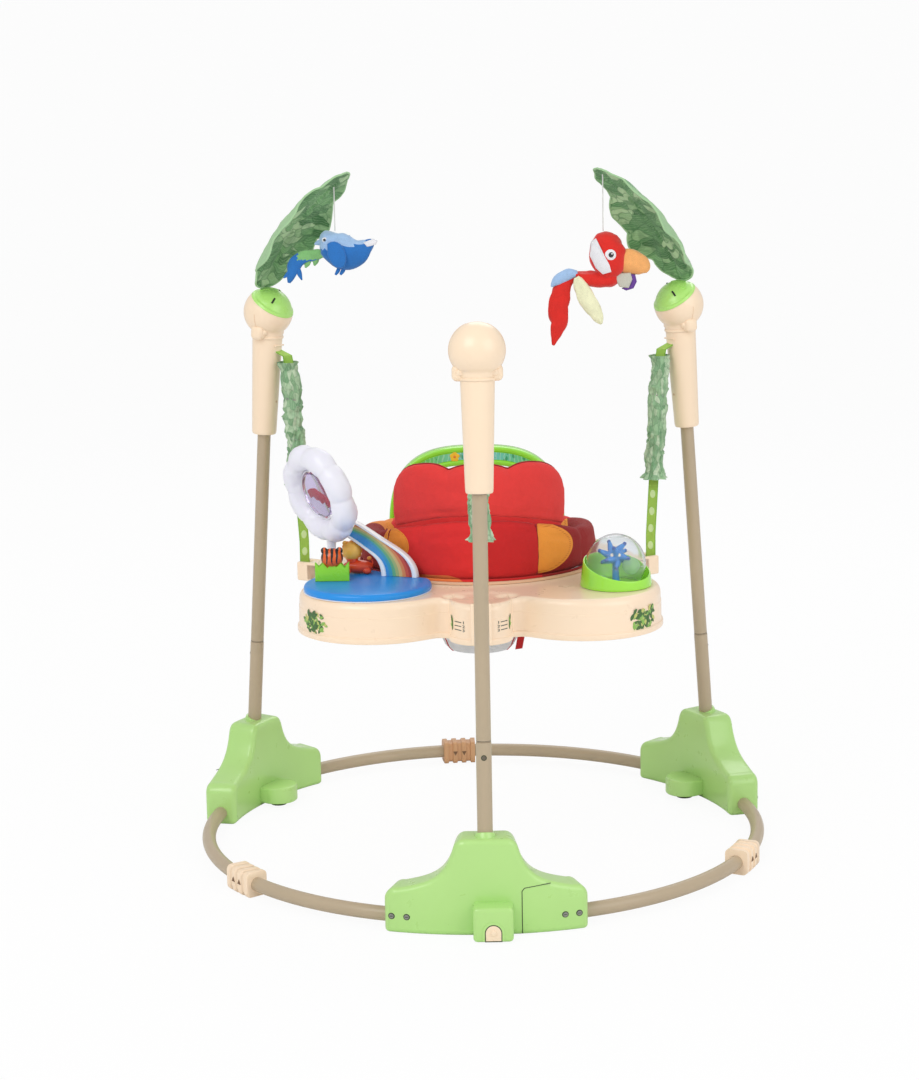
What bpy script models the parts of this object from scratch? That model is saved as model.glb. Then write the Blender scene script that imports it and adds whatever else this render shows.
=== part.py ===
"""Baby activity center: a play tray that bounces on springs inside a three-post stand.

The stand is a floor ring of bent tube with three flared feet, each holding a post that leans
in to a ball-topped head. A strap and a covered spring run from each head down to the tray.
The tray carries a turning seat and four groups of toys, and two stuffed toys hang from
fabric leaves on the rear posts.

Metres, +Z up. The child faces +Y, and the front post stands at -Y. Azimuths turn about the
stand's axis, 0 at the front post and positive towards +X, so a point at azimuth a and
radius r lies at (r sin a, -r cos a).
"""

import math

import bmesh
import bpy
from mathutils import Matrix, Vector
from mathutils.bvhtree import BVHTree

# Clearances
GAP = 0.0003
RUNNING_GAP = 0.0005

# Floor ring
RING_RADIUS = 0.450
RING_TUBE_RADIUS = 0.011
RING_HEIGHT = 0.020
RING_STEP = 6.0
COUPLER_LEAD = 4.9
TUBE_END_GAP = 0.002

# Ring couplers
COUPLER_LENGTH = 0.058
COUPLER_HEIGHT = 0.040
COUPLER_DEPTH = 0.038
COUPLER_RIBS = 4
COUPLER_GROOVE = 0.0025
COUPLER_ROUND = 0.008

# Feet
SIDES = {"front": 0.0, "left": -120.0, "right": 120.0}
FOOT_HALF = 0.146
FOOT_TOP = 0.147
FOOT_DEPTH = 0.054
FOOT_EDGE = 0.007
WING_TOP = 0.0690
WING_ROUND = 0.018
FOOT_TOE = 0.007
SHOULDER_HALF = 0.0475
SHOULDER_DROP = 0.019
CROWN_HALF = 0.028
FLANK_START = 0.126
SEAM_WIDTH = 0.0010
SEAM_DEPTH = 0.0016
SEAM_PLACE = 0.055
SEAM_TOP = 0.074
PAD_RADIUS = 0.0325
PAD_REACH = 0.050
PAD_BOTTOM = 0.008
PAD_TOP = 0.036
PAD_RUBBER_RADIUS = 0.014

# Latch box and its push button
LATCH_WIDTH = 0.059
LATCH_HEIGHT = 0.053
LATCH_PROUD = 0.057
LATCH_OFFSET = 0.0095
LATCH_EDGE = 0.006
LATCH_BOTTOM = 0.001
BUTTON_HALF = 0.0125
BUTTON_TOP = 0.0285
BUTTON_BOTTOM = 0.003
BUTTON_PROUD = 0.0015
BUTTON_LENGTH = 0.0115
BUTTON_TRAVEL = 0.004
BUTTON_BOSS_RADIUS = 0.0045
BUTTON_BOSS_HEIGHT = 0.0018

# Posts, measured along their own axis from the top of the foot
POST_OFFSET = 0.0005
POST_LEAN = 4.52
LOWER_POST_RADIUS = 0.0114
UPPER_POST_RADIUS = 0.0110
SPIGOT_RADIUS = 0.0096
SPIGOT_LENGTH = 0.046
POST_SINK = 0.092
POST_JOINT = 0.139
LOCK_PIN_HEIGHT = 0.117
LOCK_PIN_RADIUS = 0.0032
LOCK_PIN_PROUD = 0.0022
POST_IN_HEAD = 0.150

# Post heads
HEAD_BOTTOM = 0.503
HEAD_BOTTOM_RADIUS = 0.0205
HEAD_NECK_RADIUS = 0.0255
HEAD_LIP = 0.004
BALL_HEIGHT = 0.7092
BALL_RADIUS = 0.041
EAR_HEIGHT = 0.677
EAR_REACH = 0.037
EAR_TALL = 0.024
EAR_DEEP = 0.023
EAR_EDGE = 0.007
SLOT_HEIGHT = 0.6450
SLOT_HALF = 0.0105
SLOT_TALL = 0.022
SLOT_DEEP = 0.0125
SOCKET_TILT = 42.0
SOCKET_OFFSET = 0.010
SOCKET_INSET = 0.0022

# Suspension
SLEEVE_TOP = 0.772
SLEEVE_BOTTOM = 0.566
HANGER_TOP_INWARD = 0.0935
HANGER_FOOT_RADIUS = 0.3362
HANGER_FOOT_HEIGHT = 0.470
STRAP_WIDTH = 0.0172
STRAP_THICKNESS = 0.0016
STRAP_END = 0.4095
STRAP_SLOT_PITCH = 0.029
STRAP_SLOT_COUNT = 5
STRAP_TURN = {"front": 0.0, "left": -30.0, "right": 30.0}
STRAP_SLOT_HALF = 0.0042
STRAP_SLOT_TALL = 0.0062
COIL_RADIUS = 0.0106
COIL_WIRE = 0.0009
COIL_TURNS = 6
COIL_TURN_POINTS = 8
COIL_TOP = 0.755
COIL_BOTTOM = 0.600
SLEEVE_BORE = 0.0124
SLEEVE_WALL = 0.0016
SLEEVE_GATHER = 0.0026
SLEEVE_GATHERS = 8
SLEEVE_FRILL = 0.0065

# Leaves
LEAF_BASE_INWARD = 0.0525
LEAF_TIP_INWARD = 0.164
LEAF_TIP_HEIGHT = 1.082
LEAF_BOW_INWARD = 0.036
LEAF_BOW_HEIGHT = 1.005
LEAF_WIDTH = 0.146
LEAF_BASE_BROAD = 0.22
LEAF_THICKNESS = 0.014
LEAF_CUP = 0.010
LEAF_SCALLOPS = 9
LEAF_SCALLOP_DEPTH = 0.10
STRING_RADIUS = 0.0010
STRING_FROM_TIP = {"left": 0.0245, "right": 0.0080}

# Tray
TRAY_TOP = 0.466
TRAY_BOTTOM = 0.405
TRAY_WALL = 0.0035
TRAY_EDGE = 0.012
TRAY_LIP = 0.003
TRAY_LIP_HEIGHT = 0.007
TRAY_BODY_RADIUS = 0.266
TRAY_BLEND = 85.0
TRAY_POINTS = 60
STRAP_LOBE_CENTRE = 0.292
STRAP_LOBE_RADIUS = 0.046
TOY_LOBE_X = 0.160
TOY_LOBE_Y = 0.200
TOY_LOBE_RADIUS = 0.119
FRONT_FILL_Y = 0.165
FRONT_FILL_RADIUS = 0.128
REAR_LOBE_Y = 0.175
REAR_LOBE_RADIUS = 0.160
WELL_RADIUS = 0.187
WELL_COLLAR = 0.0025
WELL_DEPTH = 0.040
BRACKET_HALF = {"front": 0.0165, "left": 0.0185, "right": 0.0185}
BRACKET_INNER = {"front": 0.310, "left": 0.254, "right": 0.254}
BRACKET_TOP = {"front": 0.470, "left": 0.437, "right": 0.437}
BRACKET_OUTER = 0.3412
BRACKET_EDGE = 0.003
CHANNEL_HALF = 0.0092
PEG_HEIGHT = 0.4230
PEG_RADIUS = 0.0028
PEG_PROUD = 0.0030

# Seat
SEAT_FLANGE_RADIUS = 0.1955
SEAT_FLANGE = 0.004
SEAT_SLEEVE_WALL = 0.006
SEAT_SLEEVE_DEPTH = 0.034
SEAT_RING_STEPS = 32
WRAP_OUTER = 0.1925
WRAP_INNER = 0.152
WRAP_FRONT_TOP = 0.566
WRAP_SIDE_TOP = 0.528
WRAP_REAR_TOP = 0.512
WRAP_CHANNELS = 12
BACK_RADIUS = 0.166
BACK_THICKNESS = 0.030
BACK_HALF_ANGLE = 52.5
BACK_TOP = 0.655
BACK_LOBES = 3
BACK_DIP = 0.008
BACK_SHOULDER = 0.060
BUCKET_WALL = 0.004
BUCKET_BOTTOM = 0.321
LEG_HOLE_RADIUS = 0.047
LEG_HOLE_HEIGHT = 0.392
LEG_HOLE_TURN = 38.0

# Left toys
TOY_BASE_X = -0.172
TOY_BASE_Y = -0.212
TOY_BASE_HALF_X = 0.098
TOY_BASE_HALF_Y = 0.094
TOY_BASE_HEIGHT = 0.012
TOY_BASE_EDGE = 0.004
SEAT_MARGIN = 0.200
RAINBOW_X = -0.225
RAINBOW_Y = -0.137
RAINBOW_TURN = -20.0
RAINBOW_OUTER_X = 0.124
RAINBOW_OUTER_Z = 0.092
RAINBOW_INNER_X = 0.079
RAINBOW_INNER_Z = 0.064
RAINBOW_END = 72.0
RAINBOW_RIM = 0.007
RAINBOW_RIM_DEPTH = 0.013
RAINBOW_WEB_DEPTH = 0.007
CLOUD_CENTRE = Vector((-0.244, -0.162, 0.608))
CLOUD_FACING = Vector((0.77, 0.57, 0.28))
CLOUD_RADIUS = 0.0585
CLOUD_THICK = 0.0175
CLOUD_PUFFS = 8
CLOUD_PUFF = 0.0045
STEM_RADIUS = 0.0065
SPINNER_RADIUS = 0.0370
SPINNER_HALF = 0.008
SPINNER_AXLE = 0.002
TIGER_X = -0.2265
TIGER_Y = -0.197
TIGER_HALF = 0.0262
TIGER_DEPTH = 0.016
GRASS_HEIGHT = 0.030
GRASS_TEETH = 4
GRASS_TOOTH = 0.007
TIGER_HEAD_RADIUS = 0.0155
TIGER_EAR_RADIUS = 0.0055
LION_X = -0.190
LION_Y = -0.146
LION_LENGTH = 0.050
LION_WIDTH = 0.028
LION_HEIGHT = 0.026
LION_HEAD_RADIUS = 0.0150
LION_HEAD_HEIGHT = 0.036

# Dome toy
DOME_X = 0.2090
DOME_Y = -0.2080
DOME_RADIUS = 0.046
DOME_WALL = 0.002
DOME_RISE = 0.0300
CUP_FOOT_RADIUS = 0.0550
CUP_RIM_RADIUS = 0.0495
CUP_FLOOR = 0.003
CUP_HEIGHT = 0.044
CUP_WALL_GAP = 0.0008
CUP_SCOOP_SLOPE = 0.24
CUP_SCOOP_HEIGHT = 0.0310
CREATURE_RADIUS = 0.0125
CREATURE_SPIKE = 0.0130
CREATURE_HEIGHT = 0.028
CREATURE_LEG_RADIUS = 0.009

# Toy arch
ARCH_Y = 0.215
ARCH_HALF = 0.143
ARCH_TOP = 0.618
ARCH_BAND = 0.030
ARCH_LEG = 0.022
ARCH_DEPTH = 0.030
ARCH_POWER = 2.6
ARCH_EDGE = 0.003

# Stuffed toys. Each station is x, z, half height and half depth, measured from the top of
# the toy's string in the plane that faces the front.
BIRD_BODY = [
    (-0.0260, -0.0840, 0.005, 0.005),
    (-0.0170, -0.0880, 0.0200, 0.0180),
    (-0.0010, -0.0980, 0.0270, 0.0225),
    (0.0190, -0.1060, 0.0290, 0.0205),
    (0.0370, -0.1040, 0.0220, 0.0160),
    (0.0510, -0.0970, 0.0120, 0.0100),
    (0.0620, -0.0870, 0.0040, 0.0040),
]
BIRD_TAIL = [
    (-0.0180, -0.1080, 0.0070, 0.0060),
    (-0.0370, -0.1100, 0.0085, 0.0060),
    (-0.0530, -0.1130, 0.0095, 0.0058),
    (-0.0660, -0.1240, 0.0100, 0.0055),
    (-0.0730, -0.1390, 0.0085, 0.0050),
    (-0.0780, -0.1530, 0.0030, 0.0030),
]
PARROT_HEAD = [
    (0.0045, -0.0915, 0.0050, 0.0050),
    (0.0045, -0.0990, 0.0180, 0.0150),
    (0.0055, -0.1150, 0.0285, 0.0215),
    (0.0070, -0.1330, 0.0300, 0.0240),
    (0.0090, -0.1500, 0.0255, 0.0210),
    (0.0095, -0.1630, 0.0170, 0.0160),
    (0.0095, -0.1710, 0.0070, 0.0070),
]
PARROT_BEAK = [
    (0.0250, -0.1390, 0.0160, 0.0120),
    (0.0430, -0.1390, 0.0180, 0.0125),
    (0.0600, -0.1440, 0.0145, 0.0105),
    (0.0720, -0.1520, 0.0075, 0.0065),
    (0.0760, -0.1590, 0.0030, 0.0030),
]
PARROT_BODY = [
    (0.0240, -0.1710, 0.0050, 0.0060),
    (0.0160, -0.1700, 0.0120, 0.0135),
    (-0.0010, -0.1700, 0.0145, 0.0165),
    (-0.0190, -0.1680, 0.0130, 0.0155),
    (-0.0360, -0.1650, 0.0095, 0.0110),
    (-0.0480, -0.1640, 0.0060, 0.0070),
    (-0.0530, -0.1640, 0.0030, 0.0030),
]
PARROT_TAIL = [
    (-0.0480, -0.1660, 0.0060, 0.0050),
    (-0.0620, -0.1770, 0.0130, 0.0070),
    (-0.0710, -0.1980, 0.0165, 0.0075),
    (-0.0740, -0.2210, 0.0160, 0.0070),
    (-0.0730, -0.2420, 0.0140, 0.0065),
    (-0.0780, -0.2610, 0.0085, 0.0050),
    (-0.0830, -0.2760, 0.0025, 0.0025),
]
PARROT_WING = [
    (-0.0440, -0.1640, 0.0040, 0.0030),
    (-0.0390, -0.1740, 0.0105, 0.0048),
    (-0.0300, -0.1930, 0.0145, 0.0055),
    (-0.0180, -0.2150, 0.0135, 0.0055),
    (-0.0090, -0.2310, 0.0090, 0.0045),
    (-0.0040, -0.2410, 0.0025, 0.0022),
]
PARROT_WING_FORWARD = 0.0125
STUFFED_POINTS = 10

# Sizes that follow from the ones above
POST_BASE_RADIUS = RING_RADIUS + POST_OFFSET
LATCH_REACH = RING_RADIUS + LATCH_PROUD
HANGER_TOP_RADIUS = POST_BASE_RADIUS - HANGER_TOP_INWARD
LEAF_BASE_RADIUS = POST_BASE_RADIUS - LEAF_BASE_INWARD
LEAF_BOW_RADIUS = LEAF_BASE_RADIUS - LEAF_BOW_INWARD
LEAF_TIP_RADIUS = LEAF_BASE_RADIUS - LEAF_TIP_INWARD
FRONT_REACH = LATCH_REACH + BUTTON_PROUD + BUTTON_BOSS_HEIGHT
REAR_REACH = (RING_RADIUS + COUPLER_DEPTH / 2) * math.cos(math.radians(COUPLER_LEAD))
STAND_Y = (FRONT_REACH - REAR_REACH) / 2
DECK = TRAY_TOP + GAP
TOY_DECK = DECK + TOY_BASE_HEIGHT
SEAT_TOP = DECK + SEAT_FLANGE
DOME_FLOOR = DECK + CUP_FLOOR + GAP

parts = None
cutters = None


def clear_scene():
    """Empty the file and make the two collections."""
    global parts, cutters
    for obj in list(bpy.data.objects):
        bpy.data.objects.remove(obj, do_unlink=True)
    parts = bpy.data.collections.new("baby_activity_center")
    cutters = bpy.data.collections.new("cutters")
    for collection in (parts, cutters):
        bpy.context.scene.collection.children.link(collection)


def make_material(name, colour, roughness, metallic=0.0, alpha=1.0):
    """A Principled BSDF material."""
    material = bpy.data.materials.new(name)
    material.use_nodes = True
    shader = material.node_tree.nodes["Principled BSDF"]
    shader.inputs["Base Color"].default_value = (*colour, 1.0)
    shader.inputs["Roughness"].default_value = roughness
    shader.inputs["Metallic"].default_value = metallic
    shader.inputs["Alpha"].default_value = alpha
    material.diffuse_color = (*colour, alpha)
    return material


def make_frame(name, parent=None, location=(0, 0, 0), turn=0.0, lean=0.0):
    """An empty that carries parts, turned about +Z and leant about its own X, in degrees."""
    frame = bpy.data.objects.new(name, None)
    frame.empty_display_size = 0.03
    parts.objects.link(frame)
    frame.parent = parent
    frame.location = location
    frame.rotation_euler = (math.radians(lean), 0.0, math.radians(turn))
    return frame


def add_object(name, mesh, material, frame, pivot=None, cutter=False):
    """Link a mesh given in the coordinates of frame. A pivot is an empty on frame."""
    if material:
        mesh.materials.append(material)
    mesh.shade_smooth()
    mesh.set_sharp_from_angle(angle=math.radians(35))
    if pivot:
        mesh.transform(Matrix.Translation(-pivot.location))
    obj = bpy.data.objects.new(name, mesh)
    (cutters if cutter else parts).objects.link(obj)
    obj.parent = pivot or frame
    if cutter:
        obj.hide_render = True
        obj.display_type = "WIRE"
    return obj


def add_bmesh(name, bm, material, frame, pivot=None, cutter=False):
    """Turn a closed bmesh into an object whose faces point outwards."""
    bmesh.ops.remove_doubles(bm, verts=bm.verts, dist=1e-6)
    bmesh.ops.recalc_face_normals(bm, faces=bm.faces)
    mesh = bpy.data.meshes.new(name)
    bm.to_mesh(mesh)
    bm.free()
    return add_object(name, mesh, material, frame, pivot, cutter)


def combine(obj, name, bm, operation, pivot=None):
    """Join a closed bmesh to obj, or cut it out of it, with a Boolean modifier."""
    frame = obj.parent.parent if pivot else obj.parent
    tool = add_bmesh(f"{obj.name}_{name}", bm, None, frame, pivot, cutter=True)
    modifier = obj.modifiers.new(name, "BOOLEAN")
    modifier.operation = operation
    modifier.object = tool
    modifier.solver = "EXACT"


def block(size, centre, edge=0.0, segments=2):
    """A box with rounded edges."""
    bm = bmesh.new()
    bmesh.ops.create_cube(bm, size=1.0)
    bmesh.ops.scale(bm, vec=size, verts=bm.verts)
    if edge:
        bmesh.ops.bevel(
            bm,
            geom=bm.edges[:],
            offset=edge,
            segments=segments,
            profile=0.5,
            affect="EDGES",
            material=-1,
        )
    bmesh.ops.translate(bm, vec=centre, verts=bm.verts)
    return bm


def rod(radius, start, end, sides=12, end_radius=None):
    """A cylinder or cone between two points."""
    start, end = Vector(start), Vector(end)
    bm = bmesh.new()
    bmesh.ops.create_cone(
        bm,
        cap_ends=True,
        segments=sides,
        radius1=radius,
        radius2=radius if end_radius is None else end_radius,
        depth=(end - start).length,
    )
    turn = Vector((0, 0, 1)).rotation_difference(end - start).to_matrix()
    bmesh.ops.rotate(bm, matrix=turn, verts=bm.verts)
    bmesh.ops.translate(bm, vec=(start + end) / 2, verts=bm.verts)
    return bm


def ball(radius, centre, sides=16, rings=8, stretch=(1, 1, 1)):
    """A sphere, or an ellipsoid."""
    bm = bmesh.new()
    bmesh.ops.create_uvsphere(bm, u_segments=sides, v_segments=rings, radius=radius)
    bmesh.ops.scale(bm, vec=stretch, verts=bm.verts)
    bmesh.ops.translate(bm, vec=centre, verts=bm.verts)
    return bm


def plate(outline, depth, centre_y=0.0):
    """A flat outline in X and Z, given in order, with a thickness along Y."""
    bm = bmesh.new()
    verts = [bm.verts.new((x, centre_y - depth / 2, z)) for x, z in outline]
    face = bm.faces.new(verts)
    grown = bmesh.ops.extrude_face_region(bm, geom=[face])["geom"]
    moved = [item for item in grown if isinstance(item, bmesh.types.BMVert)]
    bmesh.ops.translate(bm, vec=(0, depth, 0), verts=moved)
    return bm


def loft(sections, closed=False):
    """A skin over rings of equal count. A closed loft joins its last ring to its first."""
    bm = bmesh.new()
    rings = [[bm.verts.new(point) for point in section] for section in sections]
    count = len(rings[0])
    pairs = list(zip(rings, rings[1:]))
    if closed:
        pairs.append((rings[-1], rings[0]))
    for first, second in pairs:
        for i in range(count):
            j = (i + 1) % count
            bm.faces.new((first[i], first[j], second[j], second[i]))
    if not closed:
        bm.faces.new(rings[0][::-1])
        bm.faces.new(rings[-1])
    return bm


def turned(name, profile, material, frame, steps=16, loop=False, pivot=None, centre=(0, 0)):
    """A round piece: a profile of (radius, z) swept about a vertical axis by a Screw."""
    bm = bmesh.new()
    verts = [bm.verts.new((radius, 0, z)) for radius, z in profile]
    for first, second in zip(verts, verts[1:]):
        bm.edges.new((first, second))
    if loop:
        bm.edges.new((verts[-1], verts[0]))
    mesh = bpy.data.meshes.new(name)
    bm.to_mesh(mesh)
    bm.free()
    mesh.materials.append(material)
    obj = bpy.data.objects.new(name, mesh)
    parts.objects.link(obj)
    obj.parent = pivot or frame
    place = Vector((*centre, 0.0))
    obj.location = place - pivot.location if pivot else place
    screw = obj.modifiers.new("turn", "SCREW")
    screw.axis = "Z"
    screw.steps = steps
    screw.render_steps = steps
    screw.use_merge_vertices = True
    screw.merge_threshold = 0.00001
    screw.use_smooth_shade = True
    return obj


def arc(centre, radius, start, end, count):
    """Points on a circle, both ends included, angles in degrees."""
    points = []
    for i in range(count):
        angle = math.radians(start + (end - start) * i / (count - 1))
        points.append((centre[0] + radius * math.cos(angle), centre[1] + radius * math.sin(angle)))
    return points


def bezier(start, handle_1, handle_2, end, count):
    """Points on a cubic Bezier curve, both ends included."""
    points = []
    for i in range(count):
        t = i / (count - 1)
        s = 1 - t
        weights = (s**3, 3 * s * s * t, 3 * s * t * t, t**3)
        ends = (start, handle_1, handle_2, end)
        points.append(tuple(sum(w * p[k] for w, p in zip(weights, ends)) for k in range(len(start))))
    return points


def on_ring(azimuth, radius, height):
    """A point given by its azimuth in degrees, its radius and its height."""
    angle = math.radians(azimuth)
    return Vector((radius * math.sin(angle), -radius * math.cos(angle), height))


def tube(name, points, radius, resolution, material, frame, pivot=None):
    """A round bar along points, as a curve object."""
    curve = bpy.data.curves.new(name, "CURVE")
    curve.dimensions = "3D"
    curve.bevel_depth = radius
    curve.bevel_resolution = resolution
    curve.use_fill_caps = True
    spline = curve.splines.new("POLY")
    spline.points.add(len(points) - 1)
    shift = pivot.location if pivot else Vector()
    for node, point in zip(spline.points, points):
        node.co = (*(Vector(point) - shift), 1.0)
    curve.materials.append(material)
    obj = bpy.data.objects.new(name, curve)
    parts.objects.link(obj)
    obj.parent = pivot or frame
    return obj


def tube_bmesh(points, radius, resolution):
    """The same bar as a closed bmesh, for use as a cutter."""
    guide = tube("guide", points, radius, resolution, None, None)
    bpy.context.view_layer.update()
    depsgraph = bpy.context.evaluated_depsgraph_get()
    mesh = bpy.data.meshes.new_from_object(guide.evaluated_get(depsgraph))
    bm = bmesh.new()
    bm.from_mesh(mesh)
    bmesh.ops.remove_doubles(bm, verts=bm.verts, dist=1e-6)
    bpy.data.objects.remove(guide)
    bpy.data.meshes.remove(mesh)
    return bm


def ring_route(first, last):
    """Points of the floor ring between two azimuths, on the steps that its tubes use."""
    count = round((last - first) / RING_STEP)
    return [on_ring(first + RING_STEP * i, RING_RADIUS, RING_HEIGHT) for i in range(count + 1)]


def build_ring(frame, steel, peach):
    """Three bent tubes, and the ribbed couplers that cover where they meet."""
    trim = math.degrees(TUBE_END_GAP / 2 / RING_RADIUS)
    for side, azimuth in SIDES.items():
        route = ring_route(azimuth + COUPLER_LEAD - 60, azimuth + COUPLER_LEAD + 60)
        route[0] = on_ring(azimuth + COUPLER_LEAD - 60 + trim, RING_RADIUS, RING_HEIGHT)
        route[-1] = on_ring(azimuth + COUPLER_LEAD + 60 - trim, RING_RADIUS, RING_HEIGHT)
        tube(f"base_tube_{side}", route, RING_TUBE_RADIUS, 2, steel, frame)
    names = {"front_right": 60.0, "rear": 180.0, "front_left": -60.0}
    for name, azimuth in names.items():
        build_coupler(f"ring_coupler_{name}", azimuth + COUPLER_LEAD, frame, peach)


def build_coupler(name, azimuth, frame, peach):
    """A rounded sleeve along the ring, with ribs between shallow grooves."""
    half = math.degrees(COUPLER_LENGTH / 2 / RING_RADIUS)
    spans = 2 * COUPLER_RIBS - 1
    sections = []
    for i in range(spans):
        inset = COUPLER_GROOVE if i % 2 else 0.0
        for edge in (0.08, 0.92):
            place = azimuth - half + 2 * half * (i + edge) / spans
            sections.append(coupler_section(place, inset))
    sleeve = add_bmesh(name, loft(sections), peach, frame)
    bore = tube_bmesh(
        ring_route(azimuth - 2 * RING_STEP, azimuth + 2 * RING_STEP), RING_TUBE_RADIUS + GAP, 2
    )
    combine(sleeve, "bore", bore, "DIFFERENCE")


def coupler_section(azimuth, inset):
    """A rounded rectangle across the ring tube."""
    half_deep = COUPLER_DEPTH / 2 - inset
    half_tall = COUPLER_HEIGHT / 2 - inset
    radius = COUPLER_ROUND
    corners = [(1, 1, 0), (-1, 1, 90), (-1, -1, 180), (1, -1, 270)]
    points = []
    for across, up, start in corners:
        centre = (across * (half_deep - radius), up * (half_tall - radius))
        points.extend(arc(centre, radius, start, start + 90, 3))
    return [on_ring(azimuth, RING_RADIUS + deep, RING_HEIGHT + tall) for deep, tall in points]


def foot_outline():
    """The foot seen from outside: flat sole, rounded wing ends, flared flanks, round crown."""
    half = arc((FOOT_HALF - FOOT_TOE, FOOT_TOE), FOOT_TOE, -90, 0, 3)
    wing = (FOOT_HALF - WING_ROUND, WING_TOP - WING_ROUND)
    half += arc(wing, WING_ROUND, 0, 84, 4)
    shoulder = (SHOULDER_HALF, FOOT_TOP - SHOULDER_DROP)
    half += bezier(
        (FLANK_START, WING_TOP),
        (FLANK_START - 0.041, WING_TOP + 0.010),
        (SHOULDER_HALF + 0.0125, FOOT_TOP - SHOULDER_DROP - 0.043),
        shoulder,
        7,
    )
    crown = (CROWN_HALF, FOOT_TOP)
    half += bezier(
        shoulder,
        (SHOULDER_HALF - 0.0035, FOOT_TOP - 0.005),
        (CROWN_HALF + 0.010, FOOT_TOP),
        crown,
        5,
    )[1:]
    return half + [(-x, z) for x, z in reversed(half)]


def bend_round_ring(bm):
    """Wrap a straight shape, built along X at y 0, round the floor ring."""
    for vert in bm.verts:
        x, y, z = vert.co
        vert.co = on_ring(math.degrees(x / RING_RADIUS), RING_RADIUS - y, z)


def foot_body():
    """The foot's main block, bent to the ring."""
    bm = plate(foot_outline(), FOOT_DEPTH)
    rims = [edge for edge in bm.edges if abs(edge.verts[0].co.y - edge.verts[1].co.y) < 1e-6]
    bmesh.ops.bevel(
        bm, geom=rims, offset=FOOT_EDGE, segments=2, profile=0.5, affect="EDGES", material=-1
    )
    for share in (0.25, 0.60):
        for place in (-share * FOOT_HALF, share * FOOT_HALF):
            bmesh.ops.bisect_plane(
                bm, geom=bm.verts[:] + bm.edges[:] + bm.faces[:],
                plane_co=(place, 0, 0), plane_no=(1, 0, 0),
            )
    bmesh.ops.triangulate(bm, faces=bm.faces[:])
    bend_round_ring(bm)
    return bm


def bullet(half_width, bottom, top, depth, centre_y):
    """An upright bullet-shaped plate: straight sides under a round top."""
    outline = [(LATCH_OFFSET - half_width, bottom), (LATCH_OFFSET + half_width, bottom)]
    outline += arc((LATCH_OFFSET, top - half_width), half_width, 0, 180, 7)
    return plate(outline, depth, centre_y)


def build_foot(side, frame, green, peach):
    """A moulded foot with its latch box, inner pad, post socket and push button."""
    foot = add_bmesh(f"foot_shell_{side}", foot_body(), green, frame)
    latch_root = RING_RADIUS + FOOT_DEPTH / 4
    latch = block(
        (LATCH_WIDTH, LATCH_REACH - latch_root, LATCH_HEIGHT - LATCH_BOTTOM),
        (LATCH_OFFSET, -(LATCH_REACH + latch_root) / 2, (LATCH_HEIGHT + LATCH_BOTTOM) / 2),
        LATCH_EDGE,
        1,
    )
    combine(foot, "latch_box", latch, "UNION")
    pad_y = -(RING_RADIUS - FOOT_DEPTH / 2 - PAD_REACH + PAD_RADIUS)
    pad = rod(PAD_RADIUS, (0, pad_y, PAD_BOTTOM), (0, pad_y, PAD_TOP), 20)
    combine(foot, "pad", pad, "UNION")
    rubber = rod(PAD_RUBBER_RADIUS, (0, pad_y, 0), (0, pad_y, PAD_BOTTOM + 0.004), 12)
    combine(foot, "rubber", rubber, "UNION")
    lead = COUPLER_LEAD - 6 * RING_STEP
    tunnel = tube_bmesh(ring_route(lead - RING_STEP, lead + 13 * RING_STEP), RING_TUBE_RADIUS + GAP, 2)
    combine(foot, "ring_tunnel", tunnel, "DIFFERENCE")
    socket = rod(LOWER_POST_RADIUS + GAP, (0, 0, -POST_SINK - GAP), (0, 0, FOOT_TOP), 16)
    bmesh.ops.transform(socket, matrix=post_matrix(), verts=socket.verts)
    combine(foot, "post_socket", socket, "DIFFERENCE")
    pocket_depth = BUTTON_LENGTH - BUTTON_PROUD + BUTTON_TRAVEL + RUNNING_GAP
    pocket = bullet(
        BUTTON_HALF + RUNNING_GAP,
        -LATCH_EDGE,
        BUTTON_TOP + RUNNING_GAP,
        2 * pocket_depth,
        -LATCH_REACH,
    )
    combine(foot, "button_pocket", pocket, "DIFFERENCE")
    cut_seam(foot)

    back = LATCH_REACH - BUTTON_LENGTH + BUTTON_PROUD
    front = LATCH_REACH + BUTTON_PROUD
    pivot = make_frame(f"button_slide_{side}", frame, (LATCH_OFFSET, -front, BUTTON_TOP / 2))
    body = bullet(BUTTON_HALF, BUTTON_BOTTOM, BUTTON_TOP, front - back, -(front + back) / 2)
    button = add_bmesh(f"foot_button_{side}", body, peach, frame, pivot)
    boss_z = BUTTON_TOP - BUTTON_HALF
    boss = rod(
        BUTTON_BOSS_RADIUS,
        (LATCH_OFFSET, -front + 0.002, boss_z),
        (LATCH_OFFSET, -front - BUTTON_BOSS_HEIGHT, boss_z),
        10,
    )
    combine(button, "boss", boss, "UNION", pivot)


def cut_seam(foot):
    """The parting groove between the wing and the rest, on the outer face."""
    outer = RING_RADIUS + FOOT_DEPTH / 2
    groove = block(
        (SEAM_WIDTH, 2 * SEAM_DEPTH, SEAM_TOP + 0.010),
        (SEAM_PLACE, 0, (SEAM_TOP - 0.010) / 2),
    )
    turn = Matrix.Rotation(SEAM_PLACE / RING_RADIUS, 4, "Z")
    bmesh.ops.translate(groove, vec=(-SEAM_PLACE, -outer, 0), verts=groove.verts)
    bmesh.ops.transform(groove, matrix=turn, verts=groove.verts)
    combine(foot, "seam", groove, "DIFFERENCE")


def post_matrix():
    """The post's own frame, in the frame of its side."""
    place = Matrix.Translation((0, -POST_BASE_RADIUS, FOOT_TOP))
    return place @ Matrix.Rotation(math.radians(-POST_LEAN), 4, "X")


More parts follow.
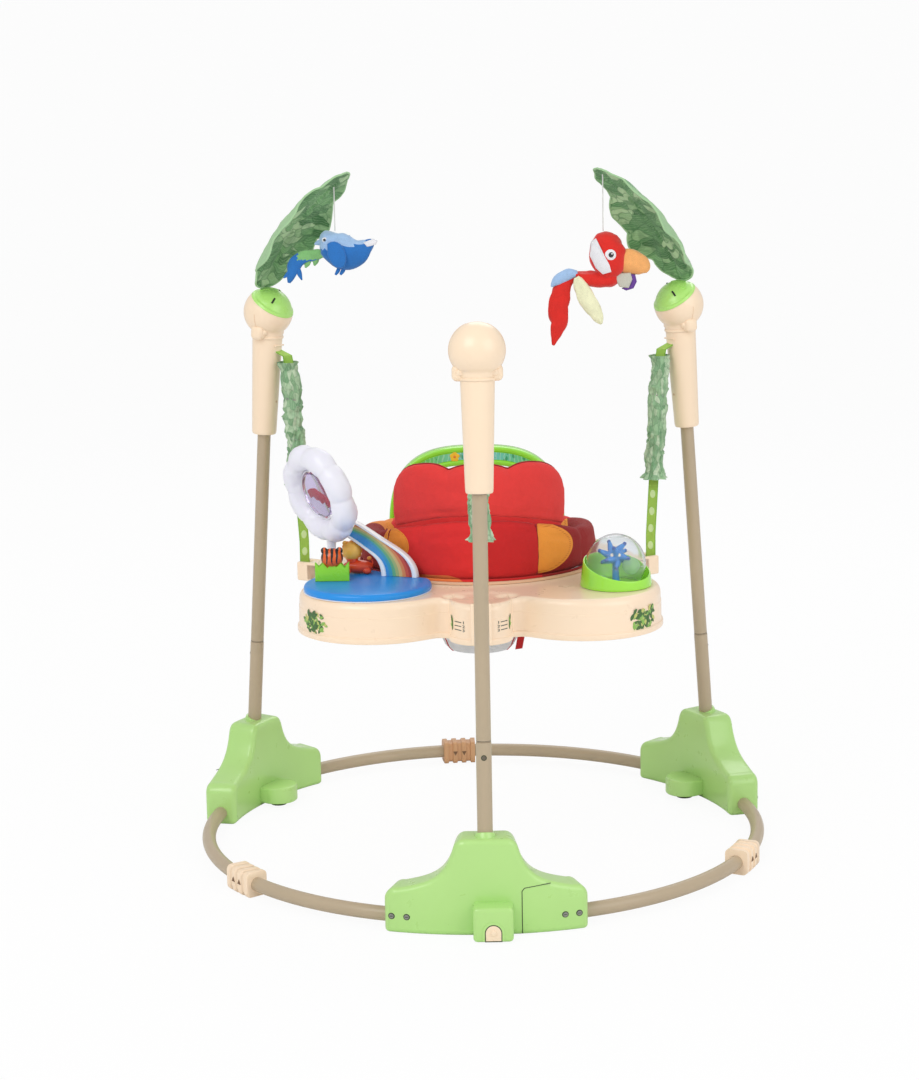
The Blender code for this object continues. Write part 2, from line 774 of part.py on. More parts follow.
def build_post(side, frame, steel, peach):
    """The two plug-together tubes and the head, on an axis that leans in."""
    axis = make_frame(f"post_axis_{side}", frame, (0, -POST_BASE_RADIUS, FOOT_TOP), lean=-POST_LEAN)
    spigot_foot = POST_JOINT - SPIGOT_LENGTH
    lower = turned(
        f"lower_post_{side}",
        [
            (0, spigot_foot - GAP),
            (SPIGOT_RADIUS + GAP, spigot_foot - GAP),
            (SPIGOT_RADIUS + GAP, POST_JOINT),
            (LOWER_POST_RADIUS, POST_JOINT),
            (LOWER_POST_RADIUS, -POST_SINK),
            (0, -POST_SINK),
        ],
        steel,
        axis,
    )
    pin_end = -LOWER_POST_RADIUS - LOCK_PIN_PROUD
    hole = rod(LOCK_PIN_RADIUS + GAP, (0, 0.001 - SPIGOT_RADIUS, LOCK_PIN_HEIGHT),
               (0, 2 * pin_end, LOCK_PIN_HEIGHT), 10)
    combine(lower, "lock_hole", hole, "DIFFERENCE")
    head_top = HEAD_BOTTOM + POST_IN_HEAD
    upper = turned(
        f"upper_post_{side}",
        [
            (0, head_top),
            (UPPER_POST_RADIUS, head_top),
            (UPPER_POST_RADIUS, POST_JOINT + GAP),
            (SPIGOT_RADIUS, POST_JOINT + GAP),
            (SPIGOT_RADIUS, spigot_foot),
            (0, spigot_foot),
        ],
        steel,
        axis,
    )
    pin = rod(LOCK_PIN_RADIUS, (0, 0, LOCK_PIN_HEIGHT), (0, pin_end, LOCK_PIN_HEIGHT), 10)
    combine(upper, "lock_pin", pin, "UNION")
    build_head(side, axis, peach, head_top)
    return axis


def build_head(side, axis, peach, head_top):
    """The ball-topped socket, with two ears and a slot for the strap."""
    neck_drop = math.sqrt(BALL_RADIUS**2 - HEAD_NECK_RADIUS**2)
    neck_angle = math.degrees(math.asin(neck_drop / BALL_RADIUS))
    profile = [(max(r, 0.0), z) for r, z in arc((0, BALL_HEIGHT), BALL_RADIUS, 90, -neck_angle, 10)]
    profile[0] = (0.0, BALL_HEIGHT + BALL_RADIUS)
    bore = UPPER_POST_RADIUS + GAP
    profile += [
        (HEAD_BOTTOM_RADIUS, HEAD_BOTTOM + HEAD_LIP),
        (HEAD_BOTTOM_RADIUS - HEAD_LIP / 2, HEAD_BOTTOM),
        (bore, HEAD_BOTTOM),
        (bore, head_top + GAP),
        (0, head_top + GAP),
    ]
    head = turned(f"post_head_{side}", profile, peach, axis, 16)
    ears = block((2 * EAR_REACH, EAR_DEEP, EAR_TALL), (0, 0, EAR_HEIGHT), EAR_EDGE, 2)
    combine(head, "ears", ears, "UNION")
    slot_y = HEAD_NECK_RADIUS - SLOT_DEEP
    slot = block(
        (2 * SLOT_HALF, 2 * SLOT_DEEP, SLOT_TALL),
        (0, slot_y + SLOT_DEEP, SLOT_HEIGHT),
    )
    combine(head, "strap_slot", slot, "DIFFERENCE")
    return head


def build_leaf_socket(side, axis, lime):
    """A lime dome set in the upper inner part of the ball, under the leaf."""
    head = bpy.data.objects[f"post_head_{side}"]
    tilt = math.radians(SOCKET_TILT)
    normal = Vector((0, math.sin(tilt), math.cos(tilt)))
    centre = Vector((0, 0, BALL_HEIGHT))
    face = centre + normal * SOCKET_OFFSET
    cap_half = 2 * BALL_RADIUS
    cut = block((2 * cap_half,) * 3, (0, 0, cap_half))
    turn = Vector((0, 0, 1)).rotation_difference(normal).to_matrix().to_4x4()
    bmesh.ops.transform(cut, matrix=Matrix.Translation(face) @ turn, verts=cut.verts)
    combine(head, "dome_seat", cut, "DIFFERENCE")
    dome = ball(BALL_RADIUS - SOCKET_INSET, (0, 0, 0), 16, 10)
    bmesh.ops.transform(dome, matrix=Matrix.Translation(centre) @ turn, verts=dome.verts)
    sliced = bmesh.ops.bisect_plane(
        dome,
        geom=dome.verts[:] + dome.edges[:] + dome.faces[:],
        plane_co=face + normal * GAP,
        plane_no=normal,
        clear_inner=True,
    )
    rim = [item for item in sliced["geom_cut"] if isinstance(item, bmesh.types.BMEdge)]
    bmesh.ops.edgenet_fill(dome, edges=rim)
    add_bmesh(f"leaf_socket_{side}", dome, lime, axis)


def hanger_point(height):
    """The middle of the strap and spring at a height, as radius."""
    share = (height - HANGER_FOOT_HEIGHT) / (SLEEVE_TOP - HANGER_FOOT_HEIGHT)
    return HANGER_FOOT_RADIUS + share * (HANGER_TOP_RADIUS - HANGER_FOOT_RADIUS)


def build_hanger(side, frame, lime, steel, print_cloth):
    """Strap, spring and gathered sleeve between a head and the tray."""
    build_strap(side, frame, lime)
    turns = COIL_TURNS * COIL_TURN_POINTS
    coil = []
    for i in range(turns + 1):
        angle = 2 * math.pi * i / COIL_TURN_POINTS
        height = COIL_TOP + (COIL_BOTTOM - COIL_TOP) * i / turns
        radius = hanger_point(height)
        coil.append((COIL_RADIUS * math.cos(angle), COIL_RADIUS * math.sin(angle) - radius, height))
    print(f"spring_{side}: least gap between its turns {1000 * coil_gap(coil):.1f} mm")
    tube(f"spring_{side}", coil, COIL_WIRE, 0, steel, frame)
    add_bmesh(f"sleeve_{side}", sleeve_bmesh(), print_cloth, frame)


def coil_gap(coil):
    """The least clear distance between points of a coil that are over half a turn apart."""
    spots = [Vector(point) for point in coil]
    apart = COIL_TURN_POINTS // 2 + 1
    return min(
        (first - second).length - 2 * COIL_WIRE
        for i, first in enumerate(spots)
        for second in spots[i + apart :]
    )


def slot_inner_radius():
    """How far from the stand's axis the bottom of the head's strap slot lies."""
    slot = post_matrix() @ Vector((0, HEAD_NECK_RADIUS - SLOT_DEEP, SLOT_HEIGHT))
    return -slot.y, slot.z


def build_strap(side, frame, lime):
    """Flat webbing: out of the head's slot, down through the spring and onto the tray's peg."""
    slot_radius, slot_z = slot_inner_radius()
    route = [
        (slot_radius - GAP, slot_z + 0.001, 0.0),
        (slot_radius - 0.008, slot_z + 0.002, 0.0),
        (slot_radius - 0.015, slot_z - 0.001, 0.0),
        (hanger_point(SLEEVE_TOP) + 0.0015, SLEEVE_TOP + 0.010, 0.0),
    ]
    steps = 4
    for i in range(steps + 1):
        height = SLEEVE_TOP + (SLEEVE_BOTTOM - SLEEVE_TOP) * i / steps
        route.append((hanger_point(height), height, i / steps))
    route.append((HANGER_FOOT_RADIUS, HANGER_FOOT_HEIGHT, 1.0))
    route.append((HANGER_FOOT_RADIUS, STRAP_END, 1.0))
    bm = bmesh.new()
    edges = []
    for radius, height, share in route:
        turn = math.radians(STRAP_TURN[side] * share)
        across = Vector((math.cos(turn), math.sin(turn), 0)) * STRAP_WIDTH / 2
        middle = Vector((0, -radius, height))
        edges.append((bm.verts.new(middle - across), bm.verts.new(middle + across)))
    for first, second in zip(edges, edges[1:]):
        bm.faces.new((first[0], first[1], second[1], second[0]))
    strap = add_bmesh(f"strap_{side}", bm, lime, frame)
    wall = strap.modifiers.new("webbing", "SOLIDIFY")
    wall.thickness = STRAP_THICKNESS
    wall.offset = 0.0
    wall.use_even_offset = True
    for i in range(STRAP_SLOT_COUNT):
        height = PEG_HEIGHT + STRAP_SLOT_PITCH * i
        radius = hanger_point(max(height, HANGER_FOOT_HEIGHT))
        hole = rod(1.0, (0, -0.01, 0), (0, 0.01, 0), 10)
        bmesh.ops.scale(hole, vec=(STRAP_SLOT_HALF, 1, STRAP_SLOT_TALL), verts=hole.verts)
        place = Matrix.Translation((0, -radius, height))
        place @= Matrix.Rotation(math.radians(STRAP_TURN[side]), 4, "Z")
        bmesh.ops.transform(hole, matrix=place, verts=hole.verts)
        combine(strap, f"slot_{i + 1}", hole, "DIFFERENCE")


def sleeve_bmesh():
    """A gathered fabric tube with a frill at its lower end."""
    points = 10
    rows = 2 * SLEEVE_GATHERS
    outer = SLEEVE_BORE + SLEEVE_WALL
    sections = []
    for row in range(rows + 1):
        height = SLEEVE_TOP + (SLEEVE_BOTTOM - SLEEVE_TOP) * row / rows
        swell = SLEEVE_GATHER if row % 2 else 0.0
        frill = SLEEVE_FRILL * max(0.0, row - rows + 2) / 2
        ring = []
        for i in range(points):
            angle = 2 * math.pi * i / points
            pucker = 1 + 0.25 * math.sin(3 * angle + 1.7 * row)
            radius = outer + swell * pucker + frill * (1 + 0.2 * math.cos(5 * angle))
            ring.append((radius, angle, height))
        sections.append(ring)
    frill_bore = SLEEVE_BORE + SLEEVE_FRILL
    top_height = SLEEVE_TOP
    for bore, height in (
        (frill_bore, SLEEVE_BOTTOM),
        (SLEEVE_BORE, SLEEVE_BOTTOM + 2 * (SLEEVE_TOP - SLEEVE_BOTTOM) / rows),
        (SLEEVE_BORE, top_height),
    ):
        sections.append([(bore, 2 * math.pi * i / points, height) for i in range(points)])
    rings = []
    for ring in sections:
        rings.append(
            [
                (r * math.cos(a), r * math.sin(a) - hanger_point(height), height)
                for r, a, height in ring
            ]
        )
    return loft(rings, closed=True)


def leaf_spine(share):
    """A point on the leaf's middle line, with the direction that its upper side faces."""
    base = (LEAF_BASE_RADIUS, leaf_base_height())
    bow = (LEAF_BOW_RADIUS, LEAF_BOW_HEIGHT)
    tip = (LEAF_TIP_RADIUS, LEAF_TIP_HEIGHT)
    s, t = 1 - share, share
    point = [s * s * base[k] + 2 * s * t * bow[k] + t * t * tip[k] for k in (0, 1)]
    along = [2 * s * (bow[k] - base[k]) + 2 * t * (tip[k] - bow[k]) for k in (0, 1)]
    length = math.hypot(*along)
    outward = Vector((0, -along[1] / length, -along[0] / length))
    return Vector((0, -point[0], point[1])), outward


def leaf_base_height():
    """The top of the lime dome, where the leaf stands."""
    centre = post_matrix() @ Vector((0, 0, BALL_HEIGHT))
    reach = BALL_RADIUS - SOCKET_INSET
    aside = LEAF_BASE_RADIUS + centre.y
    return centre.z + math.sqrt(reach**2 - aside**2) + 2 * GAP


def leaf_bmesh():
    """A padded leaf: a flattened ball with a scalloped rim, a midrib crease and a bow."""
    bm = bmesh.new()
    bmesh.ops.create_uvsphere(bm, u_segments=4 * LEAF_SCALLOPS, v_segments=6, radius=1.0)
    for vert in bm.verts:
        along, across, up = vert.co
        angle = math.atan2(across, along)
        scallop = 1 - LEAF_SCALLOP_DEPTH * (1 - abs(math.cos(LEAF_SCALLOPS * angle / 2)))
        if along < -0.93:
            scallop = 1.0
        along, across = along * scallop, across * scallop * (1 - LEAF_BASE_BROAD * along)
        share = (1 + along) / 2
        point, outward = leaf_spine(share)
        crease = 1 - 0.40 * math.exp(-((across / 0.16) ** 2))
        rise = up * LEAF_THICKNESS / 2 * crease - LEAF_CUP * across * across
        vert.co = point + outward * rise + Vector((across * LEAF_WIDTH / 2, 0, 0))
    return bm


def string_top(side):
    """Where a toy's string hangs under its leaf, in the frame of its side."""
    leaf = leaf_bmesh()
    tree = BVHTree.FromBMesh(leaf)
    leaf.free()
    start = Vector((STRING_RADIUS / 2, -LEAF_TIP_RADIUS - STRING_FROM_TIP[side], 0))
    underside = tree.ray_cast(start, Vector((0, 0, 1)))[0]
    return Vector((0, underside.y, underside.z - STRING_RADIUS - GAP))


def limb_axes(stations, i):
    """The way that a stuffed limb runs at a station, and the way across it, upwards."""
    before = stations[max(i - 1, 0)]
    after = stations[min(i + 1, len(stations) - 1)]
    along = Vector((after[0] - before[0], 0, after[1] - before[1])).normalized()
    return along, Vector((-along.z, 0, along.x))


def stuffed(stations, grow=0.0, forward=0.0):
    """A stuffed limb: oval rings square to a line that runs through the stations."""
    sections = []
    for i, (x, z, half_tall, half_deep) in enumerate(stations):
        along, across = limb_axes(stations, i)
        middle = Vector((x, -forward, z))
        if i == 0:
            middle -= along * grow
        if i == len(stations) - 1:
            middle += along * grow
        ring = []
        for k in range(STUFFED_POINTS):
            angle = 2 * math.pi * k / STUFFED_POINTS
            tall = across * (half_tall + grow) * math.cos(angle)
            deep = Vector((0, (half_deep + grow) * math.sin(angle), 0))
            ring.append(middle + tall + deep)
        sections.append(ring)
    return loft(sections)


def build_hanging_toys(stand, colours):
    """The blue bird and the red parrot, each on a string from its leaf."""
    pieces = {
        "left": [("bird_body", BIRD_BODY, "blue_plush"), ("bird_tail", BIRD_TAIL, "blue_plush")],
        "right": [
            ("parrot_head", PARROT_HEAD, "red_plush"),
            ("parrot_beak", PARROT_BEAK, "orange_plush"),
            ("parrot_body", PARROT_BODY, "red_plush"),
            ("parrot_tail", PARROT_TAIL, "red_plush"),
            ("parrot_wing", PARROT_WING, "cream_plush"),
        ],
    }
    cuts = {
        "bird_tail": [BIRD_BODY],
        "parrot_beak": [PARROT_HEAD],
        "parrot_body": [PARROT_HEAD],
        "parrot_tail": [PARROT_BODY],
        "parrot_wing": [PARROT_BODY],
    }
    crowns = {"left": BIRD_BODY, "right": PARROT_HEAD}
    for side, limbs in pieces.items():
        turn = Matrix.Rotation(math.radians(SIDES[side]), 4, "Z")
        anchor = turn @ string_top(side)
        swing = make_frame(f"toy_swing_{side}", stand, anchor)
        for name, stations, colour in limbs:
            forward = PARROT_WING_FORWARD if name == "parrot_wing" else 0.0
            limb = add_bmesh(name, stuffed(stations, 0.0, forward), colours[colour], swing)
            for i, larger in enumerate(cuts.get(name, [])):
                combine(limb, f"seam_{i}", stuffed(larger, GAP), "DIFFERENCE")
        foot = string_foot(crowns[side])
        tube(f"string_{side}", [(0, 0, 0), foot / 2, foot], STRING_RADIUS, 1, colours["cord"], swing)


def string_foot(stations):
    """Where a string meets its toy: on the back of a lying one, on the crown of an upright one."""
    tops = []
    for i, (x, z, half_tall, _) in enumerate(stations):
        across = limb_axes(stations, i)[1]
        tops.append(Vector((x, 0, z)) + across * half_tall)
    for first, second in zip(tops, tops[1:]):
        if first.x < 0.0 <= second.x and first.z > stations[-1][1]:
            back = first.lerp(second, -first.x / (second.x - first.x))
            return back + Vector((0, 0, 2 * GAP))
    return Vector((stations[0][0], 0, stations[0][1] + 2 * GAP))


def smooth_reach(reaches):
    """The largest of several radii, rounded off where two of them meet."""
    return math.log(sum(math.exp(TRAY_BLEND * reach) for reach in reaches)) / TRAY_BLEND


def lobe_reach(azimuth, x, y, radius):
    """How far a round lobe reaches from the axis along an azimuth, or nothing."""
    distance = math.hypot(x, y)
    off = math.radians(azimuth) - math.atan2(x, -y)
    off = math.atan2(math.sin(off), math.cos(off))
    aside = distance * math.sin(off)
    if abs(off) > math.pi / 2 or abs(aside) >= radius:
        return 0.0
    return distance * math.cos(off) + math.sqrt(radius**2 - aside**2)


def tray_outline(offset):
    """The tray's plan as radii: a round body, a lobe for the front strap, three toy lobes."""
    reaches = []
    for i in range(TRAY_POINTS):
        azimuth = 360.0 * i / TRAY_POINTS
        found = [TRAY_BODY_RADIUS]
        found.append(lobe_reach(azimuth, 0.0, -STRAP_LOBE_CENTRE, STRAP_LOBE_RADIUS))
        for x in (-TOY_LOBE_X, TOY_LOBE_X):
            found.append(lobe_reach(azimuth, x, -TOY_LOBE_Y, TOY_LOBE_RADIUS))
        found.append(lobe_reach(azimuth, 0.0, -FRONT_FILL_Y, FRONT_FILL_RADIUS))
        found.append(lobe_reach(azimuth, 0.0, REAR_LOBE_Y, REAR_LOBE_RADIUS))
        reaches.append(smooth_reach(found) + offset)
    return reaches


def tray_ring(reaches, height):
    """A ring of points from radii at even azimuths."""
    return [
        on_ring(360.0 * i / TRAY_POINTS, reach, height) for i, reach in enumerate(reaches)
    ]


def build_tray(hang, peach):
    """The moulded tray: an open-bottomed shell round the seat well, with strap brackets."""
    wall = TRAY_WALL
    well = [WELL_RADIUS] * TRAY_POINTS
    collar = [WELL_RADIUS + WELL_COLLAR] * TRAY_POINTS
    sections = [
        tray_ring(well, TRAY_TOP),
        tray_ring(tray_outline(-TRAY_EDGE), TRAY_TOP),
        tray_ring(tray_outline(-TRAY_EDGE / 4), TRAY_TOP - TRAY_EDGE / 3),
        tray_ring(tray_outline(0), TRAY_BOTTOM + TRAY_LIP_HEIGHT + TRAY_LIP),
        tray_ring(tray_outline(TRAY_LIP), TRAY_BOTTOM + TRAY_LIP_HEIGHT),
        tray_ring(tray_outline(TRAY_LIP), TRAY_BOTTOM),
        tray_ring(tray_outline(-wall), TRAY_BOTTOM),
        tray_ring(tray_outline(-TRAY_EDGE / 2 - wall), TRAY_TOP - wall),
        tray_ring(collar, TRAY_TOP - wall),
        tray_ring(collar, TRAY_TOP - WELL_DEPTH),
        tray_ring(well, TRAY_TOP - WELL_DEPTH),
    ]
    tray = add_bmesh("tray", loft(sections, closed=True), peach, hang)
    for side, azimuth in SIDES.items():
        add_bracket(tray, side, Matrix.Rotation(math.radians(azimuth), 4, "Z"))


def add_bracket(tray, side, turn):
    """An ear with an open channel for the strap, and the peg that goes through its slot."""
    inner, top, bottom = BRACKET_INNER[side], BRACKET_TOP[side], TRAY_BOTTOM + 0.0005
    ear = block(
        (2 * BRACKET_HALF[side], BRACKET_OUTER - inner, top - bottom),
        (0, -(BRACKET_OUTER + inner) / 2, (top + bottom) / 2),
        BRACKET_EDGE,
        1,
    )
    bmesh.ops.transform(ear, matrix=turn, verts=ear.verts)
    combine(tray, f"bracket_{side}", ear, "UNION")
    foot = turn @ Matrix.Translation((0, -HANGER_FOOT_RADIUS, 0))
    foot @= Matrix.Rotation(math.radians(STRAP_TURN[side]), 4, "Z")
    back = STRAP_THICKNESS / 2 + GAP
    channel = block((2 * CHANNEL_HALF, 0.04, 0.2), (0, back - 0.02, STRAP_END - 0.001 + 0.1))
    bmesh.ops.transform(channel, matrix=foot, verts=channel.verts)
    combine(tray, f"channel_{side}", channel, "DIFFERENCE")
    peg = rod(PEG_RADIUS, (0, back + 0.006, PEG_HEIGHT), (0, -PEG_PROUD, PEG_HEIGHT), 10)
    bmesh.ops.transform(peg, matrix=foot, verts=peg.verts)
    combine(tray, f"peg_{side}", peg, "UNION")


def wrap_top(azimuth):
    """The padded rim is highest under the backrest and lowest in front of the child."""
    angle = math.radians(azimuth)
    front = max(0.0, math.cos(angle)) ** 2
    rear = max(0.0, -math.cos(angle))
    return (
        WRAP_SIDE_TOP
        + (WRAP_FRONT_TOP - WRAP_SIDE_TOP) * front
        - (WRAP_SIDE_TOP - WRAP_REAR_TOP) * rear
    )


def padded_section(azimuth, inner, outer, bottom, top, count=8):
    """A rounded upright section across a padded rim."""
    middle = (inner + outer) / 2
    peak = math.cos(math.pi / count) ** 0.6
    points = []
    for i in range(count):
        angle = 2 * math.pi * (i + 0.5) / count
        across = math.copysign(abs(math.cos(angle)) ** 0.6, math.cos(angle))
        up = math.copysign(abs(math.sin(angle)) ** 0.6, math.sin(angle))
        radius = middle + across / peak * (outer - inner) / 2
        height = (bottom + top) / 2 + up / peak * (top - bottom) / 2
        points.append(on_ring(azimuth, radius, height))
    return points


def build_seat(hang, pivot, white, red, lining):
    """The turning ring, with the sewn rim, backrest and sling that it carries."""
    sleeve = WELL_RADIUS - RUNNING_GAP
    inner = sleeve - SEAT_SLEEVE_WALL
    turned(
        "seat_ring",
        [
            (inner, SEAT_TOP),
            (SEAT_FLANGE_RADIUS, SEAT_TOP),
            (SEAT_FLANGE_RADIUS, DECK),
            (sleeve, DECK),
            (sleeve, TRAY_TOP - SEAT_SLEEVE_DEPTH),
            (inner, TRAY_TOP - SEAT_SLEEVE_DEPTH),
        ],
        white,
        hang,
        SEAT_RING_STEPS,
        loop=True,
        pivot=pivot,
    )
    sections = []
    stations = 3 * WRAP_CHANNELS
    for i in range(stations):
        azimuth = 360.0 * i / stations
        sewn = 1.0 if i % 3 == 0 else 0.0
        sections.append(
            padded_section(
                azimuth,
                WRAP_INNER + 0.0015 * sewn,
                WRAP_OUTER - 0.0030 * sewn,
                SEAT_TOP + GAP,
                wrap_top(azimuth) - 0.0025 * sewn,
            )
        )
    add_bmesh("seat_wrap", loft(sections, closed=True), red, hang, pivot)
    build_back(hang, pivot, red)
    build_bucket(hang, pivot, lining, inner)


def build_back(hang, pivot, red):
    """The backrest, standing on the rim, with a scalloped top and rounded shoulders."""
    stations = 22
    sections = []
    for i in range(stations + 1):
        share = 2 * i / stations - 1
        azimuth = share * BACK_HALF_ANGLE
        bottom = max(wrap_top(azimuth - 1), wrap_top(azimuth + 1), wrap_top(azimuth)) + GAP
        end = math.sqrt(max(0.0, 1 - abs(share) ** 5))
        lobe = abs(math.cos(math.pi * BACK_LOBES * (share * 0.86 + 1 / BACK_LOBES) / 2 + math.pi))
        top = BACK_TOP - BACK_DIP * (1 - lobe) - BACK_SHOULDER * (1 - end)
        half = BACK_THICKNESS / 2 * (0.35 + 0.65 * end)
        sections.append(
            padded_section(azimuth, BACK_RADIUS - half, BACK_RADIUS + half, bottom, top)
        )
    add_bmesh("seat_back", loft(sections), red, hang, pivot)


def build_bucket(hang, pivot, lining, ring_inner):
    """A cloth sling that narrows to its seat, with two leg holes facing away from the back."""
    rim = ring_inner * math.cos(math.pi / SEAT_RING_STEPS) - GAP
    depth = SEAT_TOP - BUCKET_BOTTOM
    shape = [(1.0, 0.0), (0.97, 0.20), (0.82, 0.50), (0.56, 0.76), (0.38, 0.90), (0.28, 0.985)]
    points = 16
    outer = [(rim * share, SEAT_TOP - depth * drop) for share, drop in shape]
    outer.append((rim * 0.15, BUCKET_BOTTOM))
    inner = []
    for i, (radius, height) in enumerate(outer):
        inner.append((radius - BUCKET_WALL, height + (BUCKET_WALL if i > 2 else 0.0)))
    rings = inner[::-1] + outer
    sections = [
        [on_ring(360.0 * i / points, radius, height) for i in range(points)]
        for radius, height in rings
    ]
    bucket = add_bmesh("seat_bucket", loft(sections), lining, hang, pivot)
    for side, turn in (("left", -LEG_HOLE_TURN), ("right", LEG_HOLE_TURN)):
        start = on_ring(180 + turn, 0.05, LEG_HOLE_HEIGHT)
        end = on_ring(180 + turn, 0.25, LEG_HOLE_HEIGHT - 0.03)
        combine(bucket, f"leg_{side}", rod(LEG_HOLE_RADIUS, start, end, 16), "DIFFERENCE", pivot)


def build_left_toys(hang, colours):
    """Blue base with the rainbow, the cloud and its spinner, the tiger and the lion."""
    bm = bmesh.new()
    bmesh.ops.create_cone(
        bm, cap_ends=True, segments=32, radius1=1, radius2=1, depth=TOY_BASE_HEIGHT
    )
    bmesh.ops.scale(bm, vec=(TOY_BASE_HALF_X, TOY_BASE_HALF_Y, 1), verts=bm.verts)
    upper = [edge for edge in bm.edges if all(v.co.z > 0 for v in edge.verts)]
    bmesh.ops.bevel(
        bm, geom=upper, offset=TOY_BASE_EDGE, segments=2, profile=0.5, affect="EDGES", material=-1
    )
    middle = (TOY_BASE_X, TOY_BASE_Y, DECK + TOY_BASE_HEIGHT / 2)
    bmesh.ops.translate(bm, vec=middle, verts=bm.verts)
    base = add_bmesh("toy_base", bm, colours["blue"], hang)
    seat_side = rod(SEAT_MARGIN, (0, 0, TRAY_BOTTOM), (0, 0, TOY_DECK + 0.05), 48)
    combine(base, "seat_side", seat_side, "DIFFERENCE")
    add_bmesh("rainbow_arch", rainbow_bmesh(), colours["white"], hang)
    build_cloud(hang, colours)
    build_tiger(hang, colours)
    body = ball(1.0, (LION_X, LION_Y, TOY_DECK + GAP + LION_HEIGHT * 0.35), 14, 6,
                (LION_LENGTH / 2, LION_WIDTH / 2, LION_HEIGHT * 0.65))
    sliced = bmesh.ops.bisect_plane(
        body, geom=body.verts[:] + body.edges[:] + body.faces[:],
        plane_co=(0, 0, TOY_DECK + GAP), plane_no=(0, 0, 1), clear_inner=True,
    )
    rim = [item for item in sliced["geom_cut"] if isinstance(item, bmesh.types.BMEdge)]
    bmesh.ops.edgenet_fill(body, edges=rim)
    lion = add_bmesh("lion_toy", body, colours["orange"], hang)
    head = (LION_X - LION_LENGTH * 0.16, LION_Y, TOY_DECK + LION_HEAD_HEIGHT)
    combine(lion, "head", ball(LION_HEAD_RADIUS, head, 12, 6), "UNION")


def rainbow_bmesh():
    """A quarter of an oval band, with a thick rim along both edges of a thin web."""
    count = 12
    sections = []
    for i in range(count + 1):
        angle = math.radians(RAINBOW_END * i / count)
        inner = Vector((RAINBOW_INNER_X * math.cos(angle), RAINBOW_INNER_Z * math.sin(angle)))
        outer = Vector((RAINBOW_OUTER_X * math.cos(angle), RAINBOW_OUTER_Z * math.sin(angle)))
        across = (outer - inner).normalized()
        width = (outer - inner).length
        rim, web = RAINBOW_RIM_DEPTH / 2, RAINBOW_WEB_DEPTH / 2
        profile = [(0, rim), (RAINBOW_RIM, rim), (RAINBOW_RIM, web), (width - RAINBOW_RIM, web)]
        profile += [(width - RAINBOW_RIM, rim), (width, rim)]
        profile += [(reach, -deep) for reach, deep in reversed(profile)]
        ring = []
        for reach, deep in profile:
            flat = inner + across * reach
            ring.append((flat.x, deep, flat.y))
        sections.append(ring)
    bm = loft(sections)
    place = Matrix.Translation((RAINBOW_X, RAINBOW_Y, TOY_DECK + GAP))
    place @= Matrix.Rotation(math.radians(RAINBOW_TURN), 4, "Z")
    bmesh.ops.transform(bm, matrix=place, verts=bm.verts)
    return bm


def cloud_axes():
    """The cloud ring's own axes: sideways, up in its plane, and the way it faces."""
    facing = CLOUD_FACING.normalized()
    up = (Vector((0, 0, 1)) - facing * facing.z).normalized()
    side = up.cross(facing)
    return Matrix((side, up, facing)).transposed().to_4x4()


def build_cloud(hang, colours):
    """A puffy ring on a short stem, and the clear disc that spins in it."""
    rings, points = 32, 8
    sections = []
    for i in range(rings):
        turn = 2 * math.pi * i / rings
        puff = CLOUD_PUFF * abs(math.sin(CLOUD_PUFFS * turn / 2))
        ring = []
        for k in range(points):
            angle = 2 * math.pi * k / points
            swell = CLOUD_THICK + puff * (1 + math.cos(angle)) / 2
            radius = CLOUD_RADIUS + swell * math.cos(angle)
            ring.append((radius * math.cos(turn), radius * math.sin(turn), swell * math.sin(angle)))
        sections.append(ring)
    place = Matrix.Translation(CLOUD_CENTRE) @ cloud_axes()
    bm = loft(sections, closed=True)
    bmesh.ops.transform(bm, matrix=place, verts=bm.verts)
    cloud = add_bmesh("cloud_ring", bm, colours["cloud"], hang)
    foot = place @ Vector((0, -CLOUD_RADIUS - CLOUD_THICK / 2, 0))
    stem = rod(STEM_RADIUS, (foot.x, foot.y, TOY_DECK + GAP), foot, 12, STEM_RADIUS * 0.8)
    combine(cloud, "stem", stem, "UNION")

    pivot = make_frame("spinner_pivot", hang, CLOUD_CENTRE)
    disc = rod(SPINNER_RADIUS, (0, 0, -SPINNER_HALF), (0, 0, SPINNER_HALF), 20)
    bmesh.ops.transform(disc, matrix=place, verts=disc.verts)
    spinner = add_bmesh("cloud_spinner", disc, colours["clear"], hang, pivot)
    reach = CLOUD_RADIUS - CLOUD_THICK - RUNNING_GAP
    axle = rod(SPINNER_AXLE, (0, -reach, 0), (0, reach, 0), 8)
    bmesh.ops.transform(axle, matrix=place, verts=axle.verts)
    combine(spinner, "axle", axle, "UNION", pivot)


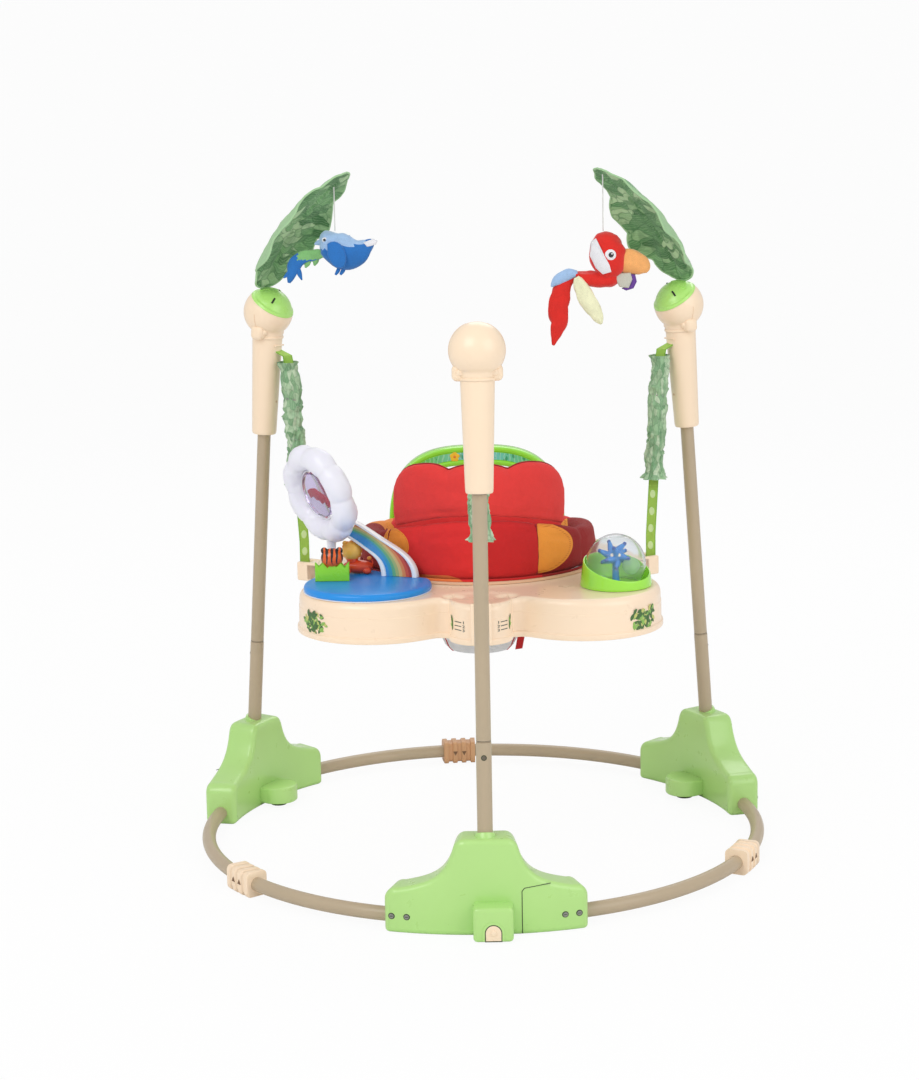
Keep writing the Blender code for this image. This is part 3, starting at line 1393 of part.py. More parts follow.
def build_tiger(hang, colours):
    """A tiger's head that looks over a tuft of grass, on a turning foot."""
    foot = TOY_DECK + GAP
    outline = [(TIGER_X - TIGER_HALF, foot), (TIGER_X + TIGER_HALF, foot)]
    span = 2 * TIGER_HALF / GRASS_TEETH
    for i in range(GRASS_TEETH):
        right = TIGER_X + TIGER_HALF - span * i
        outline.append((right, foot + GRASS_HEIGHT))
        if i < GRASS_TEETH - 1:
            outline.append((right - span * 0.55, foot + GRASS_HEIGHT - GRASS_TOOTH))
    outline.append((TIGER_X - TIGER_HALF, foot + GRASS_HEIGHT - GRASS_TOOTH))
    pivot = make_frame("tiger_pivot", hang, (TIGER_X, TIGER_Y, foot))
    tuft = plate(outline, TIGER_DEPTH, TIGER_Y)
    tiger = add_bmesh("tiger_toy", tuft, colours["orange"], hang, pivot)
    height = foot + GRASS_HEIGHT + TIGER_HEAD_RADIUS * 0.35
    head = ball(TIGER_HEAD_RADIUS, (TIGER_X, TIGER_Y, height), 12, 6)
    combine(tiger, "head", head, "UNION", pivot)
    for name, aside in (("left_ear", -0.75), ("right_ear", 0.75)):
        centre = (
            TIGER_X + aside * TIGER_HEAD_RADIUS,
            TIGER_Y,
            height + TIGER_HEAD_RADIUS * 0.72,
        )
        combine(tiger, name, ball(TIGER_EAR_RADIUS, centre, 8, 5), "UNION", pivot)


def build_dome(hang, colours):
    """A scooped cup that holds a clear turning dome with a spiky creature in it."""
    centre = (DOME_X, DOME_Y)
    inner = DOME_RADIUS + CUP_WALL_GAP
    cup = turned(
        "dome_base",
        [
            (inner, DECK + CUP_HEIGHT),
            (CUP_RIM_RADIUS, DECK + CUP_HEIGHT),
            (CUP_FOOT_RADIUS, DECK + 0.004),
            (CUP_FOOT_RADIUS, DECK),
            (0, DECK),
            (0, DECK + CUP_FLOOR),
            (inner, DECK + CUP_FLOOR),
        ],
        colours["lime"],
        hang,
        24,
        loop=True,
        centre=centre,
    )
    scoop = block((0.3, 0.3, 0.2), (0, 0, 0.1))
    downhill = Vector((0.5, -0.866, 0))
    normal = (Vector((0, 0, 1)) + downhill * CUP_SCOOP_SLOPE).normalized()
    turn = Vector((0, 0, 1)).rotation_difference(normal).to_matrix().to_4x4()
    place = Matrix.Translation((0, 0, DECK + CUP_SCOOP_HEIGHT)) @ turn
    bmesh.ops.transform(scoop, matrix=place, verts=scoop.verts)
    tool = add_bmesh("dome_base_scoop", scoop, None, hang, cutter=True)
    tool.location = (*centre, 0)
    cut = cup.modifiers.new("scoop", "BOOLEAN")
    cut.operation = "DIFFERENCE"
    cut.object = tool
    cut.solver = "EXACT"

    middle = DOME_FLOOR + DOME_RISE
    pivot = make_frame("dome_pivot", hang, (*centre, middle))
    low = -math.degrees(math.asin(DOME_RISE / DOME_RADIUS))
    outer = arc((0, middle), DOME_RADIUS, 90, low, 6)
    outer[0] = (0.0, middle + DOME_RADIUS)
    inner_radius = DOME_RADIUS - DOME_WALL
    inner_low = -math.degrees(math.asin(DOME_RISE / inner_radius))
    shell = arc((0, middle), inner_radius, inner_low, 90, 6)
    shell[-1] = (0.0, middle + inner_radius)
    turned("dome", outer + shell, colours["clear"], hang, 16, pivot=pivot, centre=centre)
    bm = bmesh.new()
    bmesh.ops.create_icosphere(bm, subdivisions=1, radius=CREATURE_RADIUS)
    bmesh.ops.poke(bm, faces=bm.faces[:], offset=CREATURE_SPIKE)
    bmesh.ops.translate(bm, vec=(*centre, DOME_FLOOR + CREATURE_HEIGHT), verts=bm.verts)
    creature = add_bmesh("dome_creature", bm, colours["blue"], hang, pivot)
    leg = rod(
        CREATURE_LEG_RADIUS,
        (*centre, DOME_FLOOR),
        (*centre, DOME_FLOOR + CREATURE_HEIGHT),
        10,
        CREATURE_LEG_RADIUS / 2,
    )
    combine(creature, "leg", leg, "UNION", pivot)


def superellipse(half_width, height, count):
    """Points over a squarish arch, from its right foot to its left foot."""
    points = []
    for i in range(count):
        angle = math.pi * i / (count - 1)
        across = math.copysign(abs(math.cos(angle)) ** (2 / ARCH_POWER), math.cos(angle))
        up = abs(math.sin(angle)) ** (2 / ARCH_POWER)
        points.append((half_width * across, DECK + height * up))
    return points


def build_arch(hang, lime):
    """The toy arch that stands on the far lobe of the tray."""
    rise = ARCH_TOP - DECK
    outline = superellipse(ARCH_HALF, rise, 19)
    outline += superellipse(ARCH_HALF - ARCH_LEG, rise - ARCH_BAND, 19)[::-1]
    bm = plate(outline, ARCH_DEPTH, ARCH_Y)
    rims = [
        edge
        for edge in bm.edges
        if abs(edge.verts[0].co.y - edge.verts[1].co.y) < 1e-6
        and max(v.co.z for v in edge.verts) > DECK + 0.002
    ]
    bmesh.ops.bevel(
        bm, geom=rims, offset=ARCH_EDGE, segments=1, profile=0.5, affect="EDGES", material=-1
    )
    add_bmesh("toy_arch", bm, lime, hang)


def main():
    clear_scene()
    steel = make_material("stand_tube", (0.47, 0.40, 0.31), 0.35, 0.3)
    peach = make_material("peach_plastic", (0.95, 0.75, 0.56), 0.35)
    green = make_material("foot_green", (0.51, 0.79, 0.32), 0.3)
    lime = make_material("lime_plastic", (0.45, 0.80, 0.15), 0.35)
    webbing = make_material("lime_webbing", (0.50, 0.72, 0.18), 0.8)
    wire = make_material("spring_steel", (0.60, 0.60, 0.60), 0.3, 1.0)
    leaf_print = make_material("leaf_print_cloth", (0.36, 0.58, 0.38), 0.9)
    white = make_material("white_plastic", (0.90, 0.90, 0.90), 0.4)
    red = make_material("red_cloth", (0.75, 0.06, 0.05), 0.9)
    lining = make_material("grey_cloth", (0.78, 0.78, 0.80), 0.9)
    colours = {
        "blue": make_material("blue_plastic", (0.05, 0.32, 0.80), 0.3),
        "white": white,
        "cloud": make_material("cloud_lavender", (0.78, 0.76, 0.86), 0.5),
        "clear": make_material("clear_plastic", (0.90, 0.90, 0.95), 0.1, alpha=0.35),
        "orange": make_material("orange_plastic", (0.90, 0.25, 0.04), 0.35),
        "lime": lime,
        "blue_plush": make_material("blue_plush", (0.08, 0.25, 0.65), 0.95),
        "red_plush": make_material("red_plush", (0.72, 0.04, 0.04), 0.95),
        "orange_plush": make_material("orange_plush", (0.90, 0.45, 0.15), 0.95),
        "cream_plush": make_material("cream_plush", (0.88, 0.85, 0.62), 0.95),
        "cord": make_material("white_cord", (0.88, 0.88, 0.86), 0.8),
    }

    stand = make_frame("stand_axis", None, (0, STAND_Y, 0))
    build_ring(stand, steel, peach)
    for side, azimuth in SIDES.items():
        frame = make_frame(f"side_{side}", stand, turn=azimuth)
        build_foot(side, frame, green, peach)
        axis = build_post(side, frame, steel, peach)
        build_hanger(side, frame, webbing, wire, leaf_print)
        if side in STRING_FROM_TIP:
            build_leaf_socket(side, axis, lime)
            add_bmesh(f"leaf_{side}", leaf_bmesh(), leaf_print, frame)
    build_hanging_toys(stand, colours)

    hang = make_frame("tray_hang", stand)
    build_tray(hang, peach)
    seat_pivot = make_frame("seat_pivot", hang)
    build_seat(hang, seat_pivot, white, red, lining)
    build_left_toys(hang, colours)
    build_dome(hang, colours)
    build_arch(hang, lime)


main()
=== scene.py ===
import math

import bmesh
import bpy
from mathutils import Matrix, Vector, noise


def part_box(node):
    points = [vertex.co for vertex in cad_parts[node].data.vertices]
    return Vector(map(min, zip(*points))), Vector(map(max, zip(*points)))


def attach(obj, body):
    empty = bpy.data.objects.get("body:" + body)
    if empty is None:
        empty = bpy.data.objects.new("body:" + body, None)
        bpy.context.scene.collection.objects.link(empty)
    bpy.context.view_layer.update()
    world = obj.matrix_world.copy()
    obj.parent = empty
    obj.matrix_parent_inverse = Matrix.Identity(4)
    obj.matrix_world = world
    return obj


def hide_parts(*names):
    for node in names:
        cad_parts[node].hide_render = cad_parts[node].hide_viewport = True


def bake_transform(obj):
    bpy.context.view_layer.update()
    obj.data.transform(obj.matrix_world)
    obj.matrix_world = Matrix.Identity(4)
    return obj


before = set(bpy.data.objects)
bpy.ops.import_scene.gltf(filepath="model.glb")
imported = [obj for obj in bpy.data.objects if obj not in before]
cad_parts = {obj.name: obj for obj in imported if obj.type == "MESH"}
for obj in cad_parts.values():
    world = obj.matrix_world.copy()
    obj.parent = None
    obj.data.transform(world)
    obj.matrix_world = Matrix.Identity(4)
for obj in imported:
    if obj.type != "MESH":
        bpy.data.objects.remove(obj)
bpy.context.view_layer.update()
scene = bpy.context.scene

# Camera and studio. A long lens from a little above, level with the top of the toys. The floor
# and the wall behind it are one pale sweep, lit by a soft world and three large lamps.

STAND_Y = 0.021507
CAMERA_PLACE = (-0.027, STAND_Y - 3.972, 1.28)
LENS_MM = 83.57
SENSOR_MM = 36
SWEEP_HALF = 9


def linked(name, data):
    """A new object in the scene."""
    obj = bpy.data.objects.new(name, data)
    scene.collection.objects.link(obj)
    return obj


def only(items, kind):
    """The verts, edges or faces among what a bmesh operator gave back."""
    return [item for item in items if isinstance(item, getattr(bmesh.types, kind))]


def feed(tree, socket, value):
    """Set a socket to a plain value, or link an output to it."""
    if isinstance(value, (int, float, tuple)):
        socket.default_value = value
    else:
        tree.links.new(value, socket)


def math_node(tree, operation, first, second=None, clamp=False):
    node = tree.nodes.new("ShaderNodeMath")
    node.operation = operation
    node.use_clamp = clamp
    feed(tree, node.inputs[0], first)
    if second is not None:
        feed(tree, node.inputs[1], second)
    return node.outputs[0]


def times(tree, first, second, clamp=False):
    return math_node(tree, "MULTIPLY", first, second, clamp)


def by_ray(tree, ray, plain, special, share=1.0):
    """Show the special shader to one kind of ray, and the plain one to the rest."""
    path = tree.nodes.new("ShaderNodeLightPath")
    seen = times(tree, path.outputs[ray], share)
    mix = tree.nodes.new("ShaderNodeMixShader")
    for slot, value in enumerate((seen, plain.outputs[0], special.outputs[0])):
        tree.links.new(value, mix.inputs[slot])
    last = next(node for node in tree.nodes if node.type.startswith("OUTPUT"))
    tree.links.new(mix.outputs[0], last.inputs["Surface"])


def sweep_material():
    """Pale grey that the camera sees as nearly white."""
    paint = bpy.data.materials.new("pale_sweep")
    paint.use_nodes = True
    tree = paint.node_tree
    shader = tree.nodes["Principled BSDF"]
    shader.inputs["Base Color"].default_value = (0.90, 0.90, 0.90, 1)
    shader.inputs["Roughness"].default_value = 0.9
    white = tree.nodes.new("ShaderNodeEmission")
    white.inputs["Color"].default_value = (1, 1, 1, 1)
    by_ray(tree, "Is Camera Ray", shader, white, 0.93)
    return paint


lens = bpy.data.cameras.new("photo_camera")
lens.lens = LENS_MM
lens.sensor_fit = "VERTICAL"
lens.sensor_width = lens.sensor_height = SENSOR_MM
scene.camera = linked("photo_camera", lens)
turn = Matrix.Rotation(0.0008, 4, "Z") @ Matrix.Rotation(math.pi / 2 - 0.194, 4, "X")
turn @= Matrix.Rotation(-0.0180, 4, "Z")
scene.camera.matrix_world = Matrix.Translation(CAMERA_PLACE) @ turn

floor = bmesh.new()
bmesh.ops.create_grid(floor, x_segments=1, y_segments=1, size=SWEEP_HALF)
far = [edge for edge in floor.edges if all(vert.co.y > 8 for vert in edge.verts)]
grown = bmesh.ops.extrude_edge_only(floor, edges=far)["geom"]
bmesh.ops.translate(floor, vec=(0, 0, SWEEP_HALF), verts=only(grown, "BMVert"))
bend = [edge for edge in floor.edges if all(v.co.y > 8 and v.co.z < 1 for v in edge.verts)]
bmesh.ops.bevel(
    floor, geom=bend, offset=3, segments=12, profile=0.5, affect="EDGES", material=-1
)
mesh = bpy.data.meshes.new("sweep")
floor.to_mesh(mesh)
floor.free()
mesh.shade_smooth()
sweep = linked("sweep", mesh)
mesh.materials.append(sweep_material())

sky = bpy.data.worlds.new("studio")
scene.world = sky
sky.use_nodes = True
glow = sky.node_tree.nodes["Background"]
glow.inputs["Color"].default_value = (1, 1, 1, 1)
glow.inputs["Strength"].default_value = 0.68
by_ray(sky.node_tree, "Is Camera Ray", glow, sky.node_tree.nodes.new("ShaderNodeBackground"))
for name, place, size, power in (
    ("key", (-1.9, -2.6, 3.0), 2.2, 46),
    ("fill", (2.4, -2.2, 2.0), 2.4, 26),
    ("rear", (0.4, 2.6, 2.9), 2.0, 22),
):
    lamp = bpy.data.lights.new(name, "AREA")
    lamp.size = size
    lamp.energy = power
    aim = (Vector((0, 0, 0.5)) - Vector(place)).to_track_quat("-Z", "Y")
    linked(name, lamp).matrix_world = Matrix.Translation(place) @ aim.to_matrix().to_4x4()
scene.view_settings.view_transform = "Standard"

# The floor ring: three 22 mm steel tubes, rolled to one circle and powder coated taupe. Their
# ends meet inside the ribbed couplers.

RING_RADIUS = 0.450
RING_HEIGHT = 0.020
RING_LEAD = 4.9
RING_ARC = 119.7
SIDES = {"front": 0.0, "left": -120.0, "right": 120.0}
SKIN = {"Colour": "Color", "Roughness": "Float", "Normal": "Vector"}


def tone(red, green, blue):
    """A colour as a screen shows it, turned to the linear values that shaders take."""
    return tuple((value / 255) ** 2.2 for value in (red, green, blue)) + (1.0,)


def new_group(name, inputs, outputs):
    group = bpy.data.node_groups.new(name, "ShaderNodeTree")
    for direction, sockets in (("INPUT", inputs), ("OUTPUT", outputs)):
        for label, kind in sockets.items():
            group.interface.new_socket(name=label, in_out=direction,
                                       socket_type=f"NodeSocket{kind}")
    return group, group.nodes.new("NodeGroupInput"), group.nodes.new("NodeGroupOutput")


def plus(tree, first, second, clamp=False):
    return math_node(tree, "ADD", first, second, clamp)


def about(tree, value, amount, middle=0.5, clamp=False):
    """How far a value is from a middle, times an amount."""
    return times(tree, math_node(tree, "SUBTRACT", value, middle), amount, clamp)


def mixed(tree, factor, first, second):
    node = tree.nodes.new("ShaderNodeMix")
    node.data_type = "RGBA"
    for slot, value in ((0, factor), (6, first), (7, second)):
        feed(tree, node.inputs[slot], value)
    return node.outputs[2]


def textured(tree, kind, vector, **values):
    node = tree.nodes.new(kind)
    for label, value in dict(values, Vector=vector).items():
        feed(tree, node.inputs[label], value)
    return node


def noisy(tree, vector, scale, detail, **values):
    values.update(Scale=scale, Detail=detail)
    return textured(tree, "ShaderNodeTexNoise", vector, **values).outputs["Fac"]


def bump_of(tree, height, distance, strength=1.0, below=None):
    node = tree.nodes.new("ShaderNodeBump")
    for label, value in (("Strength", strength), ("Distance", distance), ("Height", height)):
        feed(tree, node.inputs[label], value)
    if below is not None:
        tree.links.new(below, node.inputs["Normal"])
    return node.outputs["Normal"]


def finish_skin(tree, given, out, value, rough, normal):
    """Close a skin's group: its colour made lighter or darker, its roughness and relief."""
    shade = tree.nodes.new("ShaderNodeHueSaturation")
    tree.links.new(given.outputs["Colour"], shade.inputs["Color"])
    tree.links.new(value, shade.inputs["Value"])
    for label, output in zip(SKIN, (shade.outputs[0], rough, normal)):
        tree.links.new(output, out.inputs[label])
    return tree


def moulded_skin():
    """Moulded plastic or powder coat: faint flow tones, uneven gloss, and a fine grain."""
    wanted = {"Colour": "Color", "Roughness": "Float", "Flow": "Float"}
    tree, given, out = new_group("moulded_skin", wanted, SKIN)
    place = tree.nodes.new("ShaderNodeTexCoord").outputs["Object"]
    shift = about(tree, noisy(tree, place, 9, 4.0), given.outputs["Flow"])
    uneven = about(tree, noisy(tree, place, 42, 3.0, Roughness=0.6), 0.16)
    rough = plus(tree, given.outputs["Roughness"], uneven, clamp=True)
    soft = bump_of(tree, noisy(tree, place, 14, 1.0), 0.0016, 0.25)
    grain = bump_of(tree, noisy(tree, place, 900, 2.0), 0.00008, 0.5, soft)
    return finish_skin(tree, given, out, plus(tree, 1.0, shift), rough, grain)


def skinned(name, skin, given, finish, source=None):
    """A material with a skin. source makes its colour from the tree, as a print does."""
    paint = bpy.data.materials.new(name)
    paint.use_nodes = True
    tree = paint.node_tree
    group = tree.nodes.new("ShaderNodeGroup")
    group.node_tree = skin
    for label, value in given.items():
        group.inputs[label].default_value = value
    if source:
        tree.links.new(source(tree), group.inputs["Colour"])
    shader = tree.nodes["Principled BSDF"]
    for label, target in zip(SKIN, ("Base Color", "Roughness", "Normal")):
        tree.links.new(group.outputs[label], shader.inputs[target])
    for label, value in finish.items():
        shader.inputs[label].default_value = value
    return paint


MOULDED = moulded_skin()


def moulded(name, colour, roughness=0.34, flow=0.10, coat=0.0, metallic=0.0, source=None):
    """A material with the moulded skin."""
    given = {"Colour": colour, "Roughness": roughness, "Flow": flow}
    finish = {"Coat Weight": coat, "Coat Roughness": 0.08, "Metallic": metallic}
    return skinned(name, MOULDED, given, finish, source)


def on_ring(azimuth, radius, height):
    """A point round the stand's axis, 0 degrees at the front post."""
    angle = math.radians(azimuth)
    return Vector((radius * math.sin(angle), STAND_Y - radius * math.cos(angle), height))


def add_piece(name, bm, paints, body, nodes=(), crease=38):
    """Finish a mesh as a piece that rides on a body."""
    bmesh.ops.remove_doubles(bm, verts=bm.verts, dist=1e-6)
    bmesh.ops.recalc_face_normals(bm, faces=bm.faces)
    mesh = bpy.data.meshes.new(name)
    bm.to_mesh(mesh)
    bm.free()
    mesh.shade_smooth()
    mesh.set_sharp_from_angle(angle=math.radians(crease))
    for paint in paints if isinstance(paints, (list, tuple)) else [paints]:
        mesh.materials.append(paint)
    obj = linked(name, mesh)
    if body:
        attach(obj, body)
    if nodes:
        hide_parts(*nodes)
    return obj


def spun(profile, steps, angle=360.0, centre=(0, 0, 0), closed=True):
    """A line of points swung about an upright axis. Points of two numbers lie in X and Z."""
    bm = bmesh.new()
    spots = [point if len(point) == 3 else (point[0], 0, point[1]) for point in profile]
    verts = [bm.verts.new(spot) for spot in spots]
    edges = [bm.edges.new(pair) for pair in zip(verts, verts[1:])]
    if closed:
        edges.append(bm.edges.new((verts[-1], verts[0])))
    bmesh.ops.spin(
        bm, geom=verts + edges, cent=centre, axis=(0, 0, 1), angle=math.radians(angle),
        steps=steps, use_merge=abs(angle) >= 360, use_duplicate=False,
    )
    bmesh.ops.remove_doubles(bm, verts=bm.verts, dist=1e-6)
    if abs(angle) < 360:
        bmesh.ops.holes_fill(bm, edges=bm.edges, sides=0)
    return bm


def round_section(radius, count, middle):
    """Points of a circle in a plane that holds the stand's axis."""
    points = []
    for i in range(count):
        turn = 2 * math.pi * i / count
        points.append(middle + Vector((0, radius * math.cos(turn), radius * math.sin(turn))))
    return points


taupe = moulded("stand_tube", tone(183, 165, 138), 0.36, 0.14, coat=0.15)
for side, azimuth in SIDES.items():
    section = round_section(0.011, 28, Vector((0, STAND_Y - RING_RADIUS, RING_HEIGHT)))
    ring = spun(section, 90, RING_ARC, (0, STAND_Y, 0))
    start = Matrix.Rotation(math.radians(azimuth + RING_LEAD - RING_ARC / 2), 4, "Z")
    bmesh.ops.rotate(ring, cent=(0, STAND_Y, 0), matrix=start, verts=ring.verts)
    add_piece(f"ring_tube_{side}", ring, taupe, "stand", [f"base_tube_{side}"])

# The couplers: moulded peach sleeves over the tube ends. Each has four raised bands and two
# arrows pressed into the middle pair, which show which way the tubes push in.


def bent(bm):
    """Wrap a shape that was built straight along X round the floor ring, at y 0."""
    for vert in bm.verts:
        x, y, z = vert.co
        vert.co = on_ring(math.degrees(x / RING_RADIUS), RING_RADIUS - y, z)


def rounded_bar(deep, tall, corner, stations):
    """A rounded section drawn along X, changed in size by an inset at each station."""
    bm = bmesh.new()
    corners = [(-deep, -tall), (deep, -tall), (deep, tall), (-deep, tall)]
    bm.faces.new([bm.verts.new((stations[0][0], y, z)) for y, z in corners])
    bmesh.ops.bevel(
        bm, geom=bm.verts[:], offset=corner, segments=5, profile=0.5, affect="VERTICES", material=-1
    )
    face = bm.faces[:][0]
    inset = 0.0
    for (before, _), (x, wanted) in zip(stations, stations[1:]):
        grown = bmesh.ops.extrude_face_region(bm, geom=[face])["geom"]
        bm.faces.ensure_lookup_table()
        face = only(grown, "BMFace")[0]
        bmesh.ops.translate(bm, vec=(x - before, 0, 0), verts=face.verts)
        size = ((deep - wanted) / (deep - inset), (tall - wanted) / (tall - inset))
        bmesh.ops.scale(bm, vec=(1, *size), verts=face.verts)
        inset = wanted
    return bm


def add_solid(bm, other, index=0):
    """Put the faces of one bmesh into another, in one of the piece's materials."""
    if index:
        for face in other.faces:
            face.material_index = index
    mesh = bpy.data.meshes.new("part")
    other.to_mesh(mesh)
    other.free()
    bm.from_mesh(mesh)
    bpy.data.meshes.remove(mesh)


def soft_block(size, centre, edge, segments=4):
    """A box with rounded edges."""
    bm = bmesh.new()
    bmesh.ops.create_cube(bm, size=1)
    bmesh.ops.scale(bm, vec=size, verts=bm.verts)
    bmesh.ops.bevel(
        bm, geom=bm.edges[:], offset=edge, segments=segments, profile=0.5, affect="EDGES",
        material=-1,
    )
    bmesh.ops.translate(bm, vec=centre, verts=bm.verts)
    return bm


def rod(radius, start, end, sides=32, end_radius=None, edge=0.0):
    """A round bar or cone between two points, with softened rims."""
    start, end = Vector(start), Vector(end)
    bm = bmesh.new()
    bmesh.ops.create_cone(
        bm, cap_ends=True, segments=sides, radius1=radius,
        radius2=radius if end_radius is None else end_radius, depth=(end - start).length,
    )
    if edge:
        rims = [e for e in bm.edges if abs(e.verts[0].co.z - e.verts[1].co.z) < 1e-7]
        bmesh.ops.bevel(
            bm, geom=rims, offset=edge, segments=3, profile=0.5, affect="EDGES", material=-1
        )
    turn = Vector((0, 0, 1)).rotation_difference(end - start).to_matrix()
    bmesh.ops.rotate(bm, matrix=turn, verts=bm.verts)
    bmesh.ops.translate(bm, vec=(start + end) / 2, verts=bm.verts)
    return bm


def move(bm, by):
    """Move a whole shape by a matrix, or along a vector."""
    matrix = by.to_4x4() if isinstance(by, Matrix) else Matrix.Translation(by)
    bmesh.ops.transform(bm, matrix=matrix, verts=bm.verts)
    return bm


def turned(degrees, axis="Z"):
    return Matrix.Rotation(math.radians(degrees), 4, axis)


peach = moulded("peach_plastic", tone(251, 226, 196), 0.33, 0.07, coat=0.2)
# Painted shade: the rear coupler is a darker peach than the front two.
rear_peach_shade = moulded("rear_peach_painted_shade", tone(208, 160, 118), 0.4, 0.12)
# Painted shade: the arrows are drawn raised in dark brown, standing for the shade in arrows pressed
# into the plastic.
pressed = moulded("pressed_arrow_shade", tone(122, 92, 66), 0.6, 0.05)
for name, azimuth, paint in (
    ("front_right", 60.0, peach), ("rear", 180.0, rear_peach_shade), ("front_left", -60.0, peach)
):
    half = 0.029
    stations = [(-half, 0.0012), (-half + 0.0010, 0.0)]
    for i in range(3):
        groove = -half + 2 * half * (2 * i + 1.5) / 7
        stations += [(groove - 0.0046, 0.0), (groove - 0.0034, 0.0026)]
        stations += [(groove + 0.0034, 0.0026), (groove + 0.0046, 0.0)]
    stations += [(half - 0.0010, 0.0), (half, 0.0012)]
    sleeve = rounded_bar(0.019, 0.020, 0.008, stations)
    for x in (-0.0085, 0.0085):
        arrow = bmesh.new()
        bmesh.ops.create_circle(arrow, cap_ends=True, segments=3, radius=0.0050)
        flat = bmesh.ops.extrude_face_region(arrow, geom=arrow.faces[:])["geom"]
        tops = only(flat, "BMVert")
        bmesh.ops.translate(arrow, vec=(0, 0, 0.0006), verts=tops)
        for face_y, turn in ((-0.0192, 90), (0.0192, -90)):
            copy = move(arrow.copy(), turned(turn, "X"))
            add_solid(sleeve, move(copy, (x * 0.98, face_y, 0.001)), 1)
        arrow.free()
    move(sleeve, (0, 0, RING_HEIGHT))
    bent(sleeve)
    bmesh.ops.rotate(
        sleeve, cent=(0, STAND_Y, 0), matrix=turned(azimuth + RING_LEAD), verts=sleeve.verts
    )
    add_piece(f"coupler_{name}", sleeve, [paint, pressed], "stand",
              [f"ring_coupler_{name}"])

# The feet: hollow green mouldings that clip over the ring and hold the post. The outer face has
# a latch box with a bullet-shaped push button, a parted right wing, and two screws at each end.

FOOT_TOP = 0.147
foot_green = moulded("foot_green", tone(180, 225, 134), 0.30, 0.08, coat=0.35)
# Painted shade: this dark colour fills recesses, holes and slots; on the wing's seam lines it is
# the dark joint.
seam_and_recess_shade = moulded("seam_and_recess_shade", tone(58, 70, 48), 0.7, 0.05)
screw_steel = moulded("screw_steel", tone(150, 150, 146), 0.32, 0.1, metallic=0.9)


def bezier(start, near, late, end, count):
    points = []
    for i in range(count):
        t = i / (count - 1)
        s = 1 - t
        points.append(tuple(
            s**3 * start[k] + 3 * s * s * t * near[k] + 3 * s * t * t * late[k] + t**3 * end[k]
            for k in range(len(start))
        ))
    return points


def arc(centre, radius, start, end, count):
    points = []
    for i in range(count):
        angle = math.radians(start + (end - start) * i / (count - 1))
        points.append((centre[0] + radius * math.cos(angle), centre[1] + radius * math.sin(angle)))
    return points


def foot_outline():
    """The foot from outside: flat sole, rounded wings, flared flanks and a round crown."""
    half = arc((0.139, 0.007), 0.007, -90, 0, 6)
    half += arc((0.128, 0.051), 0.018, 0, 84, 9)
    half += bezier((0.126, 0.069), (0.085, 0.079), (0.060, 0.085), (0.0475, 0.128), 18)
    half += bezier((0.0475, 0.128), (0.044, 0.142), (0.038, 0.147), (0.028, 0.147), 9)[1:]
    return half + [(-x, z) for x, z in reversed(half)]


def slab(outline, depth, edge, segments=4, y=0.0):
    """A flat outline in X and Z with a thickness along Y and rounded rims."""
    bm = bmesh.new()
    face = bm.faces.new([bm.verts.new((x, y - depth / 2, z)) for x, z in outline])
    grown = bmesh.ops.extrude_face_region(bm, geom=[face])["geom"]
    bmesh.ops.translate(bm, vec=(0, depth, 0), verts=only(grown, "BMVert"))
    rims = [e for e in bm.edges if abs(e.verts[0].co.y - e.verts[1].co.y) < 1e-7]
    if edge:
        bmesh.ops.bevel(
            bm, geom=rims, offset=edge, segments=segments, profile=0.5, affect="EDGES", material=-1
        )
    return bm


def sliced_along_x(bm, low, high, count):
    """Cut a shape at even steps along X, so that it can bend."""
    for i in range(1, count):
        bmesh.ops.bisect_plane(
            bm, geom=bm.verts[:] + bm.edges[:] + bm.faces[:],
            plane_co=(low + (high - low) * i / count, 0, 0), plane_no=(1, 0, 0),
        )
    bmesh.ops.triangulate(bm, faces=[face for face in bm.faces if len(face.verts) > 4])


def bullet(half_width, bottom, top, depth, y, edge):
    outline = [(0.0095 - half_width, bottom), (0.0095 + half_width, bottom)]
    outline += arc((0.0095, top - half_width), half_width, 0, 180, 17)
    return slab(outline, depth, edge, 3, y)


def about_stand(azimuth):
    """A turn about the stand's axis, for a shape built round the origin."""
    return Matrix.Translation((0, STAND_Y, 0)) @ turned(azimuth)


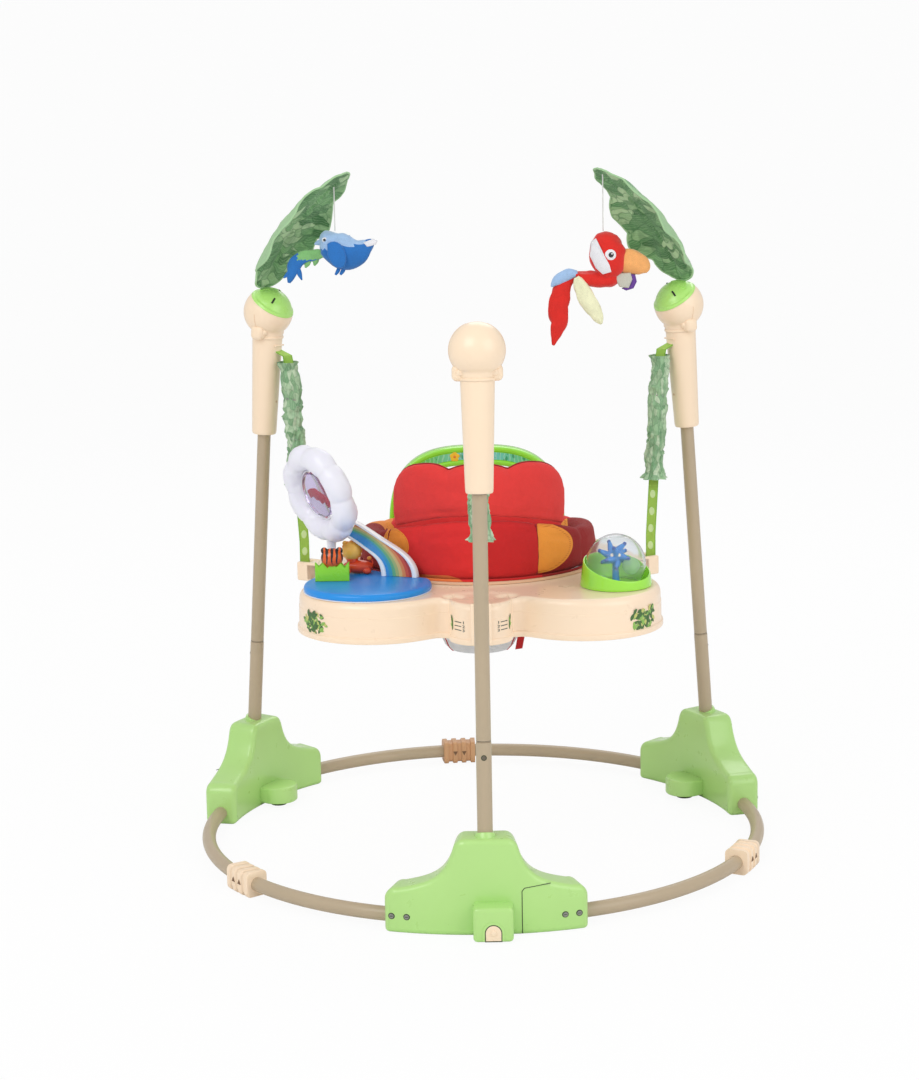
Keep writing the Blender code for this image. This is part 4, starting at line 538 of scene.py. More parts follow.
FOOT_WING_SEAM = [(0.0495, 0.003), (0.0495, 0.0675), (0.0530, 0.0722), (0.090, 0.0775)]
SCREW_HEIGHT = 0.027
PAD_Y = STAND_Y - 0.4055
for side, azimuth in SIDES.items():
    foot = slab(foot_outline(), 0.054, 0.0092, 6)
    sliced_along_x(foot, -0.146, 0.146, 26)
    bent(foot)
    add_solid(foot, soft_block((0.059, 0.0465, 0.052), (0.0095, STAND_Y - 0.48375, 0.027), 0.006))
    add_solid(foot, bullet(0.0165, 0.0035, 0.0325, 0.0016, -0.5072 + STAND_Y, 0.0007))
    add_solid(foot, rod(0.0165, (0, STAND_Y - 0.4555, 0.136), (0, STAND_Y - 0.4500, 0.1500),
                        40, 0.0150, 0.0012))
    # Painted shade: a dark bullet in the recess round the push button.
    add_solid(foot, bullet(0.0127, 0.0026, 0.0288, 0.0010, -0.5076 + STAND_Y, 0), 1)
    add_solid(foot, rod(0.0325, (0, PAD_Y, 0.008), (0, PAD_Y, 0.036), 48, edge=0.003))
    add_solid(foot, soft_block((0.065, 0.034, 0.0272), (0, PAD_Y - 0.017, 0.0218), 0.003))
    # Painted shade: a dark disc under the pad.
    add_solid(foot, rod(0.014, (0, PAD_Y, 0.0004), (0, PAD_Y, 0.0085), 28, edge=0.001), 1)
    # Painted shade: a dark ring round each screw head, and its dark cross slot.
    for x in (-0.134, -0.112, 0.1105, 0.131):
        for radius, depth, index in ((0.0048, 0.0004, 1), (0.0036, 0.0011, 2)):
            front = (x, -0.0270 - depth, SCREW_HEIGHT)
            head = rod(radius, (x, -0.0265, SCREW_HEIGHT), front, 20, edge=0.0002)
            bent(head)
            add_solid(foot, head, index)
        cross = soft_block((0.0046, 0.0006, 0.0009), (x, -0.0282, SCREW_HEIGHT), 0.0002, 1)
        bent(cross)
        add_solid(foot, cross, 1)
    for (x1, z1), (x2, z2) in zip(FOOT_WING_SEAM, FOOT_WING_SEAM[1:]):
        line = rod(0.0006, (x1, -0.0270, z1), (x2, -0.0270, z2), 8)
        sliced_along_x(line, x1 - 0.001, x2 + 0.001, 4)
        bent(line)
        add_solid(foot, line, 1)
    button = bullet(0.0123, 0.0032, 0.0283, 0.0112, -0.50265 + STAND_Y, 0.0016)
    add_solid(button, rod(0.0046, (0.0095, STAND_Y - 0.5070, 0.016),
                          (0.0095, STAND_Y - 0.5103, 0.016), 28, 0.0038, 0.0007))
    for solid in (foot, button):
        move(solid, about_stand(azimuth) @ Matrix.Translation((0, -STAND_Y, 0)))
    add_piece(f"foot_{side}", foot, [foot_green, seam_and_recess_shade, screw_steel], "stand",
              [f"foot_shell_{side}"])
    add_piece(f"push_button_{side}", button, peach, f"button_{side}",
              [f"foot_button_{side}"])

# The posts: two taupe tubes, the upper one swaged to plug into the lower, with a sprung pin
# that snaps out through a hole. They lean in by 4.5 degrees.

POST_LEAN = 4.52
PIN_HEIGHT = 0.117


def post_frame(azimuth):
    place = about_stand(azimuth) @ Matrix.Translation((0, -0.4505, FOOT_TOP))
    return place @ turned(-POST_LEAN, "X")


pin_steel = moulded("pin_steel", tone(120, 112, 100), 0.3, 0.05, metallic=0.9)
for side, azimuth in SIDES.items():
    lower = spun([
        (0.0098, 0.094), (0.0098, 0.1386), (0.0106, 0.1390), (0.0113, 0.1384), (0.0114, 0.1370),
        (0.0114, -0.0915), (0.0104, -0.092), (0, -0.092),
    ], 48, closed=False)
    # Painted shade: a dark disc where the pin's hole is.
    add_solid(lower, rod(0.0042, (0, -0.0108, PIN_HEIGHT), (0, -0.01155, PIN_HEIGHT), 20), 1)
    add_piece(f"post_lower_{side}", move(lower, post_frame(azimuth)), [taupe, seam_and_recess_shade], "stand",
              [f"lower_post_{side}"])
    upper = spun([
        (0, 0.6530), (0.0110, 0.6530), (0.0110, 0.1410), (0.0106, 0.1396), (0.0096, 0.1392),
        (0.0096, 0.0940), (0, 0.0935),
    ], 48, closed=False)
    pin = rod(0.0031, (0, -0.004, PIN_HEIGHT), (0, -0.0126, PIN_HEIGHT), 20, edge=0.0009)
    add_solid(upper, pin, 1)
    for height in (0.1405, 0.5015):
        add_solid(upper, rod(0.01106, (0, 0, height), (0, 0, height + 0.0009), 48), 1)
    add_piece(f"post_upper_{side}", move(upper, post_frame(azimuth)), [taupe, pin_steel],
              "stand", [f"upper_post_{side}"])

# The heads: peach mouldings, a cone that holds the post under a ball, with two strap ears and a
# slot on the side that faces in. Each is two halves, joined on a line that runs over the ball.

BALL_HEIGHT = 0.7092
BALL_RADIUS = 0.041
SOCKET_TILT = math.radians(30)
SOCKET_NORMAL = Vector((0, math.sin(SOCKET_TILT), math.cos(SOCKET_TILT)))
SOCKET_OFF = 0.0150


def head_profile():
    neck = math.degrees(math.asin(math.sqrt(BALL_RADIUS**2 - 0.0255**2) / BALL_RADIUS))
    points = arc((0, BALL_HEIGHT), BALL_RADIUS, 90, -neck + 8, 26)
    points[0] = (0.0, BALL_HEIGHT + BALL_RADIUS)
    points += bezier(points[-1], (0.0262, 0.6790), (0.0255, 0.6760), (0.0253, 0.6720), 6)[1:]
    return points + [
        (0.0250, 0.665), (0.0205, 0.5085), (0.0201, 0.5050), (0.0192, 0.5034), (0.0175, 0.5030),
        (0.0114, 0.5030), (0.0114, 0.5200),
    ]


head_line = moulded("head_parting", tone(224, 186, 148), 0.5, 0.05)
parting = [Vector((r + 0.0001, 0, z)) for r, z in head_profile() if r > 0.012]
for side, azimuth in SIDES.items():
    head = spun(head_profile(), 64, closed=False)
    if side != "front":
        cut = bmesh.ops.bisect_plane(
            head, geom=head.verts[:] + head.edges[:] + head.faces[:], clear_outer=True,
            plane_co=Vector((0, 0, BALL_HEIGHT)) + SOCKET_NORMAL * SOCKET_OFF,
            plane_no=SOCKET_NORMAL,
        )
        bmesh.ops.holes_fill(head, edges=only(cut["geom_cut"], "BMEdge"), sides=0)
    add_solid(head, soft_block((0.074, 0.023, 0.024), (0, 0, 0.677), 0.0075, 5))
    add_solid(head, soft_block((0.062, 0.030, 0.013), (0, 0, 0.6780), 0.0060, 4))
    add_solid(head,
              spun([(0.0257, 0.6655), (0.0268, 0.6665), (0.0268, 0.6690), (0.0257, 0.6700)], 64))
    top = 0.712 if side != "front" else 1.0
    for turned_by in (0, 180):
        for first, second in zip(parting, parting[1:]):
            if (second - first).length > 1e-4 and 0.51 < second.z and first.z < top:
                add_solid(head, move(rod(0.00035, first, second, 6), turned(turned_by)), 1)
    # Painted shade: the slot on the side that faces in is a dark block.
    add_solid(head, soft_block((0.0185, 0.003, 0.0060), (0, 0.0216, 0.6500), 0.0012, 2), 2)
    add_solid(head, soft_block((0.026, 0.0036, 0.0024), (0, 0.0238, 0.6550), 0.0010, 3))
    add_solid(head, rod(0.0020, (0, 0.0200, 0.560), (0, 0.02235, 0.560), 20), 1)
    add_piece(f"head_{side}", move(head, post_frame(azimuth)), [peach, head_line, seam_and_recess_shade],
              "stand", [f"post_head_{side}"])

# The leaf sockets: lime domes pressed into the two rear balls, tilted in, each with a raised
# lid and a dark slot that takes the leaf's rod, drawn as thin strips of painted shade.

lime = moulded("lime_plastic", tone(178, 234, 120), 0.28, 0.07, coat=0.35)
slot_shade = moulded("slot_shade", tone(34, 42, 30), 0.6, 0.02)
SLOT_MARKS = {"left": ((23, 53), (210, 60)), "right": ((157, 53), (330, 60))}
for side, marks in SLOT_MARKS.items():
    turn = Vector((0, 0, 1)).rotation_difference(SOCKET_NORMAL).to_matrix().to_4x4()
    seat = Matrix.Translation((0, 0, BALL_HEIGHT)) @ turn
    low = math.degrees(math.asin((SOCKET_OFF + 0.0004) / 0.0413))
    rim = arc((0, 0), 0.0416, low, low + 6, 3)
    profile = [(0.0, SOCKET_OFF + 0.0004)] + rim + arc((0, 0), 0.0398, low + 9, 90, 22)
    profile[-1] = (0.0, 0.0398)
    dome = spun(profile, 64, closed=False)
    lid = spun(arc((0, 0), 0.0408, 42, 66, 9) + arc((0, 0), 0.0396, 66, 42, 9), 14, 105)
    add_solid(dome, move(lid, turned(200)))
    # Painted shade: each slot is a thin dark strip on the dome.
    for spin_by, climb in marks:
        mark = soft_block((0.0115, 0.0030, 0.0016), (0, 0, 0), 0.0007, 2)
        up = math.radians(climb)
        spot = Vector((math.cos(up), 0, math.sin(up))) * 0.0401
        lie = Matrix.Translation(spot) @ turned(90 - climb, "Y")
        add_solid(dome, move(mark, turned(spin_by) @ lie), 1)
    add_piece(f"socket_dome_{side}", move(dome, post_frame(SIDES[side]) @ seat),
              [lime, slot_shade], "stand", [f"leaf_socket_{side}"])

# The straps: lime webbing, 17 mm wide, with five sewn eyelets that set the tray's height. Each
# comes out of its head, runs down through the spring and drops over a peg on the tray.

HANG_TOP = (0.357, 0.772)
HANG_FOOT = (0.3362, 0.470)
STRAP_TURN = {"front": 0.0, "left": -30.0, "right": 30.0}


def hang_radius(height):
    share = (height - HANG_FOOT[1]) / (HANG_TOP[1] - HANG_FOOT[1])
    return HANG_FOOT[0] + share * (HANG_TOP[0] - HANG_FOOT[0])


def cloth_weave():
    """Woven cloth or webbing on the piece's own map: crossing threads and uneven dye."""
    wanted = {"Colour": "Color", "Threads": "Float", "Depth": "Float", "Wrinkle": "Float"}
    tree, given, out = new_group("cloth_weave", wanted, SKIN)
    coordinates = tree.nodes.new("ShaderNodeTexCoord")
    place = coordinates.outputs["Object"]
    apart = tree.nodes.new("ShaderNodeSeparateXYZ")
    tree.links.new(coordinates.outputs["UV"], apart.inputs[0])
    waves = [
        math_node(tree, "SINE", times(tree, apart.outputs[axis], given.outputs["Threads"]))
        for axis in ("X", "Y")
    ]
    crossed = times(tree, *waves)
    shade = about(tree, noisy(tree, place, 24, 5.0, Roughness=0.6), 0.22)
    fibre = noisy(tree, place, 700, 2.0)
    thread = plus(tree, times(tree, crossed, 0.05), 1.0)
    total = plus(tree, plus(tree, shade, about(tree, fibre, 0.16)), thread)
    crumple = noisy(tree, place, 46, 4.0, Roughness=0.55)
    folded = bump_of(tree, times(tree, crumple, given.outputs["Wrinkle"]), 0.004, 0.6)
    relief = times(tree, plus(tree, crossed, fibre), given.outputs["Depth"])
    rough = plus(tree, times(tree, fibre, 0.15), 0.78)
    normal = bump_of(tree, relief, 0.0003, 0.7, folded)
    return finish_skin(tree, given, out, total, rough, normal)


WEAVE = cloth_weave()


def woven(name, colour, threads=3200.0, depth=1.0, wrinkle=1.0, sheen=0.15, source=None):
    """A cloth material."""
    given = {"Colour": colour, "Threads": threads, "Depth": depth, "Wrinkle": wrinkle}
    finish = {"Sheen Weight": sheen, "Sheen Roughness": 0.5}
    return skinned(name, WEAVE, given, finish, source)


def map_faces(bm, place_of):
    """Give each corner a place on the piece's own map, in metres."""
    layer = bm.loops.layers.uv.verify()
    for face in bm.faces:
        for loop in face.loops:
            loop[layer].uv = place_of(loop.vert.co)


webbing = woven("lime_webbing", tone(174, 222, 94), 5200.0, 1.6, 0.25)
webbing_edge = woven("webbing_edge", tone(136, 196, 66), 5200.0, 1.2, 0.2)
eyelet = moulded("pale_eyelet", tone(206, 236, 170), 0.45, 0.05)
STRAP_ACROSS = (-1, -0.86, -0.45, 0, 0.45, 0.86, 1)
STRAP_FOOT = 0.4095
SLEEVE_FOOT = 0.566


def strap_route():
    """The strap's radius, height and share of its final turn, from its head to its foot."""
    slot = post_frame(0) @ Vector((0, 0.0130, 0.645))
    out = STAND_Y - slot.y
    route = [
        (out, slot.z + 0.001, 0.0), (out - 0.008, slot.z + 0.002, 0.15),
        (out - 0.014, slot.z - 0.001, 0.5), (0.3588, 0.782, 0.9),
    ]
    heights = [HANG_TOP[1] + (SLEEVE_FOOT - HANG_TOP[1]) * i / 12 for i in range(13)]
    heights += [SLEEVE_FOOT + (STRAP_FOOT - SLEEVE_FOOT) * i / 34 for i in range(1, 35)]
    return route + [(hang_radius(max(height, HANG_FOOT[1])), height, 1.0) for height in heights]


for side, azimuth in SIDES.items():
    strap = bmesh.new()
    rows = []
    for radius, height, share in strap_route():
        turn = math.radians(STRAP_TURN[side] * share)
        across = Vector((math.cos(turn), math.sin(turn), 0)) * 0.0086
        middle = Vector((0, -radius, height))
        rows.append([strap.verts.new(middle + across * k) for k in STRAP_ACROSS])
    for first, second in zip(rows, rows[1:]):
        for k in range(6):
            face = strap.faces.new((first[k], first[k + 1], second[k + 1], second[k]))
            face.material_index = 1 if k in (0, 5) else 0
    bmesh.ops.recalc_face_normals(strap, faces=strap.faces)
    bmesh.ops.solidify(strap, geom=strap.faces[:], thickness=0.0015)
    map_faces(strap, lambda co: (co.x, co.z))
    for i in range(5):
        height = 0.4230 + 0.029 * i
        place = Matrix.Translation((0, -hang_radius(max(height, HANG_FOOT[1])), height))
        place @= turned(STRAP_TURN[side]) @ turned(90, "X")
        hem = [(0.0046 + 0.0009 * x, 0.0011 * z) for x, z in arc((0, 0), 1, 0, 315, 8)]
        ring = spun(hem, 24)
        bmesh.ops.scale(ring, vec=(0.90, 1.28, 1), verts=ring.verts)
        core = rod(1.0, (0, 0, -0.00085), (0, 0, 0.00085), 24)
        bmesh.ops.scale(core, vec=(0.0040, 0.0057, 1), verts=core.verts)
        for solid in (ring, core):
            add_solid(strap, move(solid, place), 2)
    band = add_piece(f"webbing_{side}", move(strap, about_stand(azimuth)),
                     [webbing, webbing_edge, eyelet], None, [f"strap_{side}"])
    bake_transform(band)

# The springs: bright steel wire, wound round the strap and hidden by the sleeve. Their hooks
# hold the webbing at the top and let it pull down as the child bounces.

COIL_TURNS = 14
COIL_STEPS = 16


def curve_solid(curve):
    """The surface of a curve or of a text, as a shape."""
    holder = linked("curve", curve)
    bpy.context.view_layer.update()
    shown = holder.evaluated_get(bpy.context.evaluated_depsgraph_get())
    mesh = bpy.data.meshes.new_from_object(shown)
    bm = bmesh.new()
    bm.from_mesh(mesh)
    bpy.data.objects.remove(holder)
    bpy.data.meshes.remove(mesh)
    return bm


def wire_solid(points, radius, resolution=2):
    """A round wire along points, as a closed solid."""
    curve = bpy.data.curves.new("wire", "CURVE")
    curve.dimensions = "3D"
    curve.bevel_depth = radius
    curve.bevel_resolution = resolution
    curve.use_fill_caps = True
    spline = curve.splines.new("POLY")
    spline.points.add(len(points) - 1)
    for knot, point in zip(spline.points, points):
        knot.co = (*point, 1)
    bm = curve_solid(curve)
    bmesh.ops.remove_doubles(bm, verts=bm.verts, dist=1e-7)
    return bm


spring_steel = moulded("spring_steel", tone(190, 190, 188), 0.28, 0.05, metallic=1.0)
for side, azimuth in SIDES.items():
    coil = []
    for i in range(COIL_TURNS * COIL_STEPS + 1):
        height = 0.755 - 0.155 * i / (COIL_TURNS * COIL_STEPS)
        turn = math.tau * i / COIL_STEPS
        coil.append((0.0106 * math.cos(turn), 0.0106 * math.sin(turn) - hang_radius(height),
                     height))
    spring = move(wire_solid(coil, 0.0009), about_stand(azimuth))
    coil_piece = add_piece(f"coil_{side}", spring, spring_steel, None,
                           [f"spring_{side}"])
    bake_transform(coil_piece)

# The sleeves: printed cotton tubes, gathered by rows of elastic so that they stretch with the
# springs, and ending in a loose frill. The print is plain leaves in three greens.

PRINT_SCALE = 62
LEAF_GREENS = ((0, (142, 186, 140)), (0.28, (186, 216, 176)), (0.52, (160, 201, 154)),
               (0.72, (208, 230, 196)), (0.88, (118, 166, 118)))
SLEEVE_ROWS = 8
SLEEVE_ROUNDS = 44
SLEEVE_LEVELS = 112


def ramp_of(tree, value, stops, interpolation="LINEAR"):
    """A colour ramp's colour. stops are places on the ramp and their screen colours."""
    node = tree.nodes.new("ShaderNodeValToRGB")
    node.color_ramp.interpolation = interpolation
    tree.links.new(value, node.inputs["Fac"])
    found = node.color_ramp.elements
    found.remove(found[1])
    found[0].position, found[0].color = stops[0][0], tone(*stops[0][1])
    for position, colour in stops[1:]:
        found.new(position).color = tone(*colour)
    return node.outputs["Color"]


def leaf_inks(tree):
    """Overlapping leaves in three greens with pale veins, on the piece's own map."""
    place = tree.nodes.new("ShaderNodeTexCoord").outputs["UV"]
    bend = textured(tree, "ShaderNodeTexNoise", place, Scale=18, Detail=2.0)
    bent_place = tree.nodes.new("ShaderNodeVectorMath")
    bent_place.operation = "MULTIPLY_ADD"
    bent_place.inputs[1].default_value = (0.034, 0.034, 0)
    tree.links.new(bend.outputs["Color"], bent_place.inputs[0])
    tree.links.new(place, bent_place.inputs[2])
    shaped = tree.nodes.new("ShaderNodeMapping")
    shaped.inputs["Scale"].default_value = (1.0, 0.55, 1.0)
    shaped.inputs["Rotation"].default_value = (0, 0, 0.7)
    tree.links.new(bent_place.outputs[0], shaped.inputs["Vector"])
    cell, rim = (
        textured(tree, "ShaderNodeTexVoronoi", shaped.outputs[0],
                 Scale=PRINT_SCALE) for _ in range(2)
    )
    rim.feature = "DISTANCE_TO_EDGE"
    parted = tree.nodes.new("ShaderNodeSeparateColor")
    tree.links.new(cell.outputs["Color"], parted.inputs[0])
    green = ramp_of(tree, parted.outputs[0], LEAF_GREENS, "CONSTANT")
    veins = textured(tree, "ShaderNodeTexWave", bent_place.outputs[0], Scale=62, Distortion=3.5,
                     Detail=1.5).outputs["Fac"]
    fine = times(tree, math_node(tree, "GREATER_THAN", veins, 0.80), 0.34)
    veined = mixed(tree, fine, green, tone(206, 230, 196))
    edge = times(tree, math_node(tree, "LESS_THAN", rim.outputs["Distance"], 0.050), 0.36)
    inked = mixed(tree, edge, veined, tone(98, 148, 104))
    wash = noisy(tree, place, 34, 3.0, Distortion=1.2)
    deep = about(tree, wash, 2.6, 0.46, clamp=True)
    return mixed(tree, times(tree, deep, 0.62), inked, tone(96, 148, 104))


LEAF_PRINT, _, printed = new_group("leaf_print", {}, {"Colour": "Color"})
LEAF_PRINT.links.new(leaf_inks(LEAF_PRINT), printed.inputs["Colour"])


def leaf_print(tree):
    node = tree.nodes.new("ShaderNodeGroup")
    node.node_tree = LEAF_PRINT
    return node.outputs["Colour"]


def wide_round(turns):
    """The turns of one face's corners, kept together where the face spans the seam."""
    wide = max(turns) - min(turns) > math.pi
    return [turn + (math.tau if wide and turn < 0 else 0) for turn in turns]


def sleeve_point(turn, share, index):
    """A place on a sleeve, in front of the stand's axis: round it, and down it from 0 to 1."""
    beat = share * SLEEVE_ROWS + 0.9 * noise.noise(Vector((share * 4.3, index * 7.0, 0.5)))
    puff = abs(math.sin(math.pi * beat)) ** 0.7
    puff *= 0.75 + 0.5 * noise.noise(Vector((share * 5.1, index * 3.0, 4.0)))
    spot = Vector((math.cos(turn) * 2.2, math.sin(turn) * 2.2, beat * 1.6 + index * 9))
    fold = math.sin(9 * turn + 5.0 * noise.noise(spot * 0.6) + 2.6 * math.floor(beat + 0.5))
    radius = 0.0126 + 0.0052 * puff * (0.7 + 0.9 * noise.noise(spot))
    radius += 0.0017 * fold * (1.15 - puff * 0.4) + 0.0011 * noise.noise(spot * 3.4)
    radius += 0.0009 * noise.noise(Vector((spot.x * 4, spot.y * 4, beat * 2.6)))
    frill = max(0.0, share - 0.955) / 0.045
    radius += frill * (0.0062 + 0.0036 * math.sin(7 * turn + index))
    radius += 0.0018 * max(0.0, 0.02 - share) / 0.02
    tilt = 0.0016 * math.sin(2.3 * beat + turn) * min(1.0, 9 * share, 9 * (1 - share))
    height = HANG_TOP[1] + (SLEEVE_FOOT - HANG_TOP[1]) * share + tilt
    sway = 0.0022 * math.sin(1.9 * beat + index)
    return radius * math.cos(turn) + sway, radius * math.sin(turn) - hang_radius(height), height


print_cloth = woven("leaf_print_cloth", (1, 1, 1, 1), 4200.0, 0.8, 0.9, source=leaf_print)
for index, (side, azimuth) in enumerate(SIDES.items()):
    sleeve = bmesh.new()
    bmesh.ops.create_circle(sleeve, segments=SLEEVE_ROUNDS, radius=1.0)
    edges = sleeve.edges[:]
    for _ in range(SLEEVE_LEVELS):
        grown = bmesh.ops.extrude_edge_only(sleeve, edges=edges)["geom"]
        edges = only(grown, "BMEdge")
        bmesh.ops.translate(sleeve, vec=(0, 0, -1), verts=only(grown, "BMVert"))
    layer = sleeve.loops.layers.uv.verify()
    for face in sleeve.faces:
        corners = [loop.vert.co for loop in face.loops]
        turns = wide_round([math.atan2(corner.y, corner.x) for corner in corners])
        for loop, turn in zip(face.loops, turns):
            down = loop.vert.co.z / SLEEVE_LEVELS
            loop[layer].uv = (turn * 0.030 + index * 0.31, down * 0.34)
    for vert in sleeve.verts:
        turn = math.atan2(vert.co.y, vert.co.x)
        vert.co = sleeve_point(turn, -vert.co.z / SLEEVE_LEVELS, index)
    bmesh.ops.recalc_face_normals(sleeve, faces=sleeve.faces)
    move(sleeve, about_stand(azimuth))
    area = sum(face.calc_area() for face in sleeve.faces)
    cover = add_piece(f"spring_cover_{side}", sleeve, print_cloth, None,
                      [f"sleeve_{side}"], crease=180)
    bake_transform(cover)

# The leaves: two layers of the print, lightly filled, quilted along a midrib and side veins,
# and bound round their scalloped rim. A rod in the midrib stands in the lime socket.

LEAF_TIP = (0.234, 1.082)
LEAF_BOW = (0.362, 1.005)
LEAF_BASE = 0.398
LEAF_SCALLOPS = 9


def leaf_place(share):
    """A place on the leaf's midrib, from the lime dome to the tip, and the way up from it."""
    centre = post_frame(0) @ Vector((0, 0, BALL_HEIGHT))
    aside = LEAF_BASE + centre.y - STAND_Y
    base = (LEAF_BASE, centre.z + math.sqrt(0.0388**2 - aside**2) + 0.0006)
    s, t = 1 - share, share
    point = [s * s * base[k] + 2 * s * t * LEAF_BOW[k] + t * t * LEAF_TIP[k] for k in (0, 1)]
    along = [2 * s * (LEAF_BOW[k] - base[k]) + 2 * t * (LEAF_TIP[k] - LEAF_BOW[k]) for k in (0, 1)]
    length = math.hypot(*along)
    return Vector((0, -point[0], point[1])), Vector((0, -along[1] / length, -along[0] / length))


def leaf_point(along, across, up, seed):
    """Where a spot of the flat leaf lies: along and across from -1 to 1."""
    angle = math.atan2(across, along)
    away = max(0.0, min(1.0, (0.97 - abs(along)) / 0.25))
    scallop = 1 - 0.10 * away * (1 - abs(math.cos(LEAF_SCALLOPS * angle / 2)))
    blunt = abs(across) ** (1 - 0.16 * max(0.0, along)) * (1 if across > 0 else -1)
    a, c = along * scallop, blunt * scallop * (1 - 0.22 * along)
    point, outward = leaf_place((1 + a) / 2)
    reach = min(1.0, math.hypot(along, across))
    crease = 1 - 0.45 * math.exp(-((c / 0.07) ** 2))
    vein = abs(math.sin(math.pi * (a * 3.6 - abs(c) * 1.5)))
    quilt = crease * (0.72 + 0.28 * vein**0.6)
    ripple = 0.0022 * noise.noise(Vector((a * 3.1, c * 3.1, seed))) * reach
    ripple += 0.0011 * noise.noise(Vector((a * 9, c * 9, seed + 4)))
    ruffle = 0.0035 * away * math.sin(LEAF_SCALLOPS * angle) * max(0.0, reach - 0.72) / 0.28
    rise = up * 0.0068 * quilt + 0.002 - 0.010 * c * c
    rise += ripple + ruffle - 0.058 * max(0.0, abs(c) - 0.5) ** 2
    return point + outward * rise + Vector((c * 0.073, 0, 0))


def shaded_print(tree):
    """The underside's print, made a deeper green as painted shade."""
    deeper = tree.nodes.new("ShaderNodeGamma")
    deeper.inputs["Gamma"].default_value = 1.7
    tree.links.new(leaf_print(tree), deeper.inputs["Color"])
    return deeper.outputs[0]


# The pale band on the top side's edges is partly a pale border and partly painted light where the
# cloth curls up to face the light. The rim and midrib cords are the binding.
binding_and_lit_band = woven("leaf_binding_and_lit_band", tone(164, 204, 154), 4200.0, 0.8, 0.6)
# Painted shade: the underside is the same print, darker.
under_cloth_shade = woven("leaf_under_painted_shade", (1, 1, 1, 1), 4200.0, 0.8, 1.1, source=shaded_print)
for index, side in enumerate(("left", "right")):
    seed = index * 7.3
    leaf = bmesh.new()
    bmesh.ops.create_uvsphere(leaf, u_segments=144, v_segments=22, radius=1.0)
    layer = leaf.loops.layers.uv.verify()
    for face in leaf.faces:
        for loop in face.loops:
            co = loop.vert.co
            loop[layer].uv = (co.x * 0.135 + 0.2 * index, co.y * 0.078 + (0.4 if co.z < 0 else 0.0))
        middle = face.calc_center_median()
        if middle.z < 0:
            face.material_index = 2
        elif abs(middle.y) > 0.66:
            face.material_index = 1
    for vert in leaf.verts:
        vert.co = leaf_point(*vert.co, seed)
    rim = [leaf_point(x, y, 0.0, seed) for x, y in arc((0, 0), 1, 0, 360, 181)]
    add_solid(leaf, wire_solid(rim, 0.0017), 1)
    rib = [leaf_point(-0.98 + 1.86 * i / 40, 0.0, 0.86, seed) for i in range(41)]
    add_solid(leaf, wire_solid(rib, 0.0011), 1)
    move(leaf, about_stand(SIDES[side]))
    pad = add_piece(f"leaf_pad_{side}", leaf, [print_cloth, binding_and_lit_band, under_cloth_shade], "stand",
                    [f"leaf_{side}"], crease=180)

# The hanging toys: short-pile stuffed birds on white cord. The left one is a blue songbird with
# a green tail, the right one a red parrot with a cream wing and a felt face.


def pile_skin():
    """Short plush: soft mottling and a fine pile."""
    tree, given, out = new_group("pile_skin", {"Colour": "Color", "Mottle": "Float"}, SKIN)
    place = tree.nodes.new("ShaderNodeTexCoord").outputs["Object"]
    mottle = noisy(tree, place, 60, 4.0, Roughness=0.7)
    pile = textured(tree, "ShaderNodeTexVoronoi", place, Scale=900).outputs["Distance"]
    shift = about(tree, mottle, given.outputs["Mottle"])
    value = plus(tree, plus(tree, 1.0, shift), about(tree, 0.45, 0.22, pile))
    rough = plus(tree, 0.86, times(tree, mottle, 0.1))
    soft = bump_of(tree, mottle, 0.0012, 0.5)
    return finish_skin(tree, given, out, value, rough, bump_of(tree, pile, 0.0004, 0.6, soft))


PILE = pile_skin()


def plush(name, colour, mottle=0.3, sheen=0.4):
    finish = {"Sheen Weight": sheen, "Sheen Roughness": 0.4}
    return skinned(name, PILE, {"Colour": colour, "Mottle": mottle}, finish)


def swing_point(side):
    """The top of a toy's cord, and the cord's length."""
    low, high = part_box(f"string_{side}")
    return Vector(((low.x + high.x) / 2, (low.y + high.y) / 2, high.z)), high.z - low.z


def lofted(rings, closed=False):
    """A solid through rings of equally many points, with flat ends or closed on itself."""
    bm = bmesh.new()
    rounds = [[bm.verts.new(point) for point in ring] for ring in rings]
    loops = [[bm.edges.new((ring[k - 1], ring[k])) for k in range(len(ring))] for ring in rounds]
    for first, second in zip(loops, loops[1:] + loops[:1] if closed else loops[1:]):
        bmesh.ops.bridge_loops(bm, edges=first + second)
    if not closed:
        bm.faces.new(rounds[0])
        bm.faces.new(rounds[-1])
    return bm


